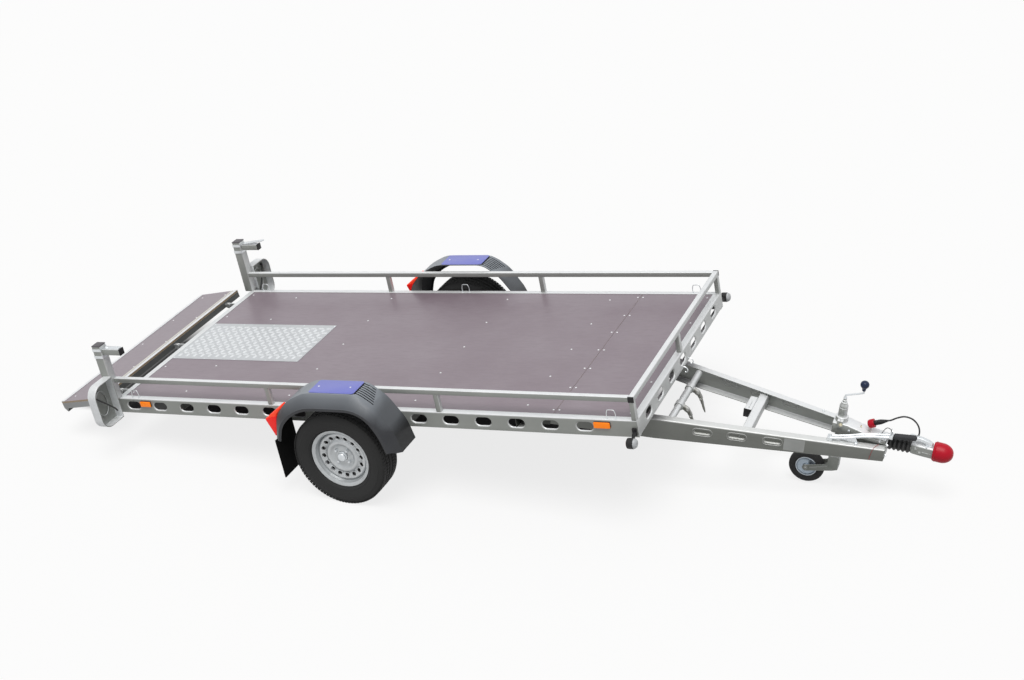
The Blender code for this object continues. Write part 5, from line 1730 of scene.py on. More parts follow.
@dataclass
class RearPosts(Assembly):
    """Rear posts with capped arms, clamp plates and D trays."""

    half: float = BED_HALF
    post: float = 0.060
    x: float = -1.650
    foot: float = 0.5313
    top: float = 0.905
    arm: float = 0.040
    arm_end: float = -1.485
    arm_z: float = 0.860
    tray_rear: float = -1.662
    tray_front: float = -1.602
    tray_out: float = 1.000
    tray_low: float = 0.420
    tray_high: float = 0.700
    tray_round: float = 0.075
    tray_wall: float = 0.003
    cap_skin: float = 0.0008
    leaf_half: float = 0.0175
    far_leaf_tilt: float = math.radians(-7.0)
    far_leaf_length: float = 1.45
    stud: tuple[Flat, ...] = (
        (0.0, 0.0125), (0.006, 0.012), (0.0085, 0.009), (0.0095, 0.0058), (0.0, 0.0058))

    def column(self, side: Side) -> None:
        """One post with its arm.

        Args:
            side: Which side.
        """
        y = side.value * self.half
        r = self.post / 2
        post = Bench.box(
            "column", (self.x - r, y - r, self.foot), (self.x + r, y + r, self.top - 0.003), 0.005,
            4)
        a = self.arm / 2
        arm = Bench.box(
            "arm", (self.x + r - 0.004, y - a, self.arm_z - a),
            (self.arm_end, y + a, self.arm_z + a), 0.0035, 3)
        self.hand_over(Bench.joined("post_" + side.word + "_dress", [post, arm]), Finish.GALVANISED,
                       ["rear_post_" + side.word])
        wide = r + self.cap_skin
        cap = Bench.box("cap", (self.x - wide, y - wide, self.top - 0.007),
                        (self.x + wide, y + wide, self.top), 0.0022, 3)
        wide = a + self.cap_skin
        end = Bench.box("end", (self.arm_end - 0.005, y - wide, self.arm_z - wide),
                        (self.arm_end + 0.0025, y + wide, self.arm_z + wide), 0.0018, 3)
        self.hand_over(cap, Finish.POST_TOP).name = "post_top_" + side.word
        end.name = "post_arm_end_" + side.word
        self.hand_over(end, Finish.CAPS)

    def paddle(self, side: Side) -> None:
        """The flat keeper on the arm and the band round the post.

        Args:
            side: Which side.
        """
        y = side.value * self.half
        z = self.arm_z + self.arm / 2
        root, tip, wide = self.x + 0.030, self.arm_end - 0.020, self.leaf_half
        outline = [(root, y - wide), (tip, y - wide), *Bench.arc((tip, y), wide, -75.0, 150.0, 10),
                   (root, y + wide)]
        leaf = Bench.plate("leaf", outline, Axis.Z, z + 0.0003, z + 0.0058, 0.0012)
        bolt = Bench.turned("bolt", self.stud, Axis.Z, (self.arm_end - 0.030, y, z), 6)
        if side is Side.LEFT:
            hinge = Matrix.Translation((self.x + 0.032, 0.0, z + 0.004))
            raised = Matrix.Rotation(self.far_leaf_tilt, 4, "Y")
            longer = Matrix.Scale(self.far_leaf_length, 4, (1.0, 0.0, 0.0))
            Bench.set_in(leaf, hinge @ raised @ longer @ hinge.inverted())
        nut = Bench.turned("nut", self.stud, Axis.Z, (self.x + 0.055, y, z), 6)
        r = self.post / 2 + 0.0015
        band = []
        for low, high in ((z - 0.058, z - 0.040), (z - 0.012, z + 0.006)):
            ring, bore = (
                Bench.rounded((self.x - wide, y - wide), (self.x + wide, y + wide), corner)
                for wide, corner in ((r + 0.0015, 0.006), (r - 0.001, 0.005)))
            outer = Bench.plate("band", ring, Axis.Z, low, high)
            band.append(
                Bench.cut(outer, Bench.plate("band_tool", bore, Axis.Z, low - 0.01, high + 0.01)))
        piece = Bench.joined("post_keeper_" + side.word, [leaf, bolt, nut, *band])
        self.hand_over(piece, Finish.BRIGHT_ZINC)

    def d_line(self, inset: float) -> list[Flat]:
        """The tray's outline for the left side.

        Args:
            inset: Distance inside the outer skin.

        Returns:
            Corners as y and z.
        """
        near = self.half + self.post / 2 + 0.0003 + inset
        out, low, high = self.tray_out - inset, self.tray_low + inset, self.tray_high - inset
        radius = self.tray_round - inset
        return [(near, high), *Bench.arc((out - radius, high - radius), radius, 90.0, -90.0, 10),
                *Bench.arc((out - radius, low + radius), radius, 0.0, -90.0, 10), (near, low)]

    def tray(self, side: Side) -> None:
        """One D tray, open to the front, with a rolled rim and a strap across it.

        Args:
            side: Which side.
        """
        shell = Bench.plate("tray", self.d_line(0.0), Axis.X, self.tray_rear, self.tray_front)
        Bench.cut(
            shell,
            Bench.plate(
                "tray_tool", self.d_line(self.tray_wall), Axis.X, self.tray_rear + self.tray_wall,
                self.tray_front + 0.02))
        Bench.bevel(shell, 0.0022, 3, 40.0)
        rim = [(self.tray_front - 0.002, y, z) for y, z in self.d_line(0.004)]
        lip = Bench.tube("lip", rim, 0.0030, 3)
        ring = []
        for k in range(25):
            angle = math.radians(15 * k)
            ring.append(
                (
                    self.tray_rear + 0.010, 0.905 + 0.048 * math.cos(angle),
                    0.560 + 0.080 * math.sin(angle)))
        bead = Bench.tube("bead", ring, 0.004, 3)
        piece = Bench.joined("tray_" + side.word + "_dress", [shell, lip, bead])
        cable = [(self.tray_rear + 0.014, 0.975, 0.640), (self.tray_rear + 0.026, 0.940, 0.600),
                 (self.tray_rear + 0.036, 0.890, 0.545), (self.tray_rear + 0.040, 0.850, 0.500),
                 (self.tray_rear + 0.036, 0.828, 0.470)]
        strap = Bench.tube("tray_strap_" + side.word, Bench.curve(cable, 24), 0.0050, 3)
        stud = Bench.turned(
            "stud", [(0.0, 0.012), (0.006, 0.0115), (0.0085, 0.008), (0.0085, 0.0), (0.0, 0.0)],
            Axis.X, (self.tray_rear + 0.0035, 0.975, 0.640), 12)
        strap = Bench.joined("tray_strap_" + side.word, [strap, stud])
        if side is Side.RIGHT:
            Bench.set_in(piece, MIRROR)
            Bench.set_in(strap, MIRROR)
        self.hand_over(piece, Finish.TRAY, ["corner_tray_" + side.word], 45.0)
        self.hand_over(strap, Finish.CABLE)

    def build(self) -> None:
        """Build both corners."""
        for side in Side:
            self.column(side)
            self.paddle(side)
            self.tray(side)


@dataclass
class Markers(Assembly):
    """Amber side markers and the front position lamps."""

    half: float = BED_HALF
    places: tuple[Flat, ...] = ((-1.466, -1.387), (1.529, 1.624))
    low: float = 0.481
    high: float = 0.519

    def marker(self, side: Side, start: float, end: float, number: int) -> None:
        """One amber marker: a black foot and a domed lens.

        Args:
            side: Which side.
            start: Its first x.
            end: Its last x.
            number: Its number.
        """
        s = side.value
        ys = span(s, self.half + 0.0004, self.half + 0.0040)
        foot = Bench.plate(
            "foot", Bench.rounded((start, self.low), (end, self.high), 0.006), Axis.Y, *ys, 0.0008)
        name = f"side_marker_{side.word}_{number}"
        foot.name = name + "_foot"
        self.hand_over(foot, Finish.CAPS)
        ys = span(s, self.half + 0.0035, self.half + 0.0115)
        lens = Bench.plate(
            name,
            Bench.rounded(
                (start + 0.0015, self.low + 0.0015), (end - 0.0015, self.high - 0.0015), 0.0055),
            Axis.Y, *ys, 0.0030, 4)
        first = 1 if side is Side.LEFT else 3
        self.hand_over(lens, Finish.LENS_AMBER, [f"side_marker_{first + number}"])

    def position_lamp(self, side: Side) -> None:
        """One position lamp: a rubber arm and a round head, clear in front and red behind.

        Args:
            side: Which side.
        """
        s = side.value
        y = s * (self.half + 0.0006)
        foot = Bench.box(
            "foot", (1.742, min(y, y + s * 0.011), 0.446), (1.768, max(y, y + s * 0.011), 0.490),
            0.003, 3)
        line = [
            (1.755, y + s * 0.005, 0.468), (1.757, y + s * 0.022, 0.466),
            (1.760, y + s * 0.045, 0.458), (1.766, y + s * 0.072, 0.452)]
        arm = Bench.tube("arm", Bench.curve(line, 14), 0.0095, 4)
        centre = (0.0, y + s * 0.090, 0.450)
        body = [
            (0.0, 1.7395), (0.020, 1.7395), (0.0275, 1.7435), (0.029, 1.748), (0.029, 1.778),
            (0.0, 1.778)]
        head = Bench.turned("head", body, Axis.X, centre, 32)
        ridge = ((0.0288, 1.756), (0.0298, 1.758), (0.0288, 1.760), (0.028, 1.758))
        rings = [
            Bench.turned("ridge", [(r, a + k * 0.007) for r, a in ridge], Axis.X, centre, 32, True)
            for k in range(3)]
        piece = Bench.joined("position_lamp_" + side.word + "_dress", [foot, arm, head, *rings])
        self.hand_over(piece, Finish.CAPS, ["position_lamp_" + side.word])
        glass = [
            (0.0, 1.7975), (0.010, 1.7968), (0.019, 1.7935), (0.0250, 1.7875), (0.0272, 1.780),
            (0.0272, 1.776), (0.0, 1.776)]
        lens = Bench.turned("position_glass_" + side.word, glass, Axis.X, centre, 32)
        self.hand_over(lens, Finish.LENS_CLEAR)
        rear = [(0.0, 1.7382), (0.0175, 1.7382), (0.0195, 1.7400), (0.0, 1.7402)]
        self.hand_over(
            Bench.turned("position_rear_" + side.word, rear, Axis.X, centre, 24), Finish.LENS_RED)

    def build(self) -> None:
        """Build the lamps."""
        for side in Side:
            for number, (start, end) in enumerate(self.places):
                self.marker(side, start, end, number)
            self.position_lamp(side)


@dataclass
class Fenders(Assembly):
    """Moulded arches with louvres, bare blue plates, flaps and wedge lamps."""

    half: float = 0.7853
    crease: float = 0.945
    out: float = 1.000
    skin: float = 0.004
    hem: float = 0.022
    top: float = 0.713
    crease_line: tuple[Flat, ...] = (
        (-0.392, 0.425), (-0.358, 0.560), (-0.262, 0.655), (-0.135, 0.713), (0.200, 0.713),
        (0.305, 0.632), (0.398, 0.485), (0.425, 0.362))
    lip_line: tuple[Flat, ...] = (
        (-0.352, 0.425), (-0.318, 0.530), (-0.235, 0.605), (-0.125, 0.652), (0.190, 0.652),
        (0.285, 0.598), (0.345, 0.490), (0.372, 0.380))
    louvres: int = 7
    louvre_y: float = 0.806
    louvre_pitch: float = 0.0185
    plate_x: Flat = (-0.105, 0.190)
    plate_y: Flat = (0.791, 0.938)
    lamp_y: Flat = (0.866, 0.942)

    @staticmethod
    def inset(points: Sequence[Flat], depth: float) -> list[Flat]:
        """A line moved to its right-hand side.

        Args:
            points: The line.
            depth: Distance.

        Returns:
            The moved line.
        """
        out = []
        for i, point in enumerate(points):
            before = Vector(points[max(i - 1, 0)])
            after = Vector(points[min(i + 1, len(points) - 1)])
            normals = []
            for a, b in ((before, Vector(point)), (Vector(point), after)):
                if a != b:
                    d = (b - a).normalized()
                    normals.append(Vector((d.y, -d.x)))
            mean = sum(normals, Vector((0.0, 0.0))) / len(normals)
            out.append(tuple(Vector(point) + depth * mean / mean.length_squared))
        return out

    @staticmethod
    def rounded_line(points: Sequence[Flat], reach: float, steps: int = 4) -> list[Flat]:
        """A line with its corners cut round.

        Args:
            points: The line.
            reach: How far from a corner the rounding starts.
            steps: Steps of each rounding.

        Returns:
            The rounded line.
        """
        out = [points[0]]
        for before, here, after in zip(points, points[1:], points[2:]):
            corner = Vector(here)
            start = corner.lerp(Vector(before), min(0.45, reach / (corner - Vector(before)).length))
            end = corner.lerp(Vector(after), min(0.45, reach / (corner - Vector(after)).length))
            for k in range(steps + 1):
                t = k / steps
                spot = start * (1 - t) ** 2 + corner * 2 * t * (1 - t) + end * t * t
                out.append(tuple(spot))
        return out + [points[-1]]

    def arch(self, side: Side) -> None:
        """One arch as a bridged sheet with a thickness.

        Args:
            side: Which side.
        """
        mid = self.skin / 2
        crease = self.rounded_line(self.inset(self.crease_line, mid), 0.045)
        lip = self.rounded_line(self.inset(self.lip_line, mid), 0.070)
        hem = self.rounded_line(self.inset(self.lip_line, self.hem), 0.060)
        near, out = self.half + 0.0002, self.out - mid
        drop = [
            ((c[0] + 0.42 * (l[0] - c[0])), (c[1] + 0.30 * (l[1] - c[1])))
            for c, l in zip(crease, lip)]
        lines = [
            [(x, near, z) for x, z in crease], [(x, self.crease - 0.016, z) for x, z in crease],
            [(x, self.crease - 0.001, z - 0.001) for x, z in crease],
            [(x, self.crease + 0.024, z) for x, z in drop], [(x, out - 0.003, z) for x, z in lip],
            [(x, out, z) for x, z in self.inset(lip, 0.004)], [(x, out, z) for x, z in hem]]
        piece = Bench.skinned("fender_" + side.word + "_dress", lines)
        Bench.apply(piece, "SOLIDIFY", thickness=self.skin, offset=0.0)
        (high_x, high_z), (low_x, low_z) = self.crease_line[4:6]
        slope = math.atan2(high_z - low_z, low_x - high_x)
        reach = math.hypot(low_x - high_x, high_z - low_z)
        down = Matrix.Rotation(slope, 4, "Y")
        start = Matrix.Translation(
            (high_x - 0.010 * math.cos(slope), 0.0, high_z + 0.010 * math.sin(slope)))
        tools = []
        for k in range(self.louvres):
            y = self.louvre_y + k * self.louvre_pitch
            length = reach * (0.62 + 0.34 * k / (self.louvres - 1))
            tool = Bench.box(
                "louvre", (0.0, y - 0.0036, -0.03), (length, y + 0.0036, 0.03), 0.0012, 2)
            tools.append(Bench.set_in(tool, start @ down))
        Bench.cut(piece, Bench.joined("louvre_tools", tools))
        # A black sheet under the louvres so that they show dark: painted shade.
        back = Bench.box(
            "louvre_back_" + side.word, (-0.006, 0.800, -0.0120), (reach * 0.99, 0.927, -0.0085))
        Bench.set_in(back, Matrix.Translation((high_x, 0.0, high_z)) @ down)
        if side is Side.RIGHT:
            Bench.set_in(piece, MIRROR)
            Bench.set_in(back, MIRROR)
        self.hand_over(piece, Finish.FENDER, ["fender_" + side.word], 28.0)
        self.hand_over(back, Finish.FLAP)

    def blue_plate(self, side: Side) -> None:
        """The bare blue plate and its rivets.

        Args:
            side: Which side.
        """
        ys = span(side.value, *self.plate_y)
        outline = Bench.rounded((self.plate_x[0], ys[0]), (self.plate_x[1], ys[1]), 0.016)
        plate = Bench.plate(
            "blue_plate_" + side.word, outline, Axis.Z, self.top + 0.0003, self.top + 0.0018,
            0.0005)
        self.hand_over(plate, Finish.BLUE_PLATE)
        profile = [(0.0, 0.0030), (0.0030, 0.0026), (0.0050, 0.0012), (0.0054, 0.0), (0.0, 0.0)]
        rivets = [
            Bench.turned("rivet", profile, Axis.Z, (x, side.value * 0.865, self.top + 0.0017), 14)
            for x in (-0.072, 0.135)]
        self.hand_over(Bench.joined("plate_rivets_" + side.word, rivets), Finish.LUG)

    def lamp(self, side: Side) -> None:
        """The wedge lamp: a red lens below and an orange one above.

        Args:
            side: Which side.
        """
        low = Vector(self.crease_line[0]).lerp(Vector(self.crease_line[1]), 0.06)
        knee = Vector(self.crease_line[1])
        high = knee.lerp(Vector(self.crease_line[2]), 0.36)
        outer = [
            (high.x - 0.0004, high.y + 0.0004), (-0.3320, 0.608), (-0.446, 0.528), (-0.402, 0.415),
            (low.x - 0.0004, low.y), (knee.x - 0.0004, knee.y + 0.0004)]
        ys = span(side.value, *self.lamp_y)
        body = Bench.plate("lamp_lens", outer, Axis.Y, *ys, 0.0065, 4)
        for name, finish, lower in (("tail_lens_low_", Finish.LENS_RED, True),
                                    ("tail_lens_high_", Finish.LENS_ORANGE, False)):
            lens = Bench.copy(body, ORIGIN)
            Bench.edit(lens)
            gap = -0.0006 if lower else 0.0006
            bpy.ops.mesh.bisect(plane_co=(-0.446, 0.0, 0.528 + gap), plane_no=(-0.28, 0.0, 0.96),
                                use_fill=True, clear_inner=not lower, clear_outer=lower)
            Bench.done()
            lens.name = name + side.word
            replaced = ["tail_lamp_" + side.word] if lower else []
            self.hand_over(lens, finish, replaced, 40.0)
        bpy.data.objects.remove(body, do_unlink=True)

    def build(self) -> None:
        """Build both fenders."""
        for side in Side:
            self.arch(side)
            self.blue_plate(side)
            self.lamp(side)
            self.paint(Finish.FLAP, "mud_flap_" + side.word)


@dataclass
class RoadWheel(Assembly):
    """A tyre with tread blocks on a vented steel rim, about the axle line."""

    side: Side = Side.LEFT
    inner: float = 0.800
    outer: float = 0.965
    radius: float = 0.292
    rim_out: float = 0.947
    rim_in: float = 0.818
    flange_r: float = 0.1825
    seat_r: float = 0.166
    drum_r: float = 0.105
    vents: int = 16
    vent_ring: float = 0.1235
    vent_r: float = 0.0132
    blocks: int = 88
    bolts: int = 4
    bolt_ring: float = 0.049

    def tyre(self) -> None:
        """The tyre with its ribs and blocks."""
        mid, half = (self.inner + self.outer) / 2, (self.outer - self.inner) / 2
        base = self.radius - 0.0030
        side_line = [
            (self.seat_r + 0.0004, half - 0.0255), (self.flange_r + 0.001, half - 0.0255),
            (self.flange_r + 0.004, half - 0.0180), (self.flange_r + 0.0075, half - 0.0100),
            (0.1970, half - 0.0062), (0.1985, half - 0.0048), (0.2005, half - 0.0048),
            (0.2020, half - 0.0058), (0.215, half - 0.0022), (0.228, half - 0.0004), (0.240, half),
            (0.246, half - 0.0002), (0.2475, half), (0.2495, half), (0.251, half - 0.0012),
            (0.262, half - 0.0048), (0.274, half - 0.0085), (0.2830, half - 0.0120),
            (0.2868, half - 0.0150), (base, half - 0.0205)]
        for groove in (0.68, 0.40, 0.13):
            middle, wide = half * groove, 0.0045
            side_line += [
                (base - 0.0008, middle + wide), (base - 0.0020, middle),
                (base - 0.0008, middle - wide)]
        profile = side_line + [(r, -a) for r, a in reversed(side_line)]
        carcass = Bench.turned(
            "carcass", [(r, mid + a) for r, a in profile], Axis.Y, ORIGIN, 96, True)
        pieces = [carcass]
        step = math.tau / self.blocks
        for start, end, skew, share in ((0.545, 0.895, 0.30, 0.86), (0.275, 0.500, -0.35, 0.88),
                                        (-0.115, 0.115, 0.0, 1.0), (-0.500, -0.275, 0.35, 0.88),
                                        (-0.895, -0.545, -0.30, 0.86)):
            if share == 1.0:
                rib = [
                    (base - 0.002, start * half), (self.radius - 0.0004, start * half + 0.0008),
                    (self.radius, 0.0), (self.radius - 0.0004, end * half - 0.0008),
                    (base - 0.002, end * half)]
                pieces.append(
                    Bench.turned("rib", [(r, mid + a) for r, a in rib], Axis.Y, ORIGIN, 96, True))
                continue
            long = step * share * self.radius
            drop = 0.0016 if abs(start + end) > 1.2 else 0.0003
            block = Bench.box("block", (-long / 2, start * half, base - 0.004),
                              (long / 2, end * half, self.radius - drop))
            Bench.edit(block, "FACE")
            bpy.ops.mesh.bevel(offset=0.0009, segments=1, affect="EDGES")
            Bench.done()
            shear = Matrix.Identity(4)
            shear[0][1] = skew
            Bench.set_in(block, Matrix.Translation((0.0, mid, 0.0)) @ shear)
            pieces.append(Bench.ringed(block, self.blocks))
        tyre = Bench.joined("tyre_" + self.side.word + "_dress", pieces)
        self.mirrored(tyre)
        self.hand_over(tyre, Finish.TYRE, ["tyre_" + self.side.word], 32.0)

    def mirrored(self, piece: Piece) -> None:
        """Turn a left-hand piece over for the right side.

        Args:
            piece: The piece.
        """
        if self.side is Side.RIGHT:
            Bench.set_in(piece, MIRROR)

    def rim(self) -> None:
        """Barrel and vented disc, with a pressed eye round each vent."""
        o, i = self.rim_out, self.rim_in
        barrel = [
            (self.flange_r, o - 0.0008), (self.flange_r - 0.0010, o), (self.flange_r - 0.0040, o),
            (0.1720, o - 0.0016), (0.1670, o - 0.0050), (0.1630, o - 0.0070), (0.1600, o - 0.0260),
            (0.1540, o - 0.0330), (0.1525, o - 0.0420), (0.1500, o - 0.0480), (0.1440, o - 0.0520),
            (0.1440, o - 0.0820), (0.1530, o - 0.0900), (0.1600, i + 0.0080), (0.1720, i + 0.0016),
            (self.flange_r - 0.0010, i), (self.flange_r, i + 0.0008), (self.flange_r, i + 0.0045),
            (0.1690, i + 0.0062), (self.seat_r, i + 0.0085), (0.1630, i + 0.0200),
            (0.1480, o - 0.0860), (0.1480, o - 0.0540), (0.1630, o - 0.0330),
            (self.seat_r, o - 0.0085), (0.1690, o - 0.0062), (self.flange_r, o - 0.0045)]
        pieces = [Bench.turned("barrel", barrel, Axis.Y, ORIGIN, 96, True)]
        face = [
            (0.1535, o - 0.0450), (0.1520, o - 0.0330), (0.1480, o - 0.0270), (0.1420, o - 0.0240),
            (0.1330, o - 0.0250), (0.1230, o - 0.0300), (0.1130, o - 0.0360), (0.1060, o - 0.0350),
            (0.1000, o - 0.0300), (0.0930, o - 0.0240), (0.0860, o - 0.0230), (0.0790, o - 0.0260),
            (0.0720, o - 0.0330), (0.0640, o - 0.0380), (0.0520, o - 0.0385), (0.0440, o - 0.0360),
            (0.0360, o - 0.0345), (0.0320, o - 0.0350)]
        back = [(r, a - 0.0034) for r, a in reversed(face)]
        disc = Bench.turned("disc", face + back, Axis.Y, ORIGIN, 96, True)
        vent = Bench.turned(
            "vent",
            [(0.0, o - 0.07), (self.vent_r, o - 0.07), (self.vent_r, o + 0.01), (0.0, o + 0.01)],
            Axis.Y, (self.vent_ring, 0.0, 0.0), 18)
        Bench.cut(disc, Bench.ringed(vent, self.vents))
        pieces.append(disc)
        eye = [
            (self.vent_r + wide, o - deep)
            for wide, deep in (
                (0.0002, 0.0318), (0.0022, 0.0300), (0.0044, 0.0312), (0.0030, 0.0340),
                (0.0002, 0.0340))]
        ring = Bench.turned("eye", eye, Axis.Y, (self.vent_ring, 0.0, 0.0), 18, True)
        pieces.append(Bench.ringed(ring, self.vents))
        rim = Bench.joined("rim_" + self.side.word + "_dress", pieces)
        self.mirrored(rim)
        self.hand_over(rim, Finish.RIM, ["rim_" + self.side.word], 38.0)

    def hub(self) -> None:
        """Dust cap, wheel bolts, and the drum with its shield."""
        o = self.rim_out
        cap = [
            (0.0, o - 0.0080), (0.0140, o - 0.0084), (0.0225, o - 0.0105), (0.0265, o - 0.0150),
            (0.0275, o - 0.0220), (0.0300, o - 0.0240), (0.0305, o - 0.0400), (0.0, o - 0.0400)]
        pieces = [Bench.turned("dust_cap", cap, Axis.Y, ORIGIN, 40)]
        boss = [
            (0.0, 0.0), (0.0080, 0.0), (0.0095, 0.0015), (0.0095, 0.0090), (0.0080, 0.0140),
            (0.0060, 0.0160), (0.0, 0.0162)]
        for k in range(self.bolts):
            angle = math.tau * (k + 0.5) / self.bolts
            ring = self.bolt_ring
            centre = (ring * math.cos(angle), o - 0.0385, ring * math.sin(angle))
            pieces.append(Bench.turned("bolt", boss, Axis.Y, centre, 6))
        hub = Bench.joined("hub_" + self.side.word, pieces)
        self.mirrored(hub)
        self.hand_over(hub, Finish.BRIGHT_ZINC)
        drum = [
            (self.drum_r - 0.003, o - 0.0480), (self.drum_r, o - 0.0520), (self.drum_r, 0.7870),
            (0.0970, 0.7850), (0.0970, o - 0.0700), (0.0420, o - 0.0700), (0.0420, 0.7900),
            (0.0200, 0.7900), (0.0200, o - 0.0420), (0.0880, o - 0.0420)]
        shield = [
            (0.1000, o - 0.0800), (0.1425, o - 0.0800), (0.1425, o - 0.0816), (0.1000, o - 0.0816)]
        piece = Bench.joined("drum_" + self.side.word, [
            Bench.turned("drum", drum, Axis.Y, ORIGIN, 64, True),
            Bench.turned("shield", shield, Axis.Y, ORIGIN, 64, True)])
        self.mirrored(piece)
        self.hand_over(piece, Finish.DRUM)

    def build(self) -> None:
        """Build the wheel."""
        self.tyre()
        self.rim()
        self.hub()


@dataclass
class Ramp(Assembly):
    """Loading ramp: plywood on a pressed frame with edge strips and rivets."""

    half: float = BED_HALF
    rear: float = -0.352
    front: float = -0.020
    top: float = 0.045

    def trim(self) -> None:
        """Edge strips round the board."""
        flat = [(self.front + u, self.top + w) for u, w in (
            (-0.030, 0.0003), (-0.0008, 0.0003), (-0.0008, 0.0013), (-0.030, 0.0013))]
        strip = Bench.plate("strip", flat, Axis.Y, -self.half, self.half, 0.0003, 1)
        angle = [
            (self.rear + u, self.top + w)
            for u, w in (
                (0.022, 0.0003), (0.022, 0.0022), (-0.0025, 0.0022), (-0.0025, -0.044),
                (-0.0004, -0.044), (-0.0004, 0.0003))]
        rear = Bench.plate("rear", angle, Axis.Y, -self.half, self.half, 0.0005, 1)
        self.hand_over(Bench.joined("ramp_trim", [strip, rear]), Finish.GALVANISED)
        edge = Bench.box(
            "ramp_edge_strip", (self.front - 0.052, -self.half + 0.004, self.top + 0.0003),
            (self.front - 0.033, self.half - 0.004, self.top + 0.0022), 0.0006, 1)
        self.hand_over(edge, Finish.EDGE_STRIP)

    def rivets(self) -> None:
        """Rivets along the board's edges."""
        spots = [
            (x, y, self.top) for x in (-0.290, -0.085) for y in (-0.72, -0.36, 0.0, 0.36, 0.72)]
        spots += [
            (-0.040, y, self.top + 0.0012) for y in (-0.74, -0.5, -0.25, 0.0, 0.25, 0.5, 0.74)]
        self.hand_over(Bench.joined("ramp_rivets", Bench.copies(Bench.rivet(), spots)), Finish.LUG)

    def build(self) -> None:
        """Build the ramp."""
        self.paint(Finish.FILM, "ramp_board")
        # The ramp frame's faces that look ahead, into the gap, are painted nearly black: painted
        # shade.
        self.paint(Finish.RAMP_SIDE, "ramp_frame")
        SlottedFrame.round_off("ramp_frame", 0.0012)
        self.trim()
        self.rivets()


@dataclass
class Cords(Assembly):
    """The plug's lead and the thin breakaway lead, each held by the drawbar at both ends."""

    nose: float = NOSE
    count: int = 72
    lead_radius: float = 0.0045
    lead: tuple[Point, ...] = ((0.0048, 0.066, 0.030), (0.037, 0.066, 0.030), (0.087, 0.066, 0.036),
                               (0.130, 0.062, 0.070), (0.150, 0.052, 0.120), (0.140, 0.034, 0.180),
                               (0.107, 0.014, 0.226), (0.064, 0.004, 0.238), (0.027, 0.001, 0.222),
                               (-0.002, 0.0, 0.2000), (-0.0176, 0.0, 0.1922))
    thin_radius: float = 0.002
    thin: tuple[Point, ...] = (
        (-0.036, -0.030, 0.0962), (-0.034, -0.030, 0.128), (-0.016, -0.033, 0.164),
        (0.004, -0.039, 0.168), (0.0165, -0.043, 0.156), (0.018, -0.044, 0.1404))

    def cord(self, name: str, places: Sequence[Point], radius: float) -> None:
        """One cord along its route.

        Args:
            name: The CAD node it stands for.
            places: Places of its route, from the nose.
            radius: Its radius.
        """
        route = Bench.curve([(u + self.nose, y, w) for u, y, w in places], self.count)
        piece = self.hand_over(
            Bench.tube(name + "_dress", route, radius, 4), Finish.CABLE, [name], 60.0)

    def glands(self) -> None:
        """Rubber gland of the lead and the two ferrules of the thin one."""
        u, y, w = self.lead[0]
        profile = [
            (0.0, -0.0005), (0.0105, -0.0005), (0.0115, 0.0010), (0.0115, 0.0045), (0.0100, 0.0060),
            (0.0082, 0.0062), (0.0070, 0.0130), (0.0056, 0.0215), (0.0048, 0.0225), (0.0, 0.0225)]
        gland = Bench.turned(
            "lead_gland", [(r, u + self.nose + a) for r, a in profile], Axis.X, (0.0, y, w), 28)
        self.hand_over(gland, Finish.CAPS)
        u, y, w = self.thin[0]
        ferrule = [
            (0.0, -0.002), (0.0055, -0.002), (0.0062, -0.001), (0.0062, 0.005), (0.0040, 0.0065),
            (0.0034, 0.0140), (0.0026, 0.0150), (0.0, 0.0150)]
        foot = Bench.turned(
            "lead_foot", [(r, w + a) for r, a in ferrule], Axis.Z, (u + self.nose, y, 0.0), 20)
        self.hand_over(foot, Finish.BRIGHT_ZINC)

    def build(self) -> None:
        """Build the cords."""
        self.cord("plug_lead", self.lead, self.lead_radius)
        self.cord("breakaway_lead", self.thin, self.thin_radius)
        self.glands()


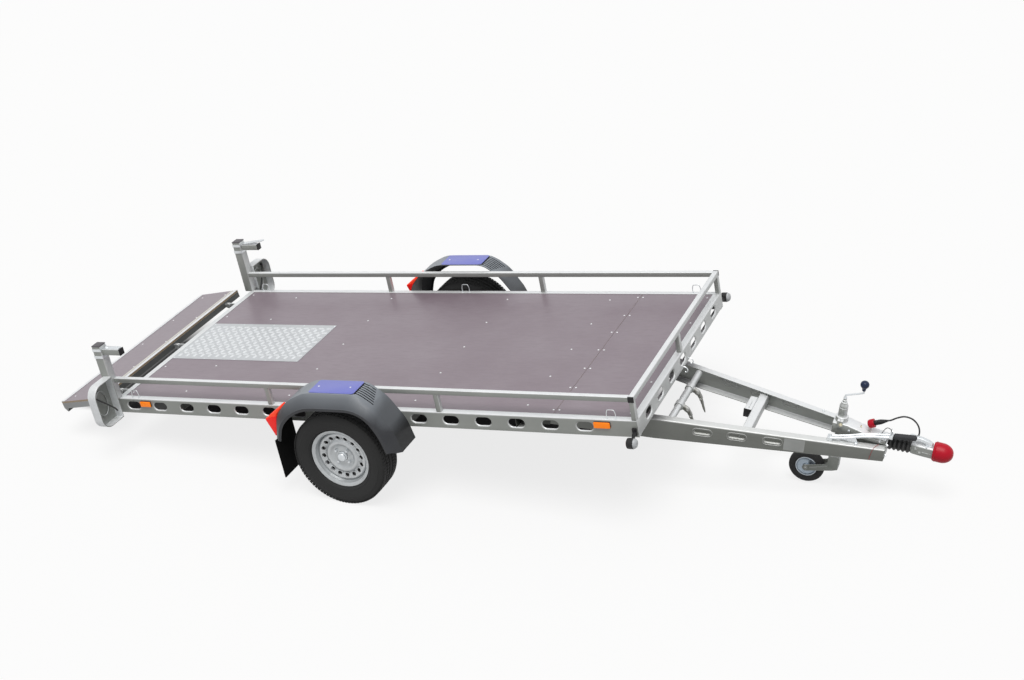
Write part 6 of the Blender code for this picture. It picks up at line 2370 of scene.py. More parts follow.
@dataclass
class Beams(Assembly):
    """Two folded beams that meet at the nose, with pressed slots, hinge eyes and a bare label."""

    rear: float = -0.050
    bend: float = 0.590
    front: float = NOSE
    top: float = 0.062
    low_rear: float = -0.067
    low_front: float = -0.014
    half_rear: float = 0.4595
    half_front: float = 0.095
    wall: float = 0.004
    flange: float = 0.050
    fold: float = 0.007
    slots: tuple[Flat, ...] = ((0.850, 0.016), (1.035, 0.018), (1.225, 0.020))
    slot_length: float = 0.098
    slot_height: float = 0.030
    eye: float = 0.034
    bore: float = 0.0206
    label: tuple[Flat, Flat] = ((1.285, -0.022), (1.397, 0.052))

    def half(self, u: float) -> float:
        """Half the width over the beams.

        Args:
            u: Place along the drawbar.

        Returns:
            The half width.
        """
        return self.half_rear - (self.half_rear - self.half_front) * u / self.front

    def bottom(self, u: float) -> float:
        """Height of a beam's lower edge.

        Args:
            u: Place along the drawbar.

        Returns:
            The height.
        """
        share = max(0.0, (u - self.bend) / (self.front - self.bend))
        return self.low_rear + (self.low_front - self.low_rear) * share

    def on_web(self, u: float, w: float) -> Matrix:
        """A frame on the left web's outer face: x along the beam, y outwards.

        Args:
            u: Place along the drawbar.
            w: Height.

        Returns:
            The frame.
        """
        slope = math.atan((self.half_rear - self.half_front) / self.front)
        return Matrix.Translation((u, self.half(u), w)) @ Matrix.Rotation(-slope, 4, "Z")

    def pressed(self) -> Piece:
        """One pressed slot about the origin, sunk towards -y."""
        outline = Bench.stadium(self.slot_length, self.slot_height, 8)
        piece = Bench.chain("pressed", [(x, -self.wall / 2, z) for x, z in outline])
        Bench.edit(piece)
        bpy.ops.mesh.edge_face_add()
        bpy.ops.mesh.select_mode(type="FACE")
        for width, sink in ((0.0016, 0.0006), (0.0016, 0.0026), (0.0014, 0.0034), (0.0018, 0.0019)):
            bpy.ops.mesh.inset(thickness=width, depth=0.0)
            bpy.ops.transform.translate(value=(0.0, -sink, 0.0))
        Bench.done()
        return Bench.apply(piece, "SOLIDIFY", thickness=self.wall * 0.9, offset=0.0)

    def beam(self) -> Piece:
        """The left beam."""
        skin = self.wall / 2
        lines = []
        for u in (self.rear, self.bend, self.front):
            out, low, high = self.half(u), self.bottom(u) + skin, self.top - skin
            lines.append([(u, out - self.flange, high), (u, out - skin, high), (u, out - skin, low),
                          (u, out - self.flange, low)])
        piece = Bench.skinned("drawbar_beam", lines)
        Bench.bevel(piece, self.fold, 4)
        Bench.apply(piece, "SOLIDIFY", thickness=self.wall, offset=0.0)
        outline = Bench.stadium(self.slot_length - 0.001, self.slot_height - 0.001, 8)
        webs = [self.on_web(u, w) for u, w in self.slots]
        tools = [
            Bench.set_in(Bench.plate("slot_tool", outline, Axis.Y, -0.02, 0.01), web)
            for web in webs]
        eye_tool = Bench.turned(
            "eye_tool", [(0.0, 0.38), (self.bore, 0.38), (self.bore, 0.49), (0.0, 0.49)], Axis.Y,
            ORIGIN, 32)
        Bench.cut(piece, Bench.joined("slot_tools", tools), eye_tool)
        outer_ring = Bench.stadium(self.slot_length + 0.012, self.slot_height + 0.016, 8)
        beads = [Bench.tube("bead", [(x, y, z) for x, z in [*outer_ring, outer_ring[0]]], 0.0026, 2)
                 for y in (-0.0004, -self.wall + 0.0004)]
        bead = Bench.joined("bead", beads)
        parts = [piece, *Bench.copies(self.pressed(), webs), *Bench.copies(bead, webs)]
        inner, outer = self.half(0.0) - self.flange, self.half(0.0) + 0.0008
        ring = [
            (self.bore, inner), (self.eye - 0.0015, inner), (self.eye, inner + 0.0015),
            (self.eye, outer - 0.0015), (self.eye - 0.0015, outer), (self.bore + 0.001, outer),
            (self.bore, outer - 0.001)]
        parts.append(Bench.turned("hinge_eye", ring, Axis.Y, ORIGIN, 40, True))
        return Bench.joined("drawbar_beam_left_dress", parts)

    def bolts(self) -> None:
        """Bolts through the webs at the nose and one on the far top flange."""
        heads = []
        through = Matrix.Translation((0.0, -self.wall, 0.0)) @ MIRROR
        for u, w in ((1.610, 0.036), (1.745, 0.036)):
            for mirror in (1.0, -1.0):
                inside = Bench.set_in(
                    Bench.bolt(ORIGIN, Axis.Y, 0.0062), self.on_web(u, w) @ through)
                heads.append(Bench.set_in(inside, Matrix.Scale(mirror, 4, (0.0, 1.0, 0.0))))
        heads.append(Bench.bolt((1.420, self.half(1.420) - 0.020, self.top), Axis.Z, 0.0060))
        heads.append(Bench.bolt((1.655, -self.half(1.655) + 0.024, self.top), Axis.Z, 0.0070))
        self.hand_over(Bench.joined("beam_bolts", heads), Finish.BRIGHT_ZINC)

    def build(self) -> None:
        """Build the beams."""
        left = self.beam()
        right = Bench.copy(left, MIRROR)
        right.name = "drawbar_beam_right_dress"
        (u0, w0), (u1, w1) = self.label
        flat = Bench.rounded((-(u1 - u0) / 2, w0), ((u1 - u0) / 2, w1), 0.003)
        label = Bench.plate("beam_label", flat, Axis.Y, 0.0001, 0.0005)
        Bench.set_in(label, MIRROR @ self.on_web((u0 + u1) / 2, 0.0))
        self.hand_over(left, Finish.GALVANISED, ["drawbar_beam_left"], 30.0)
        # The far beam takes BEAM, a darker copy of the galvanised finish: painted shade.
        self.hand_over(right, Finish.BEAM, ["drawbar_beam_right"], 30.0)
        self.hand_over(label, Finish.STICKER)
        self.bolts()


@dataclass
class CrossTubes(Assembly):
    """The latch tube with its cast levers and the cross member with its capped stub."""

    latch: Flat = (0.660, 0.036)
    tube: float = 0.020
    reach: float = 0.3180
    collar: float = 0.026
    collar_half: float = 0.022
    places: tuple[float, ...] = (0.100, -0.100)
    narrowing: float = 0.86  # a lever's width over its height
    lever: tuple[Point, ...] = (
        (0.010, -0.004, 0.0150), (0.040, -0.014, 0.0160), (0.062, -0.036, 0.0130),
        (0.077, -0.068, 0.0095), (0.090, -0.104, 0.0080), (0.104, -0.140, 0.0050))
    cross_u: Flat = (1.045, 1.095)
    cross_w: Flat = (-0.010, 0.045)
    stub_u: Flat = (1.005, 1.047)
    stub_y: Flat = (0.0, 0.150)
    stub_w: Flat = (0.0, 0.050)

    def latch_tube(self) -> None:
        """The tube with its collars and end sleeves."""
        u, w = self.latch
        r, end = self.tube, self.reach
        half = [
            (0.0, end), (r - 0.001, end), (r + 0.0015, end - 0.001), (r + 0.0015, end - 0.052),
            (r, end - 0.053)]
        for sign in (1, -1):
            far = self.places[0] + sign * self.collar_half
            step = [(r, far), (self.collar - 0.0015, far), (self.collar, far - sign * 0.002)]
            half += step if sign > 0 else step[::-1]
        half += [(r, 0.030), (r + 0.0012, 0.029)]
        profile = half + [(radius, -y) for radius, y in reversed(half)]
        body = Bench.turned("latch_tube_dress", profile, Axis.Y, (u, 0.0, w), 40)
        parts = [body]
        for y in self.places:
            for shift in (-0.011, 0.011):
                parts.append(Bench.bolt((u, y + shift, w + self.collar - 0.001), Axis.Z, 0.0040))
        self.hand_over(Bench.joined("latch_tube_dress", parts), Finish.GALVANISED, ["latch_tube"])

    def levers(self) -> None:
        """The cast levers with their knuckles."""
        u0, w0 = self.latch
        pieces = []
        line = Bench.curve(self.lever, 26)
        for y in self.places:
            radii = [
                r * (1.14 + 0.10 * math.sin(k * 1.25) - 0.012 * k)
                for k, (_, _, r) in enumerate(line)]
            radii[-1] *= 0.45
            spots = [(u0 + u, y, w0 + w) for u, w, _ in line]
            lever = Bench.tapered("lever", spots, radii, 4)
            to_place = Matrix.Translation((0.0, y, 0.0))
            narrow = Matrix.Scale(self.narrowing, 4, (0.0, 1.0, 0.0))
            Bench.set_in(lever, to_place @ narrow @ to_place.inverted())
            pieces.append(lever)
            for u, w, r in (line[7], line[13]):
                profile = [
                    (0.0, -0.0165), (r * 0.50, -0.0165), (r * 0.62, -0.0145), (r * 0.62, 0.0145),
                    (r * 0.50, 0.0165), (0.0, 0.0165)]
                pieces.append(
                    Bench.turned(
                        "knuckle", [(a, y + b) for a, b in profile], Axis.Y, (u0 + u, 0.0, w0 + w),
                        18))
        self.hand_over(Bench.joined("latch_levers", pieces), Finish.LEVER, (), 50.0)

    def cross_member(self, beams: Beams) -> None:
        """The folded cross member with its stub and the stub's cap.

        Args:
            beams: The beams it stands between.
        """
        skin = 0.0015
        low, high = self.cross_w
        section = [(self.cross_u[0] + skin, low), (self.cross_u[0] + skin, high - skin),
                   (self.cross_u[1] - skin, high - skin), (self.cross_u[1] - skin, low)]
        ends = [
            [(u, sign * (beams.half(u) - beams.wall - 0.001), w) for u, w in section]
            for sign in (-1, 1)]
        member = Bench.skinned("cross_member_dress", ends)
        Bench.bevel(member, 0.005, 3)
        Bench.apply(member, "SOLIDIFY", thickness=2 * skin, offset=0.0)
        stub = Bench.box("stub", (self.stub_u[0], self.stub_y[0] + 0.0025, self.stub_w[0]),
                         (self.stub_u[1], self.stub_y[1], self.stub_w[1]), 0.0045, 3)
        tabs = [Bench.bolt((1.070, sign * 0.205, high), Axis.Z, 0.0055) for sign in (-1, 1)]
        rib = Bench.box("rib", (1.026, 0.020, 0.0495), (1.030, 0.090, 0.0560), 0.0012, 2)
        self.hand_over(
            Bench.joined("cross_member_dress", [member, stub, rib, *tabs]), Finish.GALVANISED,
            ["cross_member"], 32.0)
        cap = Bench.box(
            "stub_cap", (self.stub_u[0] - 0.0010, self.stub_y[0] - 0.0012, self.stub_w[0] - 0.0010),
            (self.stub_u[1] + 0.0005, self.stub_y[0] + 0.0030, self.stub_w[1] + 0.0010), 0.0012, 3)
        self.hand_over(cap, Finish.CAPS)

    def build(self) -> None:
        """Build the cross tubes."""
        self.latch_tube()
        self.levers()
        self.cross_member(Beams(self.body, self.frame))


@dataclass
class Hitch(Assembly):
    """The overrun housing, its clamp for the jockey wheel, the flange and the bellows."""

    half: float = 0.045
    side_line: tuple[Flat, ...] = ((1.505, 0.0625), (1.505, 0.128), (1.586, 0.128), (1.690, 0.104),
                                   (1.805, 0.092), (1.805, 0.0625))
    keel: tuple[Point, Point] = ((1.560, -0.040, 0.010), (1.8118, 0.040, 0.064))
    leg_u: float = JOCKEY_U
    leg_bore: float = 0.0245
    clamp_r: float = 0.034
    clamp_w: Flat = (0.123, 0.158)
    ear: tuple[Point, Point] = ((1.530, -0.056, 0.108), (1.562, -0.024, 0.153))
    flange: tuple[Point, Point] = ((1.8083, -0.090, 0.0), (1.8122, 0.090, 0.100))
    holder: tuple[Point, Point] = ((1.694, -0.014, 0.095), (1.712, 0.014, 0.1175))
    head_w: float = HEAD_W
    bellows_u: Flat = (1.8125, 1.931)
    folds: int = 5
    fold_r: Flat = (0.0440, 0.0380)
    fold_depth: float = 0.009

    def housing(self) -> None:
        """Housing, keel, clamp collar and holder as one welded piece."""
        body = Bench.plate(
            "hitch_body_dress", self.side_line, Axis.Y, -self.half, self.half, 0.005, 3)
        keel = Bench.box("keel", *self.keel, 0.004, 2)
        tool = Bench.turned(
            "leg_tool", [(0.0, -0.05), (self.leg_bore, -0.05), (self.leg_bore, 0.20), (0.0, 0.20)],
            Axis.Z, (self.leg_u, 0.0, 0.0), 48)
        Bench.cut(body, Bench.copy(tool, ORIGIN))
        Bench.cut(keel, tool)
        low, high = self.clamp_w
        ring = [
            (self.leg_bore, low), (self.clamp_r, low), (self.clamp_r, high - 0.003),
            (self.clamp_r - 0.003, high), (self.leg_bore + 0.001, high),
            (self.leg_bore, high - 0.001)]
        collar = Bench.turned("clamp", ring, Axis.Z, (self.leg_u, 0.0, 0.0), 48, True)
        ear = Bench.box("ear", *self.ear, 0.004, 3)
        split = Bench.box(
            "split", (self.leg_u - 0.0012, -0.070, 0.112), (self.leg_u + 0.0012, -0.030, 0.170))
        Bench.cut(ear, split)
        holder = Bench.box("holder", *self.holder, 0.003, 2)
        plate = Bench.plate(
            "flange", Bench.rounded(self.flange[0][1:], self.flange[1][1:], 0.010), Axis.X,
            self.flange[0][0], self.flange[1][0], 0.0008)
        lips = [
            Bench.box(
                "lip", (1.640, sign * 0.047 - 0.0015, 0.066), (1.800, sign * 0.047 + 0.0015, 0.084),
                0.0012)
            for sign in (-1, 1)]
        self.hand_over(
            Bench.joined("hitch_body_dress", [body, keel, collar, ear, holder, plate, *lips]),
            Finish.GALVANISED, ["hitch_body"], 32.0)

    def fixings(self) -> None:
        """Bolts of the clamp, the flange and the housing, grease nipple and the bare patches."""
        clamp = [Bench.bolt((self.leg_u + 0.006, self.ear[0][1], 0.130), Axis.Y, 0.0075, -1.0)]
        clamp.append(
            Bench.turned(
                "nipple",
                [
                    (0.0, 0.014), (0.0028, 0.013), (0.0032, 0.009), (0.0020, 0.007),
                    (0.0044, 0.005), (0.0044, 0.0), (0.0, 0.0)],
                Axis.Z, (1.655, 0.0, 0.111), 16))
        self.hand_over(Bench.joined("clamp_bolt", clamp), Finish.YELLOW_ZINC)
        heads = []
        for y in (-0.072, 0.072):
            for w in (0.018, 0.082) if y < 0 else (0.082,):
                heads.append(Bench.bolt((self.flange[1][0], y, w), Axis.X, 0.0065))
        for sign in (-1, 1):
            for u, w in ((1.600, 0.098), (1.770, 0.080)):
                heads.append(Bench.bolt((u, sign * self.half, w), Axis.Y, 0.0060, float(sign)))
        self.hand_over(Bench.joined("hitch_bolts", heads), Finish.BRIGHT_ZINC)
        patches = []
        for low, high in (((1.668, 0.078), (1.735, 0.096)), ((1.742, 0.070), (1.798, 0.088))):
            flat = Bench.rounded(low, high, 0.002)
            patches.append(
                Bench.plate("patch", flat, Axis.Y, -self.half - 0.0006, -self.half - 0.0001))
        self.hand_over(Bench.joined("bare_patches", patches), Finish.STICKER)

    def bellows(self) -> None:
        """The bellows with its two bands."""
        start, end = self.bellows_u
        steps = 9
        profile = [(0.0250, start), (0.0360, start)]
        total = self.folds * steps
        for k in range(1, total):
            share = k / total
            crest = self.fold_r[0] + (self.fold_r[1] - self.fold_r[0]) * share
            wave = 0.5 - 0.5 * math.cos(math.tau * self.folds * share)
            profile.append(
                (crest - self.fold_depth * (1.0 - wave ** 0.65), start + (end - start) * share))
        profile += [(0.0290, end), (0.0236, end)]
        rubber = Bench.turned("bellows_dress", profile, Axis.X, (0.0, 0.0, self.head_w), 64, True)
        self.hand_over(rubber, Finish.BELLOWS, ["bellows"], 60.0)

    def build(self) -> None:
        """Build the hitch."""
        self.housing()
        self.fixings()
        self.bellows()


@dataclass
class Coupling(Assembly):
    """The coupling head with its socket, pressed handle and bolts, and the red cap."""

    nose: float = NOSE
    head_w: float = HEAD_W
    sections: tuple[tuple[float, float, float, float], ...] = (
        (0.1240, 0.0205, -0.0260, 0.0220), (0.1300, 0.0240, -0.0300, 0.0270),
        (0.1420, 0.0265, -0.0300, 0.0310), (0.1770, 0.0300, -0.0300, 0.0320),
        (0.2417, 0.0320, -0.0300, 0.0320))
    shaft_r: float = 0.0225
    socket: tuple[float, float, float] = (0.210, 0.0258, 0.042)
    handle_line: tuple[Flat, ...] = (
        (0.117, 0.120), (0.107, 0.134), (0.113, 0.139), (0.122, 0.140), (0.177, 0.136),
        (0.214, 0.127), (0.232, 0.117), (0.238, 0.108), (0.232, 0.0985), (0.198, 0.0985),
        (0.198, 0.110), (0.177, 0.118))
    handle_half: float = 0.014
    cap_rear: float = 0.242
    cap_w: float = 0.072
    cap_line: tuple[Flat, ...] = (
        (0.048, 0.0), (0.052, 0.006), (0.054, 0.018), (0.054, 0.050), (0.051, 0.066),
        (0.044, 0.082), (0.033, 0.095), (0.018, 0.104), (0.0, 0.107))

    def head(self) -> None:
        """The head on its shaft, with the ball socket and its bolts."""
        lines = []
        for u, half, low, high in self.sections:
            ring = Bench.rounded((-half, self.head_w + low), (half, self.head_w + high), 0.009, 5)
            lines.append([(u + self.nose, y, w) for y, w in [*ring, ring[0]]])
        shell = Bench.skinned("coupling_head_dress", lines)
        Bench.edit(shell)
        bpy.ops.mesh.fill_holes(sides=0)
        bpy.ops.mesh.select_all(action="SELECT")
        bpy.ops.mesh.normals_make_consistent(inside=False)
        Bench.done()
        u, radius, depth = self.socket
        low = self.head_w - 0.031
        bore = [
            (0.0, low - 0.01), (radius, low - 0.01), (radius, low + depth * 0.5),
            (radius * 0.85, low + depth * 0.85), (radius * 0.5, low + depth), (0.0, low + depth)]
        Bench.cut(shell, Bench.turned("ball_tool", bore, Axis.Z, (u + self.nose, 0.0, 0.0), 40))
        shaft = Bench.turned(
            "shaft", [(0.0, 1.8130), (self.shaft_r, 1.8130), (self.shaft_r, 1.9500), (0.0, 1.9500)],
            Axis.X, (0.0, 0.0, self.head_w), 48)
        parts = [shell, shaft]
        for sign in (-1, 1):
            for u, w, size in ((0.1510, 0.074, 0.0068), (0.1740, 0.056, 0.0062)):
                half = 0.0265 + (u - 0.142) * 0.1
                parts.append(Bench.bolt((u + self.nose, sign * half, w), Axis.Y, size, float(sign)))
            rib = Bench.box("rib", (self.nose + 0.186, sign * 0.0305 - 0.002, 0.0600),
                            (self.nose + 0.240, sign * 0.0305 + 0.002, 0.0660), 0.0018, 2)
            parts.append(rib)
        self.hand_over(
            Bench.joined("coupling_head_dress", parts), Finish.GALVANISED, ["coupling_head"], 40.0)

    def handle(self) -> None:
        """The handle, a pressed channel open below."""
        line = [(u + self.nose, w) for u, w in self.handle_line]
        handle = Bench.plate(
            "coupling_handle_dress", line, Axis.Y, -self.handle_half, self.handle_half, 0.0030, 3)
        inner = [(u, w - 0.0050) for u, w in line]
        Bench.cut(
            handle,
            Bench.plate(
                "handle_tool", inner, Axis.Y, 0.0035 - self.handle_half, self.handle_half - 0.0035))
        self.hand_over(handle, Finish.BRIGHT_ZINC, ["coupling_handle"], 40.0)
        pin = Bench.turned(
            "handle_pin",
            [
                (0.0, -0.0305), (0.0042, -0.0305), (0.0052, -0.0290), (0.0052, 0.0290),
                (0.0042, 0.0305), (0.0, 0.0305)],
            Axis.Y, (self.nose + 0.206, 0.0, 0.1010), 24)
        self.hand_over(pin, Finish.BRIGHT_ZINC)

    def cap(self) -> None:
        """The red cap with its bead."""
        start = self.nose + self.cap_rear
        smooth = [(r, a) for r, a, _ in Bench.curve([(r, a, 0.0) for r, a in self.cap_line], 34)]
        smooth[-1] = (0.0, self.cap_line[-1][1])
        profile = [(0.0, 0.004), (0.0445, 0.004), (0.0455, 0.0), *smooth[1:]]
        shell = Bench.turned("coupling_cap_dress", [(r, start + a) for r, a in profile], Axis.X,
                             (0.0, 0.0, self.cap_w), 72)
        bead = [
            (0.0500, 0.0100), (0.0552, 0.0112), (0.0562, 0.0130), (0.0552, 0.0148),
            (0.0500, 0.0160)]
        ring = Bench.turned(
            "bead", [(r, start + a) for r, a in bead], Axis.X, (0.0, 0.0, self.cap_w), 72, True)
        self.hand_over(
            Bench.joined("coupling_cap_dress", [shell, ring]), Finish.RED, ["coupling_cap"], 50.0)

    def build(self) -> None:
        """Build the coupling."""
        self.head()
        self.handle()
        self.cap()


@dataclass
class BrakeLever(Assembly):
    """The double-bar brake lever, its grip and the red wire over the near beam."""

    route: tuple[Point, ...] = (
        (1.507, -0.124, 0.074), (1.600, -0.106, 0.090), (1.700, -0.084, 0.114),
        (1.832, -0.058, 0.130))
    step: float = 0.024
    bar: float = 0.0078
    root: tuple[Point, Point] = ((1.500, -0.134, 0.0623), (1.530, -0.090, 0.082))
    tie: tuple[Point, Point] = ((1.815, -0.068, 0.120), (1.836, -0.024, 0.140))
    grip_ends: tuple[Point, Point] = ((1.8381, -0.044, 0.132), (1.958, -0.040, 0.150))
    grip_r: float = 0.017

    def bars(self) -> None:
        """Both bars with their root and tie."""
        first = Bench.tube("brake_lever_dress", Bench.curve(self.route, 22), self.bar, 4)
        second = Bench.copy(first, (0.0, self.step, 0.0))
        root = Bench.box("root", *self.root, 0.003, 2)
        tie = Bench.box("tie", *self.tie, 0.003, 2)
        bolt = Bench.bolt((1.515, -0.112, 0.082), Axis.Z, 0.0070)
        ratchet = Bench.plate(
            "ratchet",
            [(1.545, 0.064), (1.665, 0.064), (1.650, 0.092), (1.600, 0.086), (1.560, 0.076)],
            Axis.Y, -0.0965, -0.0925, 0.0010)
        self.hand_over(
            Bench.joined("brake_lever_dress", [first, second, root, tie, bolt, ratchet]),
            Finish.BRIGHT_ZINC, ["brake_lever"], 40.0)

    def grip(self) -> None:
        """The ribbed rubber grip."""
        a, b = (Vector(end) for end in self.grip_ends)
        count = 44
        spots = [tuple(a.lerp(b, k / (count - 1))) for k in range(count)]
        radii = []
        for k in range(count):
            share = k / (count - 1)
            edge = min(1.0, 0.62 + share * 9.0, 0.40 + (1.0 - share) * 10.0)
            rib = 0.0007 * math.sin(math.tau * k / 3.0) if 0.10 < share < 0.90 else 0.0
            radii.append(self.grip_r * min(1.0, edge) - 0.0007 + rib)
        self.hand_over(
            Bench.tapered("lever_grip_dress", spots, radii, 6), Finish.GRIP, ["lever_grip"], 50.0)

    def red_wire(self) -> None:
        """The thin red wire from the flange over the near beam."""
        line = [
            (1.768, -0.058, 0.0668), (1.758, -0.082, 0.0672), (1.752, -0.1000, 0.0665),
            (1.748, -0.1095, 0.0600), (1.744, -0.1120, 0.0440), (1.740, -0.1130, 0.0180),
            (1.737, -0.1125, -0.0080)]
        self.hand_over(
            Bench.tube("red_wire", Bench.curve(line, 30), 0.0012, 2), Finish.RED_WIRE, (), 60.0)

    def build(self) -> None:
        """Build the brake lever."""
        self.bars()
        self.grip()
        self.red_wire()


@dataclass
class Plug(Assembly):
    """The plug in its red parking cap."""

    cap: tuple[Point, Point] = ((1.690, 0.0, 0.141), (1.722, 0.0, 0.158))
    cap_r: float = 0.025
    body_ends: tuple[Point, Point] = ((1.718, 0.0, 0.156), (1.790, 0.0, 0.192))
    body_r: float = 0.015

    def build(self) -> None:
        """Build the plug."""
        a, b = (Vector(end) for end in self.cap)
        shares = [0.0, 0.02, 0.08, 0.18, 0.30, 0.45, 0.70, 0.86, 0.88, 0.96, 1.0]
        sizes = [0.35, 0.62, 0.80, 0.90, 0.95, 0.97, 0.97, 0.97, 1.0, 1.0, 0.96]
        cap = Bench.tapered(
            "plug_cap", [tuple(a.lerp(b, s)) for s in shares], [self.cap_r * s for s in sizes], 7)
        self.hand_over(cap, Finish.RED, ["plug"], 45.0)
        a, b = (Vector(end) for end in self.body_ends)
        count = 38
        spots, radii = [], []
        for k in range(count):
            share = k / (count - 1)
            spots.append(tuple(a.lerp(b, share)))
            taper = self.body_r if share < 0.52 else self.body_r - (
                self.body_r - 0.0062) * (share - 0.52) / 0.48
            ribs = 0.0011 * math.sin(
                math.tau * k / 4.0) if share < 0.52 else 0.0006 * math.sin(math.tau * k / 3.0)
            radii.append(taper - 0.0011 + ribs)
        self.hand_over(Bench.tapered("plug_body", spots, radii, 6), Finish.CAPS, (), 50.0)


@dataclass
class JockeyTop(Assembly):
    """The jockey wheel's outer tube in its clamp, with the wire crank and the blue knob."""

    u: float = JOCKEY_U
    radius: float = 0.024
    low: float = -0.050
    top: float = 0.226
    reach: float = 0.090
    wire: float = 0.005

    def tube(self) -> None:
        """The outer tube with its beads and the screw's bearing."""
        r, top = self.radius, self.top
        profile = [
            (0.0198, self.low), (r - 0.001, self.low), (r, self.low + 0.002), (r, 0.162),
            (r - 0.0016, 0.1640), (r - 0.0016, 0.1680), (r, 0.1700), (r, top - 0.016),
            (r - 0.0018, top - 0.014), (r - 0.0018, top - 0.010), (r, top - 0.008),
            (r - 0.0006, top - 0.001), (0.0185, top + 0.006), (0.0165, top + 0.018),
            (0.0120, top + 0.020), (0.0115, top + 0.030), (0.0090, top + 0.032),
            (0.0088, top + 0.040), (0.0, top + 0.040), (0.0, top - 0.008), (0.0198, top - 0.008)]
        tube = Bench.turned("jockey_tube_dress", profile, Axis.Z, (self.u, 0.0, 0.0), 56, True)
        seam = Bench.box(
            "seam", (self.u - 0.003, -r - 0.0012, 0.176), (self.u + 0.003, -r + 0.002, 0.205),
            0.0012)
        self.hand_over(
            Bench.joined("jockey_tube_dress", [tube, seam]), Finish.GALVANISED, ["jockey_tube"],
            40.0)

    def crank(self) -> None:
        """The wire crank and its knob."""
        top, end = self.top, self.u + self.reach
        bends = [
            (self.u, 0.0, top + 0.0403), (self.u, 0.0, top + 0.058),
            (self.u + 0.010, 0.0, top + 0.066), (end - 0.006, 0.0, top + 0.096),
            (end + 0.001, 0.0, top + 0.104), (end, 0.0, top + 0.119)]
        crank = Bench.tube("jockey_crank_dress", Bench.curve(bends, 40), self.wire, 4)
        nut = Bench.turned(
            "nut",
            [
                (0.0, top + 0.0405), (0.0090, top + 0.0405), (0.0098, top + 0.042),
                (0.0098, top + 0.048), (0.0088, top + 0.0495), (0.0, top + 0.0495)],
            Axis.Z, (self.u, 0.0, 0.0), 6)
        self.hand_over(
            Bench.joined("jockey_crank_dress", [crank, nut]), Finish.BRIGHT_ZINC, ["jockey_crank"],
            45.0)
        low = top + 0.114
        line = [
            (0.0080, 0.0), (0.0095, 0.001), (0.0105, 0.008), (0.0128, 0.016), (0.0175, 0.0225),
            (0.0220, 0.029), (0.0240, 0.038), (0.0222, 0.047), (0.0165, 0.055), (0.0085, 0.0592)]
        ball = [(r, low + a) for r, a, _ in Bench.curve([(r, a, 0.0) for r, a in line], 28)]
        profile = [(0.0, low), *ball, (0.0, low + 0.060)]
        self.hand_over(
            Bench.turned("crank_knob", profile, Axis.Z, (end, 0.0, 0.0), 48), Finish.KNOB, (), 60.0)

    def build(self) -> None:
        """Build the outer tube and the crank."""
        self.tube()
        self.crank()


@dataclass
class JockeyLeg(Assembly):
    """The sliding inner tube and the folded fork."""

    radius: float = 0.0195
    half: float = 0.0325
    hub: Flat = (STANCE.jockey_hub[0], STANCE.jockey_hub[2])
    plate: float = 0.0045

    def build(self) -> None:
        """Build the leg."""
        tube = Bench.turned(
            "leg",
            [
                (0.0, -0.120), (self.radius, -0.120), (self.radius, 0.1595), (0.0150, 0.160),
                (0.0150, 0.150), (0.0, 0.150)],
            Axis.Z, ORIGIN, 48)
        eye = Bench.arc(self.hub, 0.020, 90.0, 180.0, 12)
        side_line = [
            (0.026, -0.100), (-0.030, -0.100), (-0.034, -0.150), (-0.048, -0.163), *eye,
            (0.000, -0.192), (0.026, -0.180)]
        inner = self.half - self.plate + 0.0005
        roof = Bench.box("roof", (-0.030, -inner, -0.1045), (0.026, inner, -0.100), 0.001)
        front = Bench.box("front", (0.0215, -inner, -0.180), (0.026, inner, -0.101), 0.001)
        heel = Bench.box("heel", (-0.034, -inner, -0.150), (-0.0295, inner, -0.101), 0.001)
        parts = [tube, roof, front, heel]
        for sign in (-1, 1):
            ys = span(sign, self.half, self.half - self.plate)
            parts.append(Bench.plate("arm", side_line, Axis.Y, *ys, 0.0014, 2))
            parts.append(
                Bench.bolt(
                    (self.hub[0], sign * self.half, self.hub[1]), Axis.Y, 0.0090, float(sign)))
            rib = [(-0.030, -0.166), (-0.128, -0.205), (-0.128, -0.213), (-0.030, -0.176)]
            ys = span(sign, self.half - 0.001, self.half + 0.0022)
            parts.append(Bench.plate("rib", rib, Axis.Y, *ys, 0.0010, 2))
        pin = Bench.turned(
            "pin", [(0.0, -0.032), (0.0079, -0.032), (0.0079, 0.032), (0.0, 0.032)], Axis.Y,
            (self.hub[0], 0.0, self.hub[1]), 28)
        self.hand_over(
            Bench.joined("jockey_fork_dress", [*parts, pin]), Finish.CAST, ["jockey_fork"], 35.0)


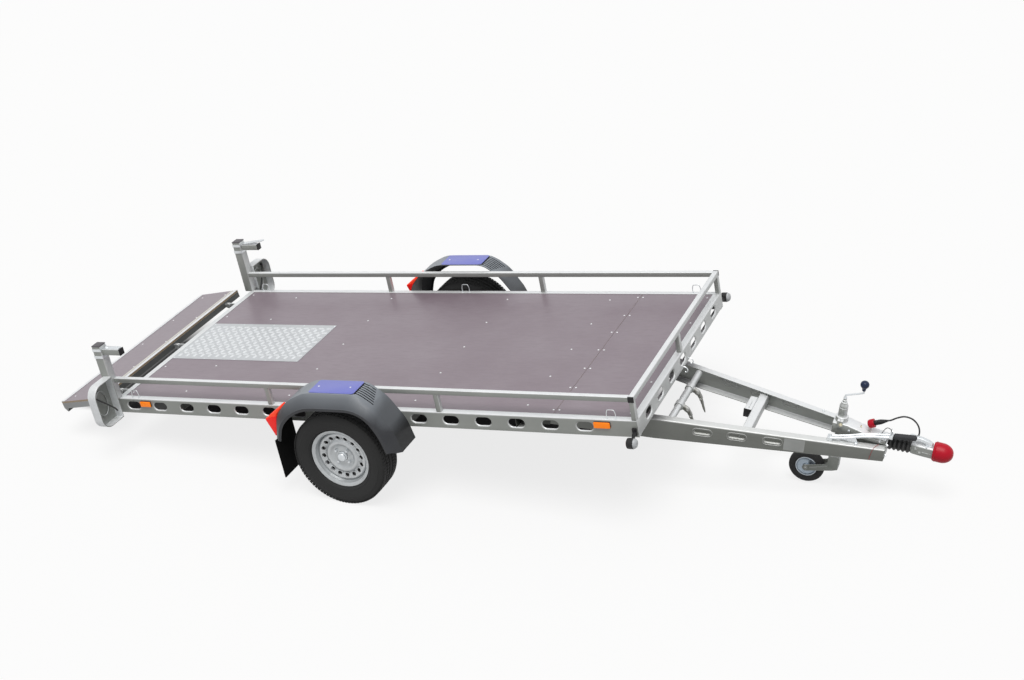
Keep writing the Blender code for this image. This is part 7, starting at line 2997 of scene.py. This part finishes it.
@dataclass
class JockeyWheel(Assembly):
    """The jockey wheel, about its hub."""

    radius: float = 0.100
    half: float = 0.025
    rim_r: float = 0.060

    def build(self) -> None:
        """Build the wheel."""
        r, h = self.radius, self.half
        side = [
            (self.rim_r + 0.0003, 0.70 * h), (0.0660, 0.86 * h), (0.0720, h), (0.0745, 0.985 * h),
            (0.0765, h), (0.0840, 0.985 * h), (0.0905, 0.92 * h), (0.0955, 0.76 * h),
            (0.0990, 0.52 * h), (r, 0.26 * h)]
        profile = side + [(a, -b) for a, b in reversed(side)]
        tyre = Bench.turned("jockey_tyre_dress", profile, Axis.Y, ORIGIN, 80, True)
        self.hand_over(tyre, Finish.TYRE, ["jockey_tyre"], 40.0)
        face = [
            (0.0086, 0.0240), (0.0165, 0.0240), (0.0180, 0.0225), (0.0185, 0.0120),
            (0.0230, 0.0085), (0.0380, 0.0075), (0.0470, 0.0085), (0.0520, 0.0130),
            (0.0550, 0.0185), (0.0590, 0.0190), (0.0605, 0.0180), (0.0605, 0.0168),
            (0.0590, 0.0150)]
        profile = face + [(a, -b) for a, b in reversed(face)]
        rim = Bench.turned("jockey_rim_dress", profile, Axis.Y, ORIGIN, 72, True)
        self.hand_over(rim, Finish.JOCKEY_RIM, ["jockey_rim"], 40.0)


def main() -> None:
    """Build the trailer's looks in order."""
    logging.basicConfig(level=logging.INFO, format="%(message)s")
    Studio().build()
    bed, drawbar = STANCE.bed(), STANCE.drawbar()
    for assembly in (
            Cords(Body.DRAWBAR, drawbar), SlottedFrame(Body.BED, bed), Deck(Body.BED, bed),
            Railing(Body.BED, bed), RearPosts(Body.BED, bed), Markers(Body.BED, bed),
            Fenders(Body.BED, bed), RoadWheel(Body.WHEEL_LEFT, STANCE.wheel(), Side.LEFT),
            RoadWheel(Body.WHEEL_RIGHT, STANCE.wheel(), Side.RIGHT), Ramp(Body.RAMP, STANCE.ramp()),
            Beams(Body.DRAWBAR, drawbar), CrossTubes(Body.DRAWBAR, drawbar),
            Hitch(Body.DRAWBAR, drawbar), Coupling(Body.DRAWBAR, drawbar),
            BrakeLever(Body.DRAWBAR, drawbar), Plug(Body.DRAWBAR, drawbar),
            JockeyTop(Body.DRAWBAR, drawbar), JockeyLeg(Body.JOCKEY_LEG, STANCE.jockey()),
            JockeyWheel(Body.JOCKEY_WHEEL, STANCE.jockey_wheel())):
        assembly.build()


if __name__ == "__main__":
    main()
